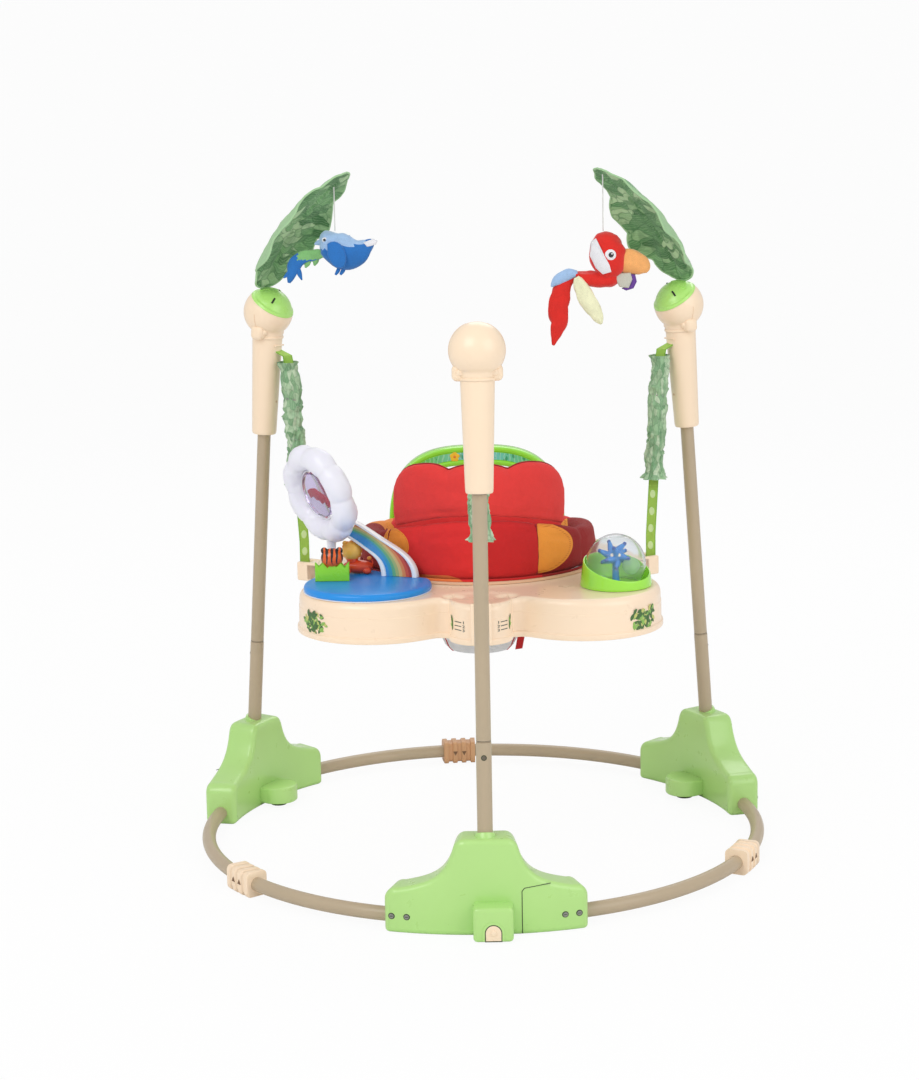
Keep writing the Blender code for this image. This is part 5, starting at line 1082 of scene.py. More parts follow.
def stuffed(stations, forward=0.0, points=26, seed=0.0, ripple=0.0006):
    """A stuffed limb along stations of x, z, half height and half depth, with a sewn seam."""
    smooth = []
    steps = 5
    count = len(stations)
    for i in range(count - 1):
        last = min(i + 2, count - 1)
        picks = (stations[max(i - 1, 0)], stations[i], stations[i + 1], stations[last])
        for t in (k / steps for k in range(steps)):
            smooth.append([
                0.5 * (2 * p1 + (p2 - p0) * t + (2 * p0 - 5 * p1 + 4 * p2 - p3) * t * t
                       + (3 * p1 - p0 - 3 * p2 + p3) * t**3)
                for p0, p1, p2, p3 in zip(*picks)
            ])
    smooth.append(list(stations[-1]))
    rings = []
    for i, (x, z, tall, deep) in enumerate(smooth):
        before, after = smooth[max(i - 1, 0)], smooth[min(i + 1, len(smooth) - 1)]
        along = Vector((after[0] - before[0], 0, after[1] - before[1])).normalized()
        across = Vector((-along.z, 0, along.x))
        ring = []
        for angle in (math.tau * k / points for k in range(points)):
            seam = 1 - 0.05 * math.exp(-((math.sin(angle) / 0.20) ** 2))
            wobble = 1 + ripple / max(tall, 0.004) * 6 * noise.noise(
                Vector((x * 60 + seed, math.cos(angle) * 1.3, z * 60 + math.sin(angle)))
            )
            offset = across * tall * math.cos(angle) + Vector((0, deep * math.sin(angle), 0))
            ring.append(Vector((x, -forward, z)) + offset * seam * wobble)
        rings.append(ring)
    return lofted(rings)


def ball(centre, size, sides=32):
    """A ball, or with three sizes an egg."""
    bm = bmesh.new()
    bmesh.ops.create_uvsphere(bm, u_segments=sides, v_segments=sides // 2, radius=1)
    spread = size if isinstance(size, tuple) else (size, size, size)
    bmesh.ops.scale(bm, vec=spread, verts=bm.verts)
    return move(bm, centre)


def hung_piece(name, bm, paints, side, nodes=(), crease=180):
    """A piece that swings on the cord of one side, built with the cord's top at the origin."""
    body = {"left": "bird", "right": "parrot"}[side]
    move(bm, swing_point(side)[0])
    return add_piece(name, bm, paints, body, nodes, crease)


blue = plush("blue_plush", tone(44, 114, 190))
pale_blue = plush("pale_blue_plush", tone(160, 192, 230), 0.5)
tail_green = plush("tail_green", tone(132, 190, 120), 0.5)
cord_white = woven("white_cord", tone(240, 240, 236), 6000.0, 1.0, 0.0)
red_plush = plush("red_plush", tone(222, 44, 36))
orange_plush = plush("orange_plush", tone(244, 174, 106))
cream_plush = plush("cream_plush", tone(240, 240, 200))
felt_white = plush("felt_white", tone(236, 236, 240), 0.12, 0.1)
felt_grey = plush("felt_grey", tone(198, 198, 184), 0.2, 0.1)
felt_purple = plush("felt_purple", tone(106, 70, 150), 0.2, 0.1)
eye_black = moulded("eye_black", tone(22, 20, 22), 0.15, 0.0, coat=0.8)

for side, toy in (("left", "bird"), ("right", "parrot")):
    top, length = swing_point(side)
    line = [top + Vector((0.00002 * math.sin(i), 0, -length * i / 20)) for i in range(21)]
    thread = wire_solid(line, 0.0010, 2)
    map_faces(thread, lambda co: (math.atan2(co.y - top.y, co.x - top.x) * 0.001, co.z))
    cord_piece = add_piece(f"toy_cord_{toy}", thread, cord_white, toy,
                           [f"string_{side}"])
    tuple(top)
    [tuple(p) for p in line]

BIRD_BODY = [
    (-0.0260, -0.0860, 0.0030, 0.0030), (-0.0225, -0.0865, 0.0140, 0.0130),
    (-0.0150, -0.0890, 0.0205, 0.0190), (-0.0010, -0.0980, 0.0270, 0.0228),
    (0.0190, -0.1060, 0.0290, 0.0208), (0.0370, -0.1040, 0.0222, 0.0164),
    (0.0510, -0.0970, 0.0122, 0.0104), (0.0600, -0.0890, 0.0050, 0.0048),
             (0.0620, -0.0872, 0.0020, 0.0020),
]
body = stuffed(BIRD_BODY, seed=3.0)
for face in body.faces:
    spot = face.calc_center_median()
    face.material_index = int(spot.z > -0.097 + 0.10 * spot.x and spot.x < 0.050)
songbird = hung_piece("songbird_body", body, [blue, pale_blue], "left", ["bird_body"])
BIRD_WING = (
    bezier((-0.012, -0.090), (0.004, -0.078), (0.020, -0.096), (0.018, -0.118), 9)
    + bezier((0.015, -0.127), (0.004, -0.134), (-0.006, -0.126), (-0.012, -0.108), 9)
)
TAIL_TIP = [(0.046, -0.0900), (0.060, -0.0848), (0.0690, -0.0880), (0.0665, -0.0935),
            (0.052, -0.0975)]
wings = bmesh.new()
for front in (-1, 1):
    add_solid(wings, slab(BIRD_WING, 0.0050, 0.0022, 3, front * 0.0238))
    add_solid(wings, slab(TAIL_TIP, 0.0030, 0.0012, 2, front * 0.0085), 1)
    add_solid(wings, ball((-0.0165, front * 0.0192, -0.0840), 0.0023), 2)
    add_solid(wings, ball((-0.0165, front * 0.0172, -0.0840), (0.0042, 0.00252, 0.0042)), 1)
for x in (0.006, 0.014):
    leg = [(x, -0.128, 0.003, 0.003), (x - 0.003, -0.136, 0.0035, 0.003),
           (x - 0.007, -0.142, 0.002, 0.002)]
    add_solid(wings, stuffed(leg, 0.004, 14, 2.0, 0.0002))
beak = [(-0.0225, -0.0890, 0.0060, 0.0060), (-0.0285, -0.0900, 0.0042, 0.0042),
        (-0.0340, -0.0920, 0.0012, 0.0012)]
add_solid(wings, stuffed(beak, 0, 16, 5.0, 0.0), 3)
wing_paints = [blue, felt_white, eye_black, pale_blue]
hung_piece("songbird_wings", wings, wing_paints, "left", crease=50)
BIRD_TAIL = [
    (-0.0190, -0.1080, 0.0060, 0.0055), (-0.0260, -0.1088, 0.0078, 0.0060),
    (-0.0370, -0.1100, 0.0086, 0.0062), (-0.0530, -0.1130, 0.0096, 0.0060),
    (-0.0660, -0.1240, 0.0102, 0.0056), (-0.0730, -0.1390, 0.0086, 0.0050),
             (-0.0780, -0.1540, 0.0022, 0.0022),
]
BIRD_FINS = [
    ((-0.0440, -0.1180), (-0.0500, -0.1300), (0.0032, 0.0048, 0.0030, 0.0012), 4.0, 1),
    ((-0.0320, -0.1160), (-0.0350, -0.1270), (0.0032, 0.0048, 0.0030, 0.0012), 4.0, 1),
    ((-0.0640, -0.1280), (-0.0560, -0.1500), (0.0030, 0.0044, 0.0028, 0.0010), 6.0, 0),
    ((-0.0700, -0.1340), (-0.0860, -0.1460), (0.0030, 0.0044, 0.0028, 0.0010), 6.0, 0),
]
tail = stuffed(BIRD_TAIL, seed=9.0)
for face in tail.faces:
    spot = face.calc_center_median()
    face.material_index = int(-0.062 < spot.x and spot.z > -0.1165)
for low, high, (deep, tall, thin, tip), seed, index in BIRD_FINS:
    middle = [(a + b) / 2 for a, b in zip(low, high)]
    fin = [(*low, 0.0050, deep), (*middle, tall, thin), (*high, tip, tip)]
    add_solid(tail, stuffed(fin, 0, 14, seed, 0.0002), index)
rump = hung_piece("songbird_tail", tail, [blue, tail_green], "left", ["bird_tail"])

PARROT = {
    "head": [
        (0.0045, -0.0920, 0.0030, 0.0030), (0.0045, -0.0945, 0.0120, 0.0105),
        (0.0045, -0.1000, 0.0195, 0.0162), (0.0055, -0.1150, 0.0287, 0.0217),
        (0.0070, -0.1330, 0.0300, 0.0240), (0.0090, -0.1500, 0.0257, 0.0212),
        (0.0095, -0.1630, 0.0172, 0.0162), (0.0095, -0.1712, 0.0060, 0.0060),
    ],
    "beak": [
        (0.0250, -0.1390, 0.0160, 0.0122), (0.0400, -0.1400, 0.0205, 0.0130),
        (0.0560, -0.1455, 0.0195, 0.0118), (0.0670, -0.1530, 0.0130, 0.0085),
             (0.0722, -0.1585, 0.0034, 0.0034),
    ],
    "body": [
        (0.0240, -0.1710, 0.0050, 0.0060), (0.0160, -0.1700, 0.0122, 0.0137),
        (-0.0010, -0.1700, 0.0147, 0.0167), (-0.0190, -0.1680, 0.0132, 0.0157),
        (-0.0360, -0.1650, 0.0097, 0.0112), (-0.0480, -0.1640, 0.0062, 0.0072),
             (-0.0532, -0.1640, 0.0026, 0.0026),
    ],
    "tail": [
        (-0.0480, -0.1650, 0.0052, 0.0050), (-0.0620, -0.1770, 0.0132, 0.0072),
        (-0.0710, -0.1980, 0.0167, 0.0077), (-0.0740, -0.2210, 0.0162, 0.0072),
        (-0.0730, -0.2420, 0.0142, 0.0067), (-0.0780, -0.2610, 0.0087, 0.0052),
             (-0.0830, -0.2762, 0.0020, 0.0020),
    ],
    "wing": [
        (-0.0440, -0.1640, 0.0040, 0.0030), (-0.0390, -0.1740, 0.0107, 0.0050),
        (-0.0300, -0.1930, 0.0147, 0.0057), (-0.0180, -0.2150, 0.0137, 0.0057),
        (-0.0090, -0.2310, 0.0092, 0.0047), (-0.0040, -0.2412, 0.0020, 0.0020),
    ],
}
SPARE_FEATHER = [(-0.0420, -0.1580, 0.0040, 0.0035), (-0.0570, -0.1610, 0.0100, 0.0050),
                 (-0.0760, -0.1700, 0.0080, 0.0045), (-0.0850, -0.1800, 0.0014, 0.0014)]
for index, (limb, stations) in enumerate(PARROT.items()):
    shape = stuffed(stations, 0.0125 if limb == "wing" else 0.0, 30, 3.7 * index)
    if limb == "tail":
        add_solid(shape, stuffed(SPARE_FEATHER, 0.004, 20, 1.0, 0.0004), 1)
    paint = {"beak": orange_plush, "wing": cream_plush}.get(limb, red_plush)
    piece = hung_piece(f"red_bird_{limb}", shape, [paint, pale_blue], "right", [f"parrot_{limb}"])
CHEEK = [(-0.0195, -0.1080), (-0.0120, -0.1020), (0.0010, -0.1300), (0.0085, -0.1435),
         (0.0120, -0.1560), (-0.0020, -0.1600), (-0.0130, -0.1500), (-0.0225, -0.1300)]
JAW = [(0.0150, -0.1600), (0.0440, -0.1590), (0.0470, -0.1700), (0.0410, -0.1840),
       (0.0260, -0.1820)]
LIP = [(0.0440, -0.1610), (0.0520, -0.1630), (0.0545, -0.1740), (0.0490, -0.1850),
       (0.0370, -0.1885), (0.0300, -0.1850), (0.0440, -0.1780)]
face_felt = bmesh.new()
for front in (-1, 1):
    cheek = slab(CHEEK, 0.0024, 0.0010, 2, 0)
    bmesh.ops.subdivide_edges(cheek, edges=cheek.edges[:], cuts=3, use_grid_fill=True)
    for vert in cheek.verts:
        x, y, z = vert.co
        swell = max(0.0, 1 - ((x - 0.007) / 0.0315) ** 2 - ((z + 0.133) / 0.042) ** 2)
        vert.co.y = y + front * (0.0245 * math.sqrt(swell) + 0.0012)
    add_solid(face_felt, cheek)
    eye = Vector((0.0105, front * 0.0236, -0.1285))
    pupil = eye + Vector((0.0008, front * 0.0019, 0.0004))
    glint = eye + Vector((0.0022, front * 0.0040, 0.0022))
    add_solid(face_felt, ball(eye, (0.0092, 0.002944, 0.0092)))
    add_solid(face_felt, ball(pupil, (0.0046, 0.00207, 0.0046)), 1)
    add_solid(face_felt, ball(glint, (0.0013, 0.00052, 0.0013)))
    add_solid(face_felt, slab(JAW, 0.0070, 0.0026, 3, front * 0.0060), 2)
add_solid(face_felt, slab(LIP, 0.0130, 0.0028, 3, 0), 3)
felts = [felt_white, eye_black, felt_grey, felt_purple]
hang = swing_point("right")[0]
add_piece("red_bird_face", move(face_felt, hang), felts, "parrot", (), 50)

# The tray: one peach moulding with a rolled rim, hollow below. Its deck is dished where the
# front strap drops through, and it has ears with pegs that the straps hook over.

TRAY_TOP = 0.466
TRAY_EDGE = 0.012
WELL_RADIUS = 0.187
WELL_FLOOR = 0.4263
DECK_DIPS = [(0.0, 0.075, 0.030, 0.0016), (-0.040, 0.021, 0.013, 0.0034),
             (0.040, 0.021, 0.013, 0.0034)]


def lobe_reach(azimuth, x, y, radius):
    """How far a round lobe of the tray reaches along an azimuth, in degrees."""
    distance = math.hypot(x, y)
    off = math.radians(azimuth) - math.atan2(x, -y)
    off = math.atan2(math.sin(off), math.cos(off))
    aside = distance * math.sin(off)
    if abs(off) > math.pi / 2 or abs(aside) >= radius:
        return 0.0
    return distance * math.cos(off) + math.sqrt(radius**2 - aside**2)


def tray_reach(azimuth):
    found = [0.266, lobe_reach(azimuth, 0.0, -0.292, 0.046),
             lobe_reach(azimuth, 0.0, -0.165, 0.128)]
    found += [lobe_reach(azimuth, x, -0.200, 0.119) for x in (-0.160, 0.160)]
    found.append(lobe_reach(azimuth, 0.0, 0.175, 0.160))
    return math.log(sum(math.exp(85 * reach) for reach in found)) / 85


def loops_of(count, places):
    """A skin of rings, each grown out of the last one and then moved to its own place."""
    bm = bmesh.new()
    bmesh.ops.create_circle(bm, segments=count, radius=1.0)
    rings, edges = [bm.verts[:]], bm.edges[:]
    for _ in places[1:]:
        grown = bmesh.ops.extrude_edge_only(bm, edges=edges)["geom"]
        edges = only(grown, "BMEdge")
        rings.append(only(grown, "BMVert"))
        bmesh.ops.translate(bm, vec=(0, 0, 1), verts=rings[-1])
    for verts, place in zip(rings, places):
        for vert in verts:
            vert.co = place(math.degrees(math.atan2(vert.co.y, vert.co.x)) + 90.0)
    return bm


def open_edges(bm):
    return [edge for edge in bm.edges if len(edge.link_faces) == 1]


def tray_ring(inset, height, dish=0.0):
    """A ring of the tray at an inset from its outline, with a groove for the front strap."""
    def place(azimuth):
        radius = TRAY_REACH[round(azimuth * 2) % 720] - inset
        point = on_ring(azimuth, radius, height)
        if abs(point.x) < 0.0092 and point.y < -0.2 and radius > 0.3:
            point.y += 0.0035 * min(1.0, (0.0092 - abs(point.x)) / 0.002)
        return dished(point) if dish else point
    return place


def dished(point):
    """The two oval dips in the deck beside the front strap, and the low saddle between them."""
    for middle, wide, deep, low in DECK_DIPS:
        spot = math.hypot((point.x - middle) / wide, (point.y - STAND_Y + 0.268) / deep)
        share = max(0.0, min(1.0, (1.0 - spot) / 0.45))
        point.z -= low * share * share * (3 - 2 * share)
    return point


def deck_ring(share, height, gap):
    """A ring between the well and the tray's edge, at a share of the way out."""
    def place(azimuth):
        reach = TRAY_REACH[round(azimuth * 2) % 720] - TRAY_EDGE
        return dished(on_ring(azimuth, WELL_RADIUS + gap + (reach - WELL_RADIUS) * share, height))
    return place


TRAY_REACH = [tray_reach(i / 2) for i in range(720)]
TRAY_WALL = [
    (0.0014, 0.4515), (0.0012, 0.4440), (0.0004, 0.4434), (0.0002, 0.4360), (0.0, 0.4155),
    (-0.0003, 0.4142), (-0.0028, 0.4128), (-0.0032, 0.4115), (-0.0032, 0.4062), (-0.0028, 0.4052),
    (-0.0020, 0.4048), (0.0030, 0.4048), (0.0036, 0.4056), (0.0046, 0.4300), (0.0090, 0.4620),
]
shares = [0.0, 0.03] + [0.06 + 0.94 * i / 26 for i in range(27)]
steps = [deck_ring(share, TRAY_TOP, 0.0003) for share in shares]
for turn in (math.radians(angle) for angle in (15, 30, 45, 60, 75, 90)):
    inset, drop = TRAY_EDGE - 0.0105 * math.sin(turn), 0.0115 * (1 - math.cos(turn))
    steps.append(tray_ring(inset, TRAY_TOP - drop, 1))
steps += [tray_ring(inset, height) for inset, height in TRAY_WALL]
steps += [deck_ring(share, TRAY_TOP - 0.0040, 0.0026) for share in (1.0, 0.5, 0.0)]
for gap in (0.0025, 0.0003):
    steps.append(lambda azimuth, gap=gap: on_ring(azimuth, WELL_RADIUS + gap, WELL_FLOOR))
tray = loops_of(720, steps)
bmesh.ops.bridge_loops(tray, edges=open_edges(tray))
EAR_BLOCKS = [
    ((0.0100, 0.060, 0.0315), (-0.0137, -0.3112, 0.4212), 0.003),
    ((0.0100, 0.060, 0.0315), (0.0137, -0.3112, 0.4212), 0.003),
    ((0.0374, 0.053, 0.0300), (0, -0.2965, 0.4212), 0.003),
    ((0.0400, 0.020, 0.0060), (0, -0.2700, 0.4360), 0.002),
]
GUIDE_BLOCKS = [((0.0062, 0.012, 0.0640), (x, -0.3352, 0.4372), 0.0020) for x in (-0.0128, 0.0128)]
for side, azimuth in SIDES.items():
    ears = bmesh.new()
    for size, centre, edge in GUIDE_BLOCKS if side == "front" else EAR_BLOCKS:
        add_solid(ears, soft_block(size, centre, edge))
    hook = Matrix.Translation((0, -HANG_FOOT[0], 0.423)) @ turned(STRAP_TURN[side])
    add_solid(ears, move(rod(0.0028, (0, 0.006, 0), (0, -0.0030, 0), 20, edge=0.0008), hook))
    add_solid(tray, move(ears, about_stand(azimuth)))
tray_peach = moulded("tray_peach", tone(253, 227, 198), 0.30, 0.05, coat=0.3)
add_piece("play_tray", tray, tray_peach, "tray", ["tray"], crease=32)

# The marks on the tray's front wall: plain height numbers with their lines, and small clumps of
# leaves near the sides, all printed on thin film.


WALL_STEP = 0.25
WALL_END = 90.0


def wall_walk(direction):
    """Azimuths along the outer wall, each with how far it is from the front and its spot."""
    walk = [(0.0, 0.0, on_ring(0, tray_reach(0), 0))]
    for i in range(int(WALL_END / WALL_STEP)):
        azimuth = direction * WALL_STEP * (i + 1)
        spot = on_ring(azimuth, tray_reach(azimuth), 0)
        walk.append((azimuth, walk[-1][1] + (spot - walk[-1][2]).length, spot))
    return walk


WALL_WALKS = {direction: wall_walk(direction) for direction in (-1, 1)}


def wall_point(along, out, height):
    """A place on the outer wall: along it from the front, out from it, and up."""
    direction = 1 if along >= 0 else -1
    walk = WALL_WALKS[direction]
    azimuth, walked, last = next(step for step in walk if step[1] >= abs(along))
    before, after = (on_ring(a, tray_reach(a), 0) for a in (azimuth - 0.5, azimuth + 0.5))
    line = (after - before).normalized()
    extra = (walked - abs(along)) * direction
    return last - line * extra + Vector((line.y * out, -line.x * out, height))


def digit(text, size):
    """A printed number as a thin solid."""
    letters = bpy.data.curves.new("digit", "FONT")
    letters.body = text
    letters.size = size
    letters.extrude = 0.00012
    letters.align_x = "CENTER"
    return move(curve_solid(letters), turned(90, "X"))


def film_shape(outline, depth=0.00025):
    """A flat outline in X and Z as a thin film, its back at y 0."""
    return slab(outline, depth, 0, 1, -depth / 2)


def leaf_shape(length, width, turn, x, z, points=9):
    """A pointed leaf in X and Z."""
    shares = [i / (points - 1) for i in range(points)]
    half = [(length * s, width / 2 * math.sin(math.pi * s) ** 0.8) for s in shares]
    outline = half + [(px, -pz) for px, pz in reversed(half[1:-1])]
    cos, sin = math.cos(turn), math.sin(turn)
    return [(x + px * cos - pz * sin, z + px * sin + pz * cos) for px, pz in outline]


CLUMP_AZIMUTHS = {-1: 42.5, 1: 41.0}
CLUMP_LEAVES = 92
HALF_CLUMP = (0.0215, 0.0105)
MARK_LEAVES = [(1.2, 0.015, 0.0140, 0.4330, 0), (1.9, 0.012, 0.0180, 0.4310, 1),
               (1.6, 0.012, 0.0155, 0.4235, 0), (0.7, 0.008, 0.0150, 0.4280, 1)]
ink_green = moulded("printed_green", tone(74, 110, 62), 0.5, 0.2)
ink_lime = moulded("printed_lime", tone(140, 186, 92), 0.5, 0.2)
ink_dark = moulded("printed_dark", tone(44, 74, 70), 0.5, 0.1)
ink_straw = moulded("printed_straw", tone(196, 200, 116), 0.5, 0.1)
marks = bmesh.new()
for side in (-1, 1):
    middle = side * 0.0375
    for i, text in enumerate(("1", "2", "3")):
        height = 0.4385 - 0.0060 * i
        number = digit(text, 0.0060)
        bmesh.ops.scale(number, vec=(1.5, 1, 1), verts=number.verts)
        move(number, (middle - 0.0098 * side, -0.0002, height - 0.0020))
        add_solid(marks, number, 2)
        start, end = sorted((middle - 0.0055 * side, middle + 0.0085 * side))
        low, high = height - 0.0007, height + 0.0005
        bar = film_shape([(start, low), (end, low), (end, high), (start, high)])
        add_solid(marks, bar, 2)
    for turn, size, x, z, index in MARK_LEAVES:
        lean = turn if side > 0 else math.pi - turn
        blade = film_shape(leaf_shape(size, size * 0.34, lean, middle + side * x, z))
        add_solid(marks, blade, index)
for vert in marks.verts:
    vert.co.y = 0.0002 - vert.co.y
for number, (side, last_azimuth) in enumerate(CLUMP_AZIMUTHS.items()):
    along = side * WALL_WALKS[1][int(last_azimuth / WALL_STEP)][1]
    for i in range(CLUMP_LEAVES):
        seed = Vector((i * 1.7, number * 5.1, 0.3))
        x, z = (
            max(-half, min(half, reach * noise.noise(seed + Vector((shift, 0, 0)))))
            for half, reach, shift in zip(HALF_CLUMP, (0.0559, 0.0264), (0, 9))
        )
        turn = math.tau * noise.noise(seed + Vector((0, 9, 0)))
        size = 0.0100 + 0.0040 * noise.noise(seed + Vector((0, 0, 9)))
        shape = film_shape(leaf_shape(size, size * 0.48, turn, x, z, 7), 0.00012 + 0.000006 * i)
        for vert in shape.verts:
            vert.co = (vert.co.x + along, -vert.co.y, vert.co.z + 0.4295)
        add_solid(marks, shape, (0, 1, 0, 1, 0, 3, 0)[i % 7])
for vert in marks.verts:
    vert.co = wall_point(*vert.co)
inks = [ink_green, ink_lime, ink_dark, ink_straw]
add_piece("wall_prints", marks, inks, "tray", (), 30)

# The seat ring: a white collar that turns in the tray's well on small runners.

# Painted shade: the collar is a darker peach than the tray, for the shade under the seat's rim.
collar_peach_shade = moulded("collar_peach_shade", tone(224, 180, 146), 0.5, 0.04)
ring = spun([
    (0.1806, 0.4702), (0.1810, 0.4706), (0.1940, 0.4706), (0.1950, 0.4702), (0.1955, 0.4692),
    (0.1955, 0.4668), (0.1950, 0.4664), (0.1865, 0.4664), (0.1865, 0.4322), (0.1860, 0.4318),
    (0.1811, 0.4318), (0.1806, 0.4324),
], 160)
move(ring, (0, STAND_Y, 0))
add_piece("turning_collar", ring, collar_peach_shade, "seat", ["seat_ring"])

# The seat: padded polyester in reds with orange patches, sewn to a lining, with painted shade
# and a painted reflection on its rim. A rim goes all the way round, and the tall backrest
# stands on the side nearest the front post.


def wrap_top(azimuth):
    """The height of the padded rim: tallest at the back pad, with a bulge at the left rear."""
    angle = math.radians(azimuth)
    front = max(0.0, math.cos(angle)) ** 2
    rear = max(0.0, -math.cos(angle))
    hump = 0.012 * math.exp(-((azimuth + 118) / 15) ** 2)
    return 0.528 + (0.566 - 0.528) * front - (0.528 - 0.512) * rear + hump


def settled(obj, voxel, pressure, cap, frames=20):
    """Puff a closed cloth form up with a little air, and hold each point near its start."""
    bpy.context.view_layer.objects.active = obj
    for other in bpy.context.selected_objects:
        other.select_set(False)
    obj.select_set(True)
    remesh = obj.modifiers.new("even", "REMESH")
    remesh.mode = "VOXEL"
    remesh.voxel_size = voxel
    bpy.ops.object.modifier_apply(modifier=remesh.name)
    start = [vert.co.copy() for vert in obj.data.vertices]
    cloth = obj.modifiers.new("cloth", "CLOTH")
    cloth.settings.use_pressure = True
    cloth.settings.uniform_pressure_force = pressure
    cloth.settings.effector_weights.gravity = 0
    cloth.settings.tension_stiffness = 14
    cloth.settings.bending_stiffness = 0.4
    cloth.settings.quality = 6
    for step in range(1, frames + 1):
        scene.frame_set(step)
    bpy.ops.object.modifier_apply(modifier=cloth.name)
    scene.frame_set(1)
    for vert, origin in zip(obj.data.vertices, start):
        moved = vert.co - origin
        if moved.length > cap:
            vert.co = origin + moved.normalized() * cap
    fine = obj.modifiers.new("fine", "SUBSURF")
    fine.levels = fine.render_levels = 1
    bpy.ops.object.modifier_apply(modifier=fine.name)
    obj.data.shade_smooth()


def boxed(angle, power=0.62):
    """The cosine and sine of an angle, pushed out towards a rounded square."""
    sides = (math.cos(angle), math.sin(angle))
    return [math.copysign(abs(side) ** power, side) for side in sides]


def all_of(tree, *masks):
    """One mask that is 1 only where all the masks are 1."""
    found = masks[0]
    for mask in masks[1:]:
        found = times(tree, found, mask)
    return found


def seat_patches_and_shade(base, patches):
    """The seat's colours: flat shapes in X and Z, sewn patches cut from cloth of each colour, and
    painted shade and reflection.
    """
    def source(tree):
        place = tree.nodes.new("ShaderNodeTexCoord").outputs["Object"]
        apart = tree.nodes.new("ShaderNodeSeparateXYZ")
        tree.links.new(place, apart.inputs[0])

        def is_over(value, limit):
            return math_node(tree, "GREATER_THAN", value, limit)

        def is_under(value, limit):
            return math_node(tree, "LESS_THAN", value, limit)

        def off(value, centre, radius):
            ratio = math_node(tree, "DIVIDE", math_node(tree, "SUBTRACT", value, centre), radius)
            return times(tree, ratio, ratio)

        shift = about(tree, noisy(tree, place, 30, 1.0), 0.004)
        x, z = (plus(tree, apart.outputs[axis], shift) for axis in "XZ")
        near = is_under(apart.outputs["Y"], STAND_Y + 0.07)
        far = is_over(apart.outputs["Y"], STAND_Y + 0.03)
        colour = base
        for kind, patch, (cx, cz, rx, rz, low, high) in patches:
            reach = plus(tree, off(x, cx, rx), off(z, cz, rz))
            side = far if kind == "rear" else near
            mask = all_of(tree, is_under(reach, 1.0), is_over(x, low), is_under(x, high), side)
            colour = mixed(tree, mask, colour, tone(*patch))
            if kind == "stitched":
                dash = is_over(math_node(tree, "SINE", times(tree, z, 2100.0)), -0.1)
                sewn = all_of(tree, is_over(reach, 0.80), is_under(reach, 0.90), dash, mask)
                colour = mixed(tree, times(tree, sewn, 0.7), colour, tone(206, 112, 30))
        # Faked bounce light: to diffuse rays the seat shows a dull brown in place of its red, so
        # that less red light falls on the tray.
        path = tree.nodes.new("ShaderNodeLightPath")
        bounced = times(tree, path.outputs["Is Diffuse Ray"], 0.7)
        return mixed(tree, bounced, colour, tone(150, 96, 80))
    return source


RED, BACK_RED = tone(222, 42, 42), tone(229, 58, 55)
rim_cloth = woven("seat_red", RED, 2600.0, 0.9, 1.0, 0.06, seat_patches_and_shade(RED, [
    # Painted shade: the darker red right of the post, and the dark red towards both sides of the
    # rim. Painted reflection: the orange along the rim's foot on the left, from the peach tray.
    ("plain", (200, 30, 32), (0.060, 0.500, 0.300, 0.300, 0.012, 0.100)),
    ("plain", (146, 10, 16), (0.190, 0.515, 0.300, 0.300, 0.098, 0.300)),
    ("plain", (146, 10, 16), (-0.215, 0.515, 0.300, 0.300, -0.300, -0.137)),
    ("plain", (240, 124, 66), (-0.066, 0.469, 0.040, 0.011, -0.200, 0.0)),
    ("rear", (240, 140, 62), (-0.168, 0.536, 0.040, 0.026, -0.300, -0.115)),
    ("stitched", (244, 152, 58), (0.0915, 0.5145, 0.0555, 0.0385, 0.0915, 0.200)),
    ("stitched", (242, 144, 52), (-0.129, 0.5225, 0.0205, 0.0225, -0.200, 0.0)),
]))
back_cloth = woven("back_red", BACK_RED, 2600.0, 0.9, 1.0, 0.08, seat_patches_and_shade(BACK_RED, []))
binding_red = woven("seat_binding", tone(150, 22, 26), 2600.0, 0.9, 0.3, 0.2)


def wrap_point(azimuth, spot):
    """The padded rim's surface: seams draw it in, and the cloth folds between them."""
    low, high = 0.4690, wrap_top(azimuth)
    across, up = boxed(math.tau * spot)
    sew = abs(math.sin(math.radians(azimuth) * 6)) ** 0.5
    inner, outer = 0.1535 + 0.0015 * (1 - sew), 0.1900 - 0.0034 * (1 - sew)
    share = (up + 1) / 2
    radius = (inner + outer) / 2 + across * (outer - inner) / 2
    height = (low + high) / 2 + up * (high - low) / 2
    if across > 0:
        place = Vector((math.sin(math.radians(azimuth)) * 3, math.cos(math.radians(azimuth)) * 3,
                        0))
        crease = noise.noise(Vector((place.x * 0.9, place.y * 0.9,
                                     share * 5.2 + 1.3 * noise.noise(place))))
        radius += 0.0026 * crease * (1 - abs(2 * share - 1) ** 4)
        radius -= 0.0022 * math.exp(-((share - 0.80 - 0.05 * math.sin(azimuth / 9)) / 0.035) ** 2)
    height -= 0.0020 * (1 - sew) * max(0.0, up)
    return on_ring(azimuth, min(radius, 0.1905), height)


RIM_POINTS = 36
rim = loops_of(300, [
    lambda azimuth, k=k: wrap_point(azimuth, k / RIM_POINTS) for k in range(RIM_POINTS)
])
bmesh.ops.bridge_loops(rim, edges=open_edges(rim))
rim_piece = add_piece("seat_rim_pad", rim, rim_cloth, "seat", ["seat_wrap"], 180)
settled(rim_piece, 0.0045, 3.0, 0.0035)


def flat_map(obj):
    """Lay the weave over a finished pad by height and by the way round."""
    data = obj.data
    layer = data.uv_layers.get("UVMap") or data.uv_layers.new(name="UVMap")
    for polygon in data.polygons:
        corners = [data.vertices[index].co for index in polygon.vertices]
        turns = wide_round([math.atan2(co.x, STAND_Y - co.y) for co in corners])
        for loop, co, turn in zip(polygon.loop_indices, corners, turns):
            layer.data[loop].uv = (turn * 0.17, co.z)


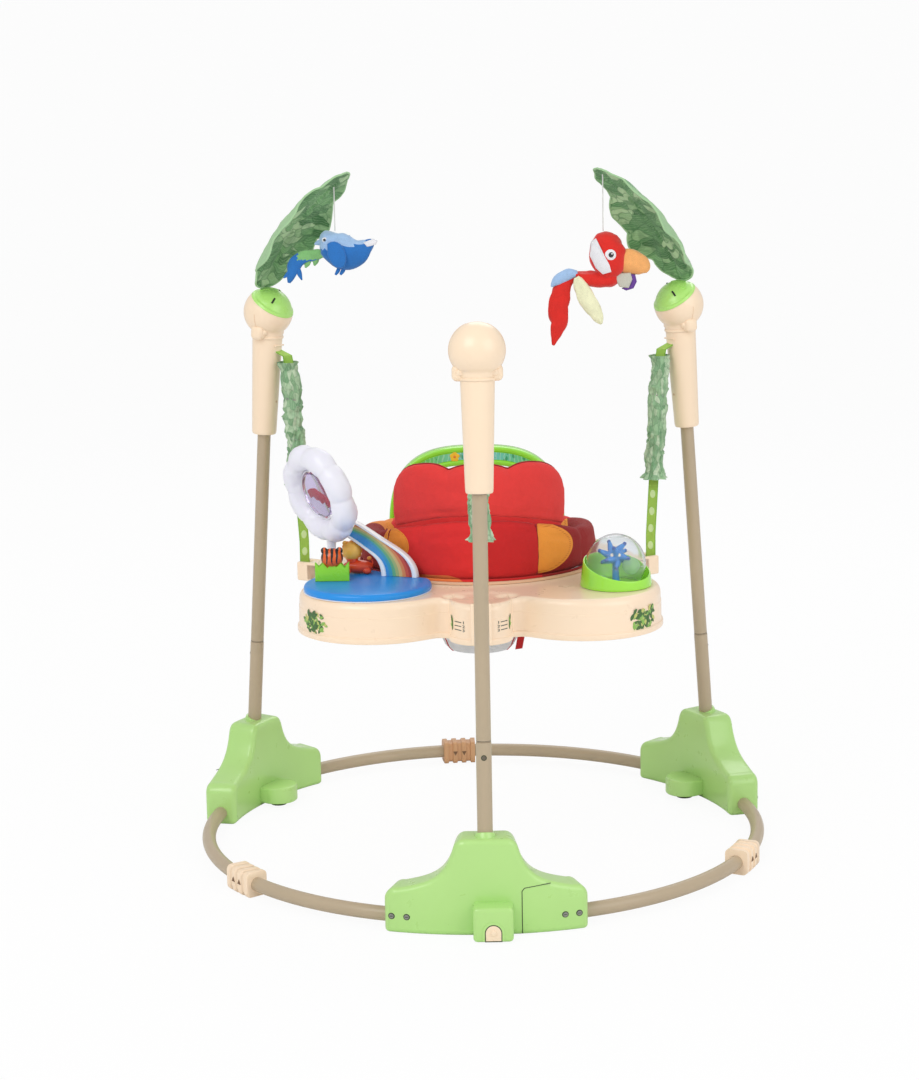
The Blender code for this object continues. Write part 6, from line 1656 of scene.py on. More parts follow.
flat_map(rim_piece)
trim = bmesh.new()
line = [on_ring(azimuth, 0.1893, 0.4722) for azimuth in range(0, 361, 3)]
add_solid(trim, wire_solid(line, 0.0022), 1)
for azimuth in (29.0, -48.5):
    line = []
    for k in range(2, 13):
        point = wrap_point(azimuth, (k - 6.5) / 13 * 0.42)
        line.append(point + (point - Vector((0, STAND_Y, point.z))).normalized() * 0.0006)
    add_solid(trim, wire_solid(line, 0.0008))
map_faces(trim, lambda co: (math.atan2(co.x, STAND_Y - co.y) * 0.17, co.z))
add_piece("seat_rim_binding", trim, [binding_red, rim_cloth], "seat", (), 180)


BACK_DIP = 0.305
BACK_ENDS = (50.6, 52.0)
BACK_STATIONS = 120
BACK_POINTS = 44


def back_lobe(share):
    """1 on the crown of each of the three lobes, 0 in the two dips between them."""
    off = abs(share)
    if off < BACK_DIP:
        return math.cos(math.pi / 2 * off / BACK_DIP) ** 0.45
    return math.sin(math.pi / 2 * min(1.0, (off - BACK_DIP) / 0.24)) ** 0.55


def back_edges(share):
    """Where a station of the back pad stands, its foot, its top and half its thickness."""
    azimuth = share * BACK_ENDS[int(share > 0)]
    bottom = max(wrap_top(azimuth - 1), wrap_top(azimuth + 1)) + 0.0006
    end = math.sqrt(max(0.0, 1 - abs(share) ** 5))
    top = 0.6535 - 0.0115 * (1 - back_lobe(share)) - 0.060 * (1 - end)
    return azimuth, bottom, top, 0.0142 * (0.35 + 0.65 * end)


def back_point(share, spot):
    azimuth, bottom, top, half = back_edges(share)
    across, up = boxed(math.tau * spot)
    part = (up + 1) / 2
    pull = (1 - back_lobe(share)) ** 2 * max(0.0, part - 0.55) / 0.45
    radius = 0.166 + across * half * (1 - 0.35 * pull)
    if across > 0.0:
        drape = noise.noise(Vector((share * 3.1, part * 4.4, 2.0)))
        radius += 0.0018 * drape - 0.0020 * math.exp(-((part - 0.16) / 0.05) ** 2)
    return on_ring(azimuth, radius, (bottom + top) / 2 + up * (top - bottom) / 2)


def back_station(i, reach):
    """Shares that crowd together towards both ends of the back pad."""
    return math.sin(math.pi / 2 * (2 * i / BACK_STATIONS - 1)) * reach


back = lofted([
    [back_point(back_station(i, 0.998), k / BACK_POINTS) for k in range(BACK_POINTS)]
    for i in range(BACK_STATIONS + 1)
])
back_piece = add_piece("seat_back_pad", back, back_cloth, "seat", ["seat_back"], 180)
settled(back_piece, 0.0042, 3.0, 0.0030)
flat_map(back_piece)
outline = []
for i in range(BACK_STATIONS + 1):
    spot = back_point(back_station(i, 0.997), 0.245)
    _, spot, normal, _ = back_piece.closest_point_on_mesh(spot)
    outline.append(spot + normal * 0.0005)
piping = wire_solid(outline, 0.0013)
map_faces(piping, lambda co: (co.x, co.z))
add_piece("seat_back_piping", piping, binding_red, "seat", (), 180)

# The sling: pale woven lining that hangs from the ring and narrows to the seat, with two bound
# leg holes and red tapes sewn over its seams.

SLING = [(1.0, 0.0), (0.985, 0.10), (0.97, 0.20), (0.90, 0.34), (0.79, 0.46), (0.64, 0.58),
         (0.50, 0.68),
         (0.40, 0.77), (0.345, 0.86), (0.315, 0.94), (0.28, 0.985), (0.15, 1.0), (0.06, 1.0)]
SLING_RIM = 0.1794
SLING_TOP = 0.4703
SLING_DROP = SLING_TOP - 0.3215
LEG_TURNS = (-38.0, 38.0)
LEG_RADIUS = 0.0465


def sling_point(azimuth, share):
    """A place on the sling, from its rim at 0 to the seat's middle at 1."""
    spot = share * (len(SLING) - 1)
    i = min(int(spot), len(SLING) - 2)
    t = spot - i
    radius, drop = (a + (b - a) * t for a, b in zip(SLING[i], SLING[i + 1]))
    fold = 0.0026 * math.sin(math.radians(azimuth) * 9 + 3 * share)
    fold *= math.sin(math.pi * min(1, share * 1.4))
    reach = max(SLING_RIM * radius - 0.0012 + fold, 0.002)
    return on_ring(azimuth, reach, SLING_TOP - SLING_DROP * drop)


def leg_axis(turn):
    """The line that a leg hole follows, from inside the sling to outside."""
    return on_ring(180 + turn, 0.05, 0.392), on_ring(180 + turn, 0.25, 0.362)


def carved(obj, cutters):
    """Cut closed shapes out of a piece."""
    bpy.context.view_layer.objects.active = obj
    for cutter in cutters:
        mesh = bpy.data.meshes.new("cutter")
        cutter.to_mesh(mesh)
        cutter.free()
        tool = linked("cutter", mesh)
        cut = obj.modifiers.new("cut", "BOOLEAN")
        cut.operation = "DIFFERENCE"
        cut.solver = "EXACT"
        cut.object = tool
        bpy.ops.object.modifier_apply(modifier=cut.name)
        bpy.data.objects.remove(tool)
        bpy.data.meshes.remove(mesh)


lining = woven("sling_lining", tone(226, 226, 230), 2200.0, 1.0, 0.8, 0.1)
sling = loops_of(120, [lambda azimuth, k=k: sling_point(azimuth, k / 40) for k in range(41)])
low_edges = [edge for edge in open_edges(sling) if edge.verts[0].co.z < 0.33]
bmesh.ops.holes_fill(sling, edges=low_edges, sides=0)
bmesh.ops.recalc_face_normals(sling, faces=sling.faces)
sling_area = sum(face.calc_area() for face in sling.faces) - 2 * math.pi * LEG_RADIUS**2
bmesh.ops.solidify(sling, geom=sling.faces[:], thickness=-0.0016)
sling_piece = add_piece("seat_sling", sling, lining, "seat", ["seat_bucket"], 60)
carved(sling_piece, [rod(LEG_RADIUS, *leg_axis(turn), 48) for turn in LEG_TURNS])
flat_map(sling_piece)


def sling_reach(height):
    """The sling's radius at a height."""
    drop = (SLING_TOP - height) / SLING_DROP
    for (r1, d1), (r2, d2) in zip(SLING, SLING[1:]):
        if d1 <= drop <= d2 and d2 > d1:
            return SLING_RIM * (r1 + (r2 - r1) * (drop - d1) / (d2 - d1))
    return SLING_RIM * 0.28


def onto_sling(ray, forward):
    """Where a line first meets the sling."""
    for step in range(400):
        spot = ray + forward * (step * 0.0005)
        if math.hypot(spot.x, spot.y - STAND_Y) >= sling_reach(spot.z) - 0.002:
            return spot
    return ray


tapes = bmesh.new()
for turn in LEG_TURNS:
    start, end = leg_axis(turn)
    forward = (end - start).normalized()
    across = forward.cross(Vector((0, 0, 1))).normalized()
    up = across.cross(forward)
    hem = [start + across * a + up * b for a, b in arc((0, 0), LEG_RADIUS, 0, 360, 61)]
    add_solid(tapes, wire_solid([onto_sling(spot, forward) for spot in hem], 0.0026))
for azimuth, last in ((-62, 29), (62, 29), (180, 24)):
    rail = [sling_point(azimuth, k / 30) for k in range(1, last)]
    rail = [p + (p - Vector((0, STAND_Y, p.z + 0.02))).normalized() * 0.0008 for p in rail]
    add_solid(tapes, wire_solid(rail, 0.0020, 1))
tab = slab([(-0.0075, 0.0), (0.0045, 0.001), (0.0110, 0.034), (-0.0010, 0.034)], 0.0022, 0.0009, 2)
tab_place = Matrix.Translation((0.064, STAND_Y - 0.030, 0.3240)) @ Matrix.Rotation(0.2, 4, "Z")
add_solid(tapes, move(tab, tab_place))
map_faces(tapes, lambda co: (co.x, co.z))
tape_red = woven("tape_red", tone(190, 30, 34), 3000.0, 0.9, 0.3)
add_piece("sling_tapes", tapes, tape_red, "seat", (), 180)

# The left toy plate: a glossy blue moulding, cut back for the seat, on a thin white rim that is a
# painted highlight.

DECK = 0.4663
TOY_DECK = 0.4783
PLATE_CENTRE = Vector((-0.172, -0.212))


def heading(azimuth):
    return Vector((math.sin(math.radians(azimuth)), -math.cos(math.radians(azimuth))))


def plate_reach(azimuth):
    """How far the toy plate reaches from its middle: an oval, softly cut by the seat's circle."""
    line = heading(azimuth)
    oval = 1 / math.hypot(line.x / 0.098, line.y / 0.094)
    toward = -PLATE_CENTRE.dot(line)
    room = toward**2 - (PLATE_CENTRE.length_squared - 0.2010**2)
    if toward <= 0 or room <= 0:
        return oval
    cut = toward - math.sqrt(room)
    return -math.log(math.exp(-420 * oval) + math.exp(-420 * cut)) / 420


def plate_ring(inset, height):
    def place(azimuth):
        spot = PLATE_CENTRE + heading(azimuth) * (plate_reach(azimuth) - inset)
        return Vector((spot.x, spot.y + STAND_Y, height))
    return place


def closed_up(bm):
    bmesh.ops.holes_fill(bm, edges=open_edges(bm), sides=0)
    return bm


steps = [plate_ring(0.0016, 0.4674), plate_ring(0.0004, 0.4682), plate_ring(0.0, 0.4700)]
for turn in (math.radians(angle) for angle in range(0, 91, 15)):
    steps.append(plate_ring(0.0060 * (1 - math.cos(turn)), 0.4718 + 0.0060 * math.sin(turn)))
steps += [plate_ring(0.020, 0.4782), plate_ring(0.040, 0.4783)]
plate = closed_up(loops_of(180, steps))
blue_plate = moulded("plate_blue", tone(24, 142, 228), 0.34, 0.04, coat=0.05)
add_piece("toy_plate", plate, blue_plate, "tray", ["toy_base"], 40)
# Painted highlight: the thin white rim under the plate's foot.
highlight_rim = closed_up(loops_of(180, [
    plate_ring(0.0020, 0.4664), plate_ring(-0.0006, 0.4664), plate_ring(-0.0008, 0.4672),
    plate_ring(0.0010, 0.4677), plate_ring(0.0030, 0.4677),
]))
highlight_white = moulded("highlight_white", tone(244, 246, 248), 0.4, 0.03)
add_piece("toy_plate_highlight_rim", highlight_rim, highlight_white, "tray", (), 40)

# The rainbow: a white moulded slide with two raised rims and printed stripes between them.

RAINBOW_PLACE = Matrix.Translation((-0.225, -0.137 + STAND_Y, TOY_DECK + 0.0003)) @ turned(-20)
RAINBOW_FLARE = 0.014
STRIPES = [(66, 150, 216), (62, 160, 190), (104, 176, 128), (168, 184, 116), (222, 186, 120),
           (228, 140, 84), (214, 86, 62), (186, 60, 54)]


def rainbow_size(share, angle):
    """The band's half width and its height, at a share of the way from its inner edge."""
    return 0.079 + (0.045 + RAINBOW_FLARE * math.cos(angle) ** 6) * share, 0.064 + 0.028 * share


def rainbow_at(share, angle, deep):
    """A point of the band: across it from its inner edge at 0, and along it by the angle."""
    across, tall = rainbow_size(share, angle)
    sag = 1 - 0.17 * math.sin(2 * angle) ** 2
    return RAINBOW_PLACE @ Vector((across * math.cos(angle), deep, tall * sag * math.sin(angle)))


def band(low, high, deep, rounding, stations=60):
    """A part of the band between two shares of its width, with rounded corners."""
    return lofted([
        [rainbow_at(low + (high - low) * share, angle, deep * depth) for share, depth in rounding]
        for angle in (math.radians(72.0 * i / stations) for i in range(stations + 1))
    ])


ROUND_CORNERS = [(0.5, 1), (0.78, 0.97), (0.94, 0.85), (1, 0.62), (1, -0.62), (0.94, -0.85),
                 (0.78, -0.97),
                 (0.5, -1), (0.22, -0.97), (0.06, -0.85), (0, -0.62), (0, 0.62), (0.06, 0.85),
                 (0.22, 0.97)]
slide = band(0.0, 0.135, 0.0066, ROUND_CORNERS)
add_solid(slide, band(0.865, 1.0, 0.0066, ROUND_CORNERS))
rainbow_white = moulded("rainbow_white", tone(246, 247, 250), 0.25, 0.03, coat=0.4)
add_piece("rainbow_rims", slide, rainbow_white, "tray", ["rainbow_arch"])


def rainbow_share(point):
    """The reverse of rainbow_at: the share across the band and the angle along it."""
    local = RAINBOW_PLACE.inverted() @ point
    low, high = -0.2, 1.2
    for _ in range(24):
        middle = (low + high) / 2
        angle = math.asin(max(0.0, min(1.0, local.z / (0.064 + 0.028 * middle))))
        across, tall = rainbow_size(middle, angle)
        if math.hypot(local.x / across, local.z / tall) > 1:
            low = middle
        else:
            high = middle
    return low, math.atan2(local.z, local.x)


def place_of(tree, kind="UV"):
    """The place on the piece's map or in the part, as a whole and by its axes."""
    place = tree.nodes.new("ShaderNodeTexCoord").outputs[kind]
    apart = tree.nodes.new("ShaderNodeSeparateXYZ")
    tree.links.new(place, apart.inputs[0])
    return place, apart.outputs


def stripes(tree):
    """Printed stripes across a band, from blue inside to red outside, with soft edges."""
    stops = [(0, STRIPES[0])]
    for i, (before, after) in enumerate(zip(STRIPES, STRIPES[1:]), start=1):
        edge = 0.13 + 0.74 * i / len(STRIPES)
        stops += [(edge - 0.008, before), (edge + 0.008, after)]
    return ramp_of(tree, place_of(tree)[1]["X"], stops)


web = band(0.128, 0.872, 0.0035, [(1, 1), (1, 0), (1, -1), (0, -1), (0, 0), (0, 1)])
map_faces(web, rainbow_share)
web_paint = moulded("rainbow_stripes", tone(255, 255, 255), 0.28, 0.03, coat=0.4, source=stripes)
add_piece("rainbow_web", web, web_paint, "tray")

# The cloud: a puffy blow-moulded ring in pearly lavender on a short stem, and in it a clear
# drum on an axle, with a loose red piece inside.

CLOUD_CENTRE = Vector((-0.244, -0.162 + STAND_Y, 0.608))
CLOUD_RADIUS = 0.0585
FACING = Vector((0.77, 0.57, 0.28)).normalized()
cloud_up = (Vector((0, 0, 1)) - FACING * FACING.z).normalized()
cloud_axes = Matrix((cloud_up.cross(FACING), cloud_up, FACING)).transposed()
CLOUD_PLACE = Matrix.Translation(CLOUD_CENTRE) @ cloud_axes.to_4x4()


def cloud_point(turn, angle):
    puff = 0.0048 * abs(math.sin(4 * turn)) ** 0.7
    swell = 0.0172 + puff * (1 + math.cos(angle)) / 2
    spot = Vector((math.cos(turn) * 2, math.sin(turn) * 2, min(angle, math.tau - angle) * 0.9))
    swell += 0.0014 * noise.noise(spot * 1.6) + 0.0007 * noise.noise(spot * 4.1)
    radius = CLOUD_RADIUS + swell * math.cos(angle)
    spot = Vector((radius * math.cos(turn), radius * math.sin(turn), swell * math.sin(angle)))
    return CLOUD_PLACE @ spot


def cloud_skin():
    """Pearly plastic: lavender where it turns away, with a slight glow of light inside."""
    colour = moulded("cloud_pearl", tone(238, 237, 248), 0.38, 0.06, coat=0.2)
    shader = colour.node_tree.nodes["Principled BSDF"]
    shader.inputs["Subsurface Weight"].default_value = 0.25
    shader.inputs["Subsurface Radius"].default_value = (0.9, 0.8, 1.0)
    shader.inputs["Subsurface Scale"].default_value = 0.004
    return colour


cloud = lofted([
    [cloud_point(math.tau * i / 160, math.tau * k / 32) for k in range(32)] for i in range(160)
], closed=True)
lip = [(0.0412, -0.0050), (0.0412, 0.0050), (0.0396, 0.0050), (0.0396, -0.0050)]
add_solid(cloud, move(spun(lip, 96), CLOUD_PLACE))
foot = CLOUD_PLACE @ Vector((0, -0.0670, 0))
stem = []
for radius, height in (
    (0.0098, 0.0), (0.0098, 0.003), (0.0070, 0.0065), (0.0058, 0.012), (0.0060, 0.030),
    (0.0072, 0.044), (0.0098, 0.056),
):
    middle = Vector((foot.x, foot.y, TOY_DECK + 0.0003)).lerp(foot, height / 0.056)
    turns = (math.tau * k / 28 for k in range(28))
    stem.append([middle + Vector((math.cos(t), math.sin(t), 0)) * radius for t in turns])
add_solid(cloud, lofted(stem))
add_piece("cloud_shell", cloud, cloud_skin(), "tray", ["cloud_ring"], 50)


def clear_plastic(name, colour, roughness, ior=1.3, clear=0.96):
    """Clear moulded plastic: it lets nearly all light through, with faint wavy gloss."""
    paint = moulded(name, colour, roughness, 0.02)
    tree = paint.node_tree
    shader = tree.nodes["Principled BSDF"]
    shader.inputs["Transmission Weight"].default_value = clear
    shader.inputs["IOR"].default_value = ior
    by_ray(tree, "Is Shadow Ray", shader, tree.nodes.new("ShaderNodeBsdfTransparent"))
    return paint


clear_lavender = clear_plastic("clear_lavender", tone(236, 230, 248), 0.05, 1.2)
rattle_red = moulded("rattle_red", tone(206, 64, 66), 0.3, 0.35, coat=0.2)
drum = spun([
    (0.0, 0.0072), (0.0352, 0.0072), (0.0364, 0.0066), (0.0368, 0.0056), (0.0368, -0.0056),
    (0.0364, -0.0066), (0.0352, -0.0072), (0.0, -0.0072), (0.0, -0.0064), (0.0350, -0.0064),
    (0.0360, -0.0054), (0.0360, 0.0054), (0.0350, 0.0064), (0.0, 0.0064),
], 96, closed=False)
move(drum, CLOUD_PLACE)
add_piece("spinner_drum", drum, clear_lavender, "spinner", ["cloud_spinner"], 30)
rattle = bmesh.new()
reach = CLOUD_RADIUS - 0.0175 - 0.0008
for sign in (-1, 1):
    add_solid(rattle, rod(0.0019, (0, sign * 0.0366, 0), (0, sign * reach, 0), 16))
teeth = [(-0.029, -0.004)]
for i in range(9):
    teeth.append((-0.029 + 0.00725 * i, -0.001 + 0.0050 * (i % 2) + 0.0015 * math.sin(i * 2.1)))
teeth += [(0.029, -0.006), (0.020, -0.013), (0.008, -0.018), (-0.006, -0.016), (-0.020, -0.015),
          (-0.027, -0.010)]
lie = Matrix.Translation((0, -0.009, 0)) @ turned(14) @ turned(90, "X")
add_solid(rattle, move(slab(teeth, 0.0030, 0.0008, 2), lie))
move(rattle, CLOUD_PLACE)
add_piece("spinner_rattle", rattle, rattle_red, "spinner", (), 30)

# The tiger: an orange head with painted stripes that looks over a tuft of lime grass towards
# the seat, on a foot that turns.

TIGER = Vector((-0.2265, -0.197 + STAND_Y, TOY_DECK + 0.0003))
HEAD = TIGER + Vector((0, 0, 0.030 + 0.0155 * 0.35))


def add_balls(bm, base, *rows):
    """Balls from a table of places from a base, sizes, sides and materials."""
    for place, size, sides, index in rows:
        add_solid(bm, ball(base + Vector(place), size, sides), index)


def painted_stripes(tree):
    """Dark stripes that run down from the crown and thin out towards their ends."""
    place = place_of(tree, "Object")[0]
    moved = tree.nodes.new("ShaderNodeVectorMath")
    moved.operation = "SUBTRACT"
    moved.inputs[1].default_value = HEAD
    tree.links.new(place, moved.inputs[0])
    apart = tree.nodes.new("ShaderNodeSeparateXYZ")
    tree.links.new(moved.outputs[0], apart.inputs[0])
    bend = times(tree, noisy(tree, place, 95, 1.0), 2.2)
    wave = math_node(tree, "SINE", plus(tree, times(tree, apart.outputs["X"], 820.0), bend))
    fade = times(tree, plus(tree, apart.outputs["Z"], 0.004), 60.0)
    mask = math_node(tree, "GREATER_THAN", plus(tree, wave, fade), 0.72)
    behind = math_node(tree, "LESS_THAN", apart.outputs["Y"], 0.0060)
    return mixed(tree, times(tree, mask, behind), TIGER_ORANGE, tone(30, 24, 22))


TIGER_ORANGE = tone(232, 98, 34)
grass_lime = moulded("grass_lime", tone(142, 222, 52), 0.28, 0.06, coat=0.3)
tiger_fur = moulded("tiger_orange", TIGER_ORANGE, 0.3, 0.06, coat=0.3, source=painted_stripes)
face_cream = moulded("face_cream", tone(248, 234, 208), 0.35, 0.04)
nose_black = moulded("nose_black", tone(34, 28, 28), 0.25, 0.04)
cub = ball(HEAD, (0.0172, 0.0140, 0.0150))
for side in (-1, 1):
    add_balls(
        cub, HEAD,
        ((side * 0.0116, 0, 0.0112), (0.0054, 0.0034, 0.0054), 20, 0),
        ((side * 0.0116, 0.0020, 0.0112), (0.0034, 0.0022, 0.0034), 16, 1),
        ((side * 0.0042, 0.0112, -0.0050), (0.0052, 0.0044, 0.0042), 20, 1),
        ((side * 0.0062, 0.0118, 0.0030), (0.0018, 0.0014, 0.0024), 14, 2),
    )
add_balls(cub, HEAD, ((0, 0.0150, -0.0020), (0.0024, 0.0018, 0.0017), 14, 2))
add_balls(cub, TIGER, ((0, 0, 0.016), (0.0150, 0.0065, 0.0145), 32, 0))
tiger_paints = [tiger_fur, face_cream, nose_black]
add_piece("tiger_cub", cub, tiger_paints, "tiger", ["tiger_toy"], 50)
tuft = bmesh.new()
for face, lean in ((-1, 0.0), (1, 0.5)):
    teeth = [(-0.0262, 0.0), (0.0262, 0.0)]
    for i in range(5):
        right = 0.0262 - 0.0524 * i / 4
        teeth.append((right, 0.0300 - 0.0018 * ((i + (face > 0)) % 2)))
        if i < 4:
            teeth.append((right - 0.0066 - lean * 0.002, 0.0208 + 0.0014 * (i % 2)))
    blade = slab(teeth, 0.0030, 0.0009, 2)
    add_solid(tuft, move(blade, TIGER + Vector((0, face * 0.0065, 0))))
add_solid(tuft, soft_block((0.0500, 0.0135, 0.0150), TIGER + Vector((0, 0, 0.0076)), 0.0014))
add_piece("tiger_grass", tuft, grass_lime, "tiger", (), 30)

# The lion: a small lying figure moulded in red-orange, with a golden head and mane.

LION = Vector((-0.190, -0.146 + STAND_Y, TOY_DECK + 0.0003))
LION_HEAD = LION + Vector((-0.008, 0, 0.0357))
# Painted light: the gold is lighter than the figure's own, to make up for the shade of the rainbow
# and cloud over it.
lightened_lion_gold = moulded("lightened_lion_gold", tone(255, 196, 88), 0.32, 0.08, coat=0.2)
lion_red = moulded("lion_red", tone(226, 74, 40), 0.32, 0.08, coat=0.2)
lion_mane = moulded("lion_mane", tone(255, 170, 70), 0.36, 0.10, coat=0.1)
lion = bmesh.new()
add_balls(
    lion, LION,
    ((0.001, 0, 0.0105), (0.0245, 0.0128, 0.0104), 32, 1),
    *[((x, y, 0.0052), (0.0072, 0.0050, 0.0050), 20, 1)
      for x, y in ((-0.016, 0.008), (-0.016, -0.008), (0.015, 0.0085), (0.015, -0.0085))],
    ((-0.008, 0, 0.0357), (0.0150, 0.0135, 0.0148), 32, 0),
    ((-0.0075, 0, 0.0215), (0.0090, 0.0085, 0.0100), 24, 1),
)
for i in range(12):
    turn = math.tau * i / 12
    place = (math.cos(turn) * 0.0122, 0.0010, math.sin(turn) * 0.0122)
    add_balls(lion, LION_HEAD, (place, (0.0046, 0.0060, 0.0046), 16, 2))
for side in (-1, 1):
    add_balls(
        lion, LION_HEAD,
        ((side * 0.0105, 0.0010, 0.0120), (0.0040, 0.0030, 0.0040), 16, 0),
        ((side * 0.0034, 0.0115, -0.0040), (0.0042, 0.0036, 0.0034), 16, 3),
        ((side * 0.0052, 0.0120, 0.0034), (0.0015, 0.0013, 0.0021), 12, 4),
    )
add_balls(lion, LION_HEAD, ((0, 0.0146, -0.0014), (0.0021, 0.0016, 0.0015), 12, 4))
tail = [LION + Vector(p) for p in ((0.022, 0, 0.011), (0.0260, 0.002, 0.016),
                                   (0.0235, 0.001, 0.022), (0.0190, 0, 0.0235))]
add_solid(lion, wire_solid(bezier(*tail, 12), 0.0017), 1)
add_balls(lion, tail[-1], ((0, 0, 0), (0.0038, 0.0030, 0.0030), 16, 2))
lion_paints = [lightened_lion_gold, lion_red, lion_mane, face_cream, nose_black]
add_piece("lion_figure", lion, lion_paints, "tray", ["lion_toy"], 50)

# The dome toy: a lime cup scooped low in front, a clear ball that turns in it, and inside the
# ball a spiky blue creature beside a small translucent green ball.

DOME = Vector((0.2090, -0.2080 + STAND_Y, 0.0))
DOME_FLOOR = DECK + 0.003 + 0.0003
SHELL_ROOM = 0.0480


def cup_rim(azimuth):
    """The height of the cup's wall: a slanted cut, lowest towards the front."""
    downhill = heading(azimuth).dot(Vector((0.6, -0.8)))
    slanted = 0.0300 - 0.30 * 0.052 * downhill
    return -math.log(math.exp(-600 * slanted) + math.exp(-600 * 0.0440)) / 600


def cup_floor(radius, height):
    def place(azimuth):
        line = heading(azimuth)
        return Vector((DOME.x + line.x * radius, DOME.y + line.y * radius, DECK + height))
    return place


def cup_ring(off, share, lift=0.0):
    """A ring of the cup at a share of its wall's height, moved in by off."""
    def place(azimuth):
        height = max((cup_rim(azimuth) + lift) * share, 0.0)
        return cup_floor(0.0550 - 0.1375 * max(0.0, height - 0.004) - off, height)(azimuth)
    return place


cup_steps = [cup_floor(radius, height) for radius, height in (
    (0.020, 0.0), (0.0535, 0.0), (0.0547, 0.0004), (0.0552, 0.0016), (0.0550, 0.0040)
)]
cup_steps += [cup_ring(0.0, share, -0.001) for share in (0.25, 0.5, 0.75, 0.9, 1.0)]
cup_steps += [cup_ring(off, 1.0, lift) for off, lift in (
    (0.0003, -0.0004), (0.0009, 0.0), (0.0018, -0.0002), (0.0023, -0.0010)
)]
cup_steps += [cup_floor(0.0472, 0.0120), cup_floor(0.0472, 0.0034), cup_floor(0.020, 0.0032)]
cup_lime = moulded("cup_lime", tone(160, 236, 74), 0.16, 0.05, coat=0.6)
cup = loops_of(96, cup_steps)
for vert in cup.verts:
    lean = Vector((vert.co.x - DOME.x, vert.co.y - DOME.y))
    if lean.length < SHELL_ROOM and vert.co.z > DECK + 0.013:
        lean *= SHELL_ROOM / lean.length
        vert.co.x, vert.co.y = DOME.x + lean.x, DOME.y + lean.y
add_piece("dome_cup", closed_up(cup), cup_lime, "tray", ["dome_base"], 40)

globe, hollow = ball((0, 0, 0), 0.046, 96), ball((0, 0, 0), 0.0447, 96)
bmesh.ops.reverse_faces(hollow, faces=hollow.faces)
for shell in (globe, hollow):
    bmesh.ops.bisect_plane(shell, geom=shell.verts[:] + shell.edges[:] + shell.faces[:],
                           plane_co=(0, 0, -0.0298), plane_no=(0, 0, 1), clear_inner=True)
add_solid(globe, hollow)
bmesh.ops.bridge_loops(globe, edges=open_edges(globe))
add_solid(globe, spun(round_section(0.0006, 10, Vector((0.0460, 0, 0))), 96))
move(globe, (DOME.x, DOME.y, DOME_FLOOR + 0.0300))
globe_clear = clear_plastic("globe_clear", tone(250, 252, 255), 0.02, 1.16)
add_piece("clear_globe", globe, globe_clear, "dome", ["dome"], 60)

CREATURE_ARMS = 12
ARM_RADIUS = 0.0062
creature_blue = moulded("creature_blue", tone(44, 130, 204), 0.20, 0.08, coat=0.5)
creature_dark = moulded("creature_dark", tone(24, 84, 160), 0.20, 0.08, coat=0.5)
heart = Vector((DOME.x - 0.001, DOME.y, DOME_FLOOR + 0.041))
beast = ball(heart, (0.0130, 0.0120, 0.0125))
for i in range(CREATURE_ARMS):
    rise = 1 - 2 * (i + 0.5) / CREATURE_ARMS
    turn = i * 2.39996
    flat = math.sqrt(1 - rise**2)
    line = Vector((flat * math.cos(turn), flat * math.sin(turn), rise))
    if rise < -0.75:
        continue
    bow = line.cross(Vector((0.3, -0.5, 0.8))).normalized()
    tip = heart + line * (0.0235 + 0.0025 * math.sin(i * 1.7))
    near, late = heart + line * 0.015, tip + bow * 0.0050 - line * 0.004
    path = bezier(heart + line * 0.008, near, late, tip + bow * 0.0055, 9)
    for k in range(len(path) - 1):
        thin = ARM_RADIUS * (1 - (k + 1) / 13)
        add_solid(beast, rod(ARM_RADIUS * (1 - k / 13), path[k], path[k + 1], 14, thin))
        add_solid(beast, ball(path[k + 1], thin, 14))
    add_solid(beast, ball(path[-1], 0.0032, 16), 1)
base = Vector((DOME.x, DOME.y, DOME_FLOOR))
add_solid(beast, rod(0.0086, base, base + Vector((0, 0, 0.0030)), 32, 0.0080, edge=0.0006))
neck = base + Vector((-0.001, 0, 0.034))
add_solid(beast, rod(0.0058, base + Vector((0, 0, 0.0028)), neck, 24, 0.0042))
for side in (-1, 1):
    add_balls(beast, heart, ((side * 0.0054, -0.0108, 0.0040), (0.0026, 0.0018, 0.0028), 14, 2))
beast_paints = [creature_blue, creature_dark, face_cream]
add_piece("spiky_creature", beast, beast_paints, "dome", ["dome_creature"], 50)
pebble = bmesh.new()
add_balls(pebble, base, ((0.0225, -0.010, 0.0280), 0.0135, 40, 0),
          ((-0.0215, -0.012, 0.0075), 0.0070, 24, 0))
green_glow = clear_plastic("green_glow", tone(166, 214, 150), 0.12, 1.25, 0.45)
add_piece("green_pebbles", pebble, green_glow, "dome", (), 60)

# The toy arch on the far lobe: a lime moulding with raised edges and, over its crown, a
# printed panel with a plain leaf and flower pattern.


def arch_point(share, inset, y):
    """A point over the arch from its right foot at 0 to its left foot at 1."""
    across, up = boxed(math.pi * share, ARCH_POWER)
    half, rise = 0.149 - 0.024 * inset, 0.6200 - DECK - 0.032 * inset
    return Vector((half * across, ARCH_Y + y, DECK + rise * up))


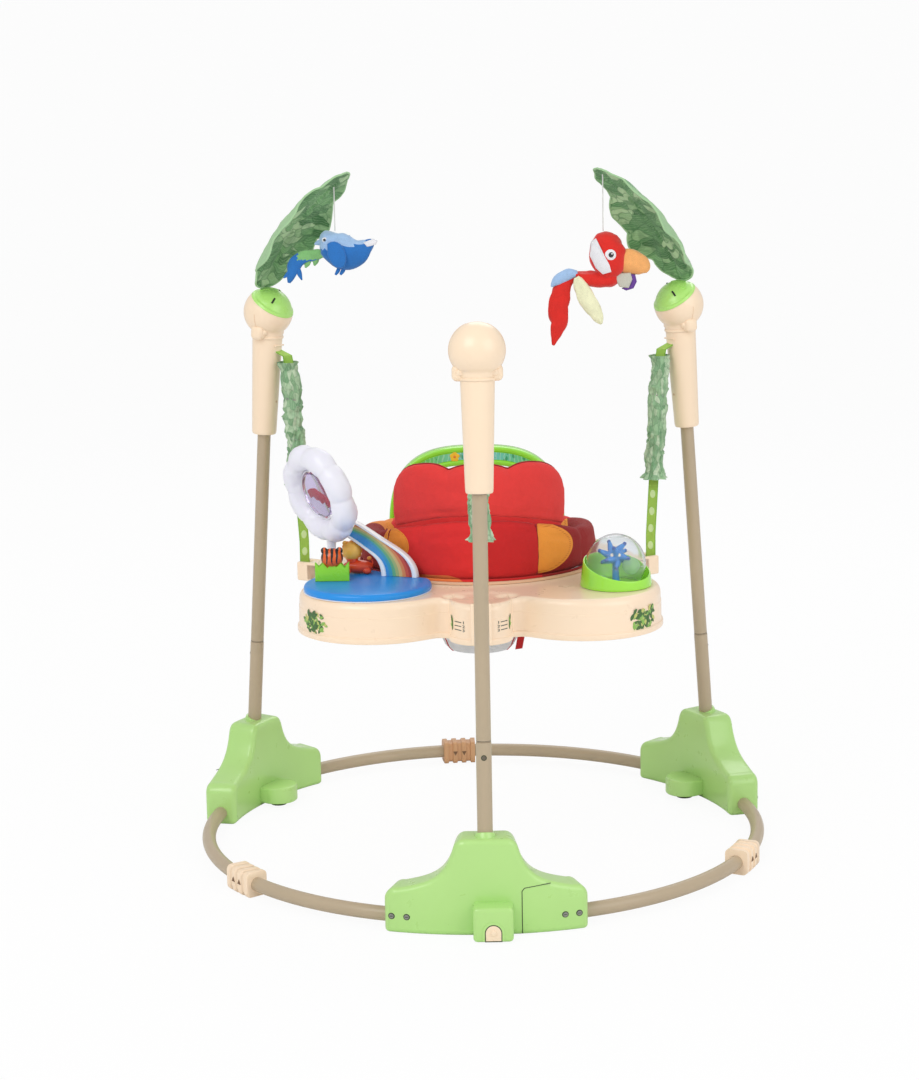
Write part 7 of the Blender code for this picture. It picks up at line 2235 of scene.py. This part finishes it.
ARCH_Y = 0.215 + STAND_Y
ARCH_POWER = 2 / 2.9
ARCH_EDGE = [(0.0, 0.0115), (0.03, 0.0138), (0.10, 0.0150), (0.20, 0.0150), (0.25, 0.0142),
             (0.27, 0.0128)]
ARCH_HALF = ARCH_EDGE + [(1 - inset, y) for inset, y in reversed(ARCH_EDGE)]
section = ARCH_HALF + [(inset, -y) for inset, y in reversed(ARCH_HALF)]
spaced = []
for turn in (math.cos(math.pi * i / 120) for i in range(121)):
    spaced.append(0.5 - 0.5 * turn * (0.82 + 0.18 * abs(turn)))
arch_rings = [[arch_point(share, inset, y) for inset, y in section] for share in spaced]
arch_lime = moulded("arch_lime", tone(148, 228, 62), 0.24, 0.05, coat=0.4)
add_piece("far_arch", lofted(arch_rings), arch_lime, "tray", ["toy_arch"], 34)


ARCH_HUES = ((0.10, (104, 196, 96)), (0.30, (120, 206, 168)), (0.50, (118, 200, 226)),
             (0.72, (110, 206, 176)), (0.95, (96, 198, 110)))


def arch_print(tree):
    """The panel's print: watery blue in the middle, leaves to both sides."""
    place, apart = place_of(tree)
    water = ramp_of(tree, plus(tree, times(tree, apart["X"], 5.0), 0.5), ARCH_HUES)
    stretched = tree.nodes.new("ShaderNodeMapping")
    tree.links.new(place, stretched.inputs["Vector"])
    stretched.inputs["Scale"].default_value = (1.0, 0.7, 1.0)
    cells = textured(
        tree, "ShaderNodeTexVoronoi", stretched.outputs[0], Scale=130, Randomness=0.9
    )
    leaf = math_node(tree, "LESS_THAN", cells.outputs["Distance"], 0.42)
    tint = math_node(tree, "GREATER_THAN", noisy(tree, place, 60, 1.0), 0.50)
    leaves = times(tree, times(tree, leaf, tint), 0.75)
    leafy = mixed(tree, leaves, water, tone(44, 146, 84))
    ripple = textured(tree, "ShaderNodeTexWave", place, Scale=42.0, Distortion=6.0)
    thin = math_node(tree, "GREATER_THAN", ripple.outputs["Fac"], 0.88)
    return mixed(tree, times(tree, thin, 0.35), leafy, tone(208, 238, 210))


panel = bmesh.new()
for face in (-1, 1):
    rings = []
    for i in range(49):
        ends = 0.31 + 0.19 * (1 - min(1.0, min(i, 48 - i) / 4)) ** 2
        corners = ((ends, 0.0124), (1 - ends, 0.0124), (1 - ends, 0.0134), (ends, 0.0134))
        rings.append([arch_point(0.25 + 0.50 * i / 48, inset, face * y) for inset, y in corners])
    add_solid(panel, lofted(rings))
map_faces(panel, lambda co: (co.x, co.z))
for face in (-1, 1):
    core = Vector((-0.036, ARCH_Y + face * 0.0136, 0.6030))
    for turn in (math.tau * i / 5 + 0.3 for i in range(5)):
        place = (math.cos(turn) * 0.0046, 0, math.sin(turn) * 0.0046)
        add_balls(panel, core, (place, (0.0040, 0.0004, 0.0040), 16, 1))
    add_balls(panel, core, ((0, 0, 0), (0.0026, 0.0008, 0.0026), 16, 2))
corners = ((0.34, -0.0126), (0.66, -0.0126), (0.66, -0.0134), (0.34, -0.0134))
stripe = lofted([
    [arch_point(0.80 + 0.19 * i / 24, inset, y) for inset, y in corners] for i in range(25)
])
add_solid(panel, stripe, 1)
panel_paints = [
    moulded("arch_print", tone(255, 255, 255), 0.3, 0.05, coat=0.2, source=arch_print),
    moulded("bloom_yellow", tone(246, 196, 52), 0.4, 0.05),
    moulded("bloom_orange", tone(228, 128, 46), 0.4, 0.05),
]
add_piece("arch_panel", panel, panel_paints, "tray", (), 30)
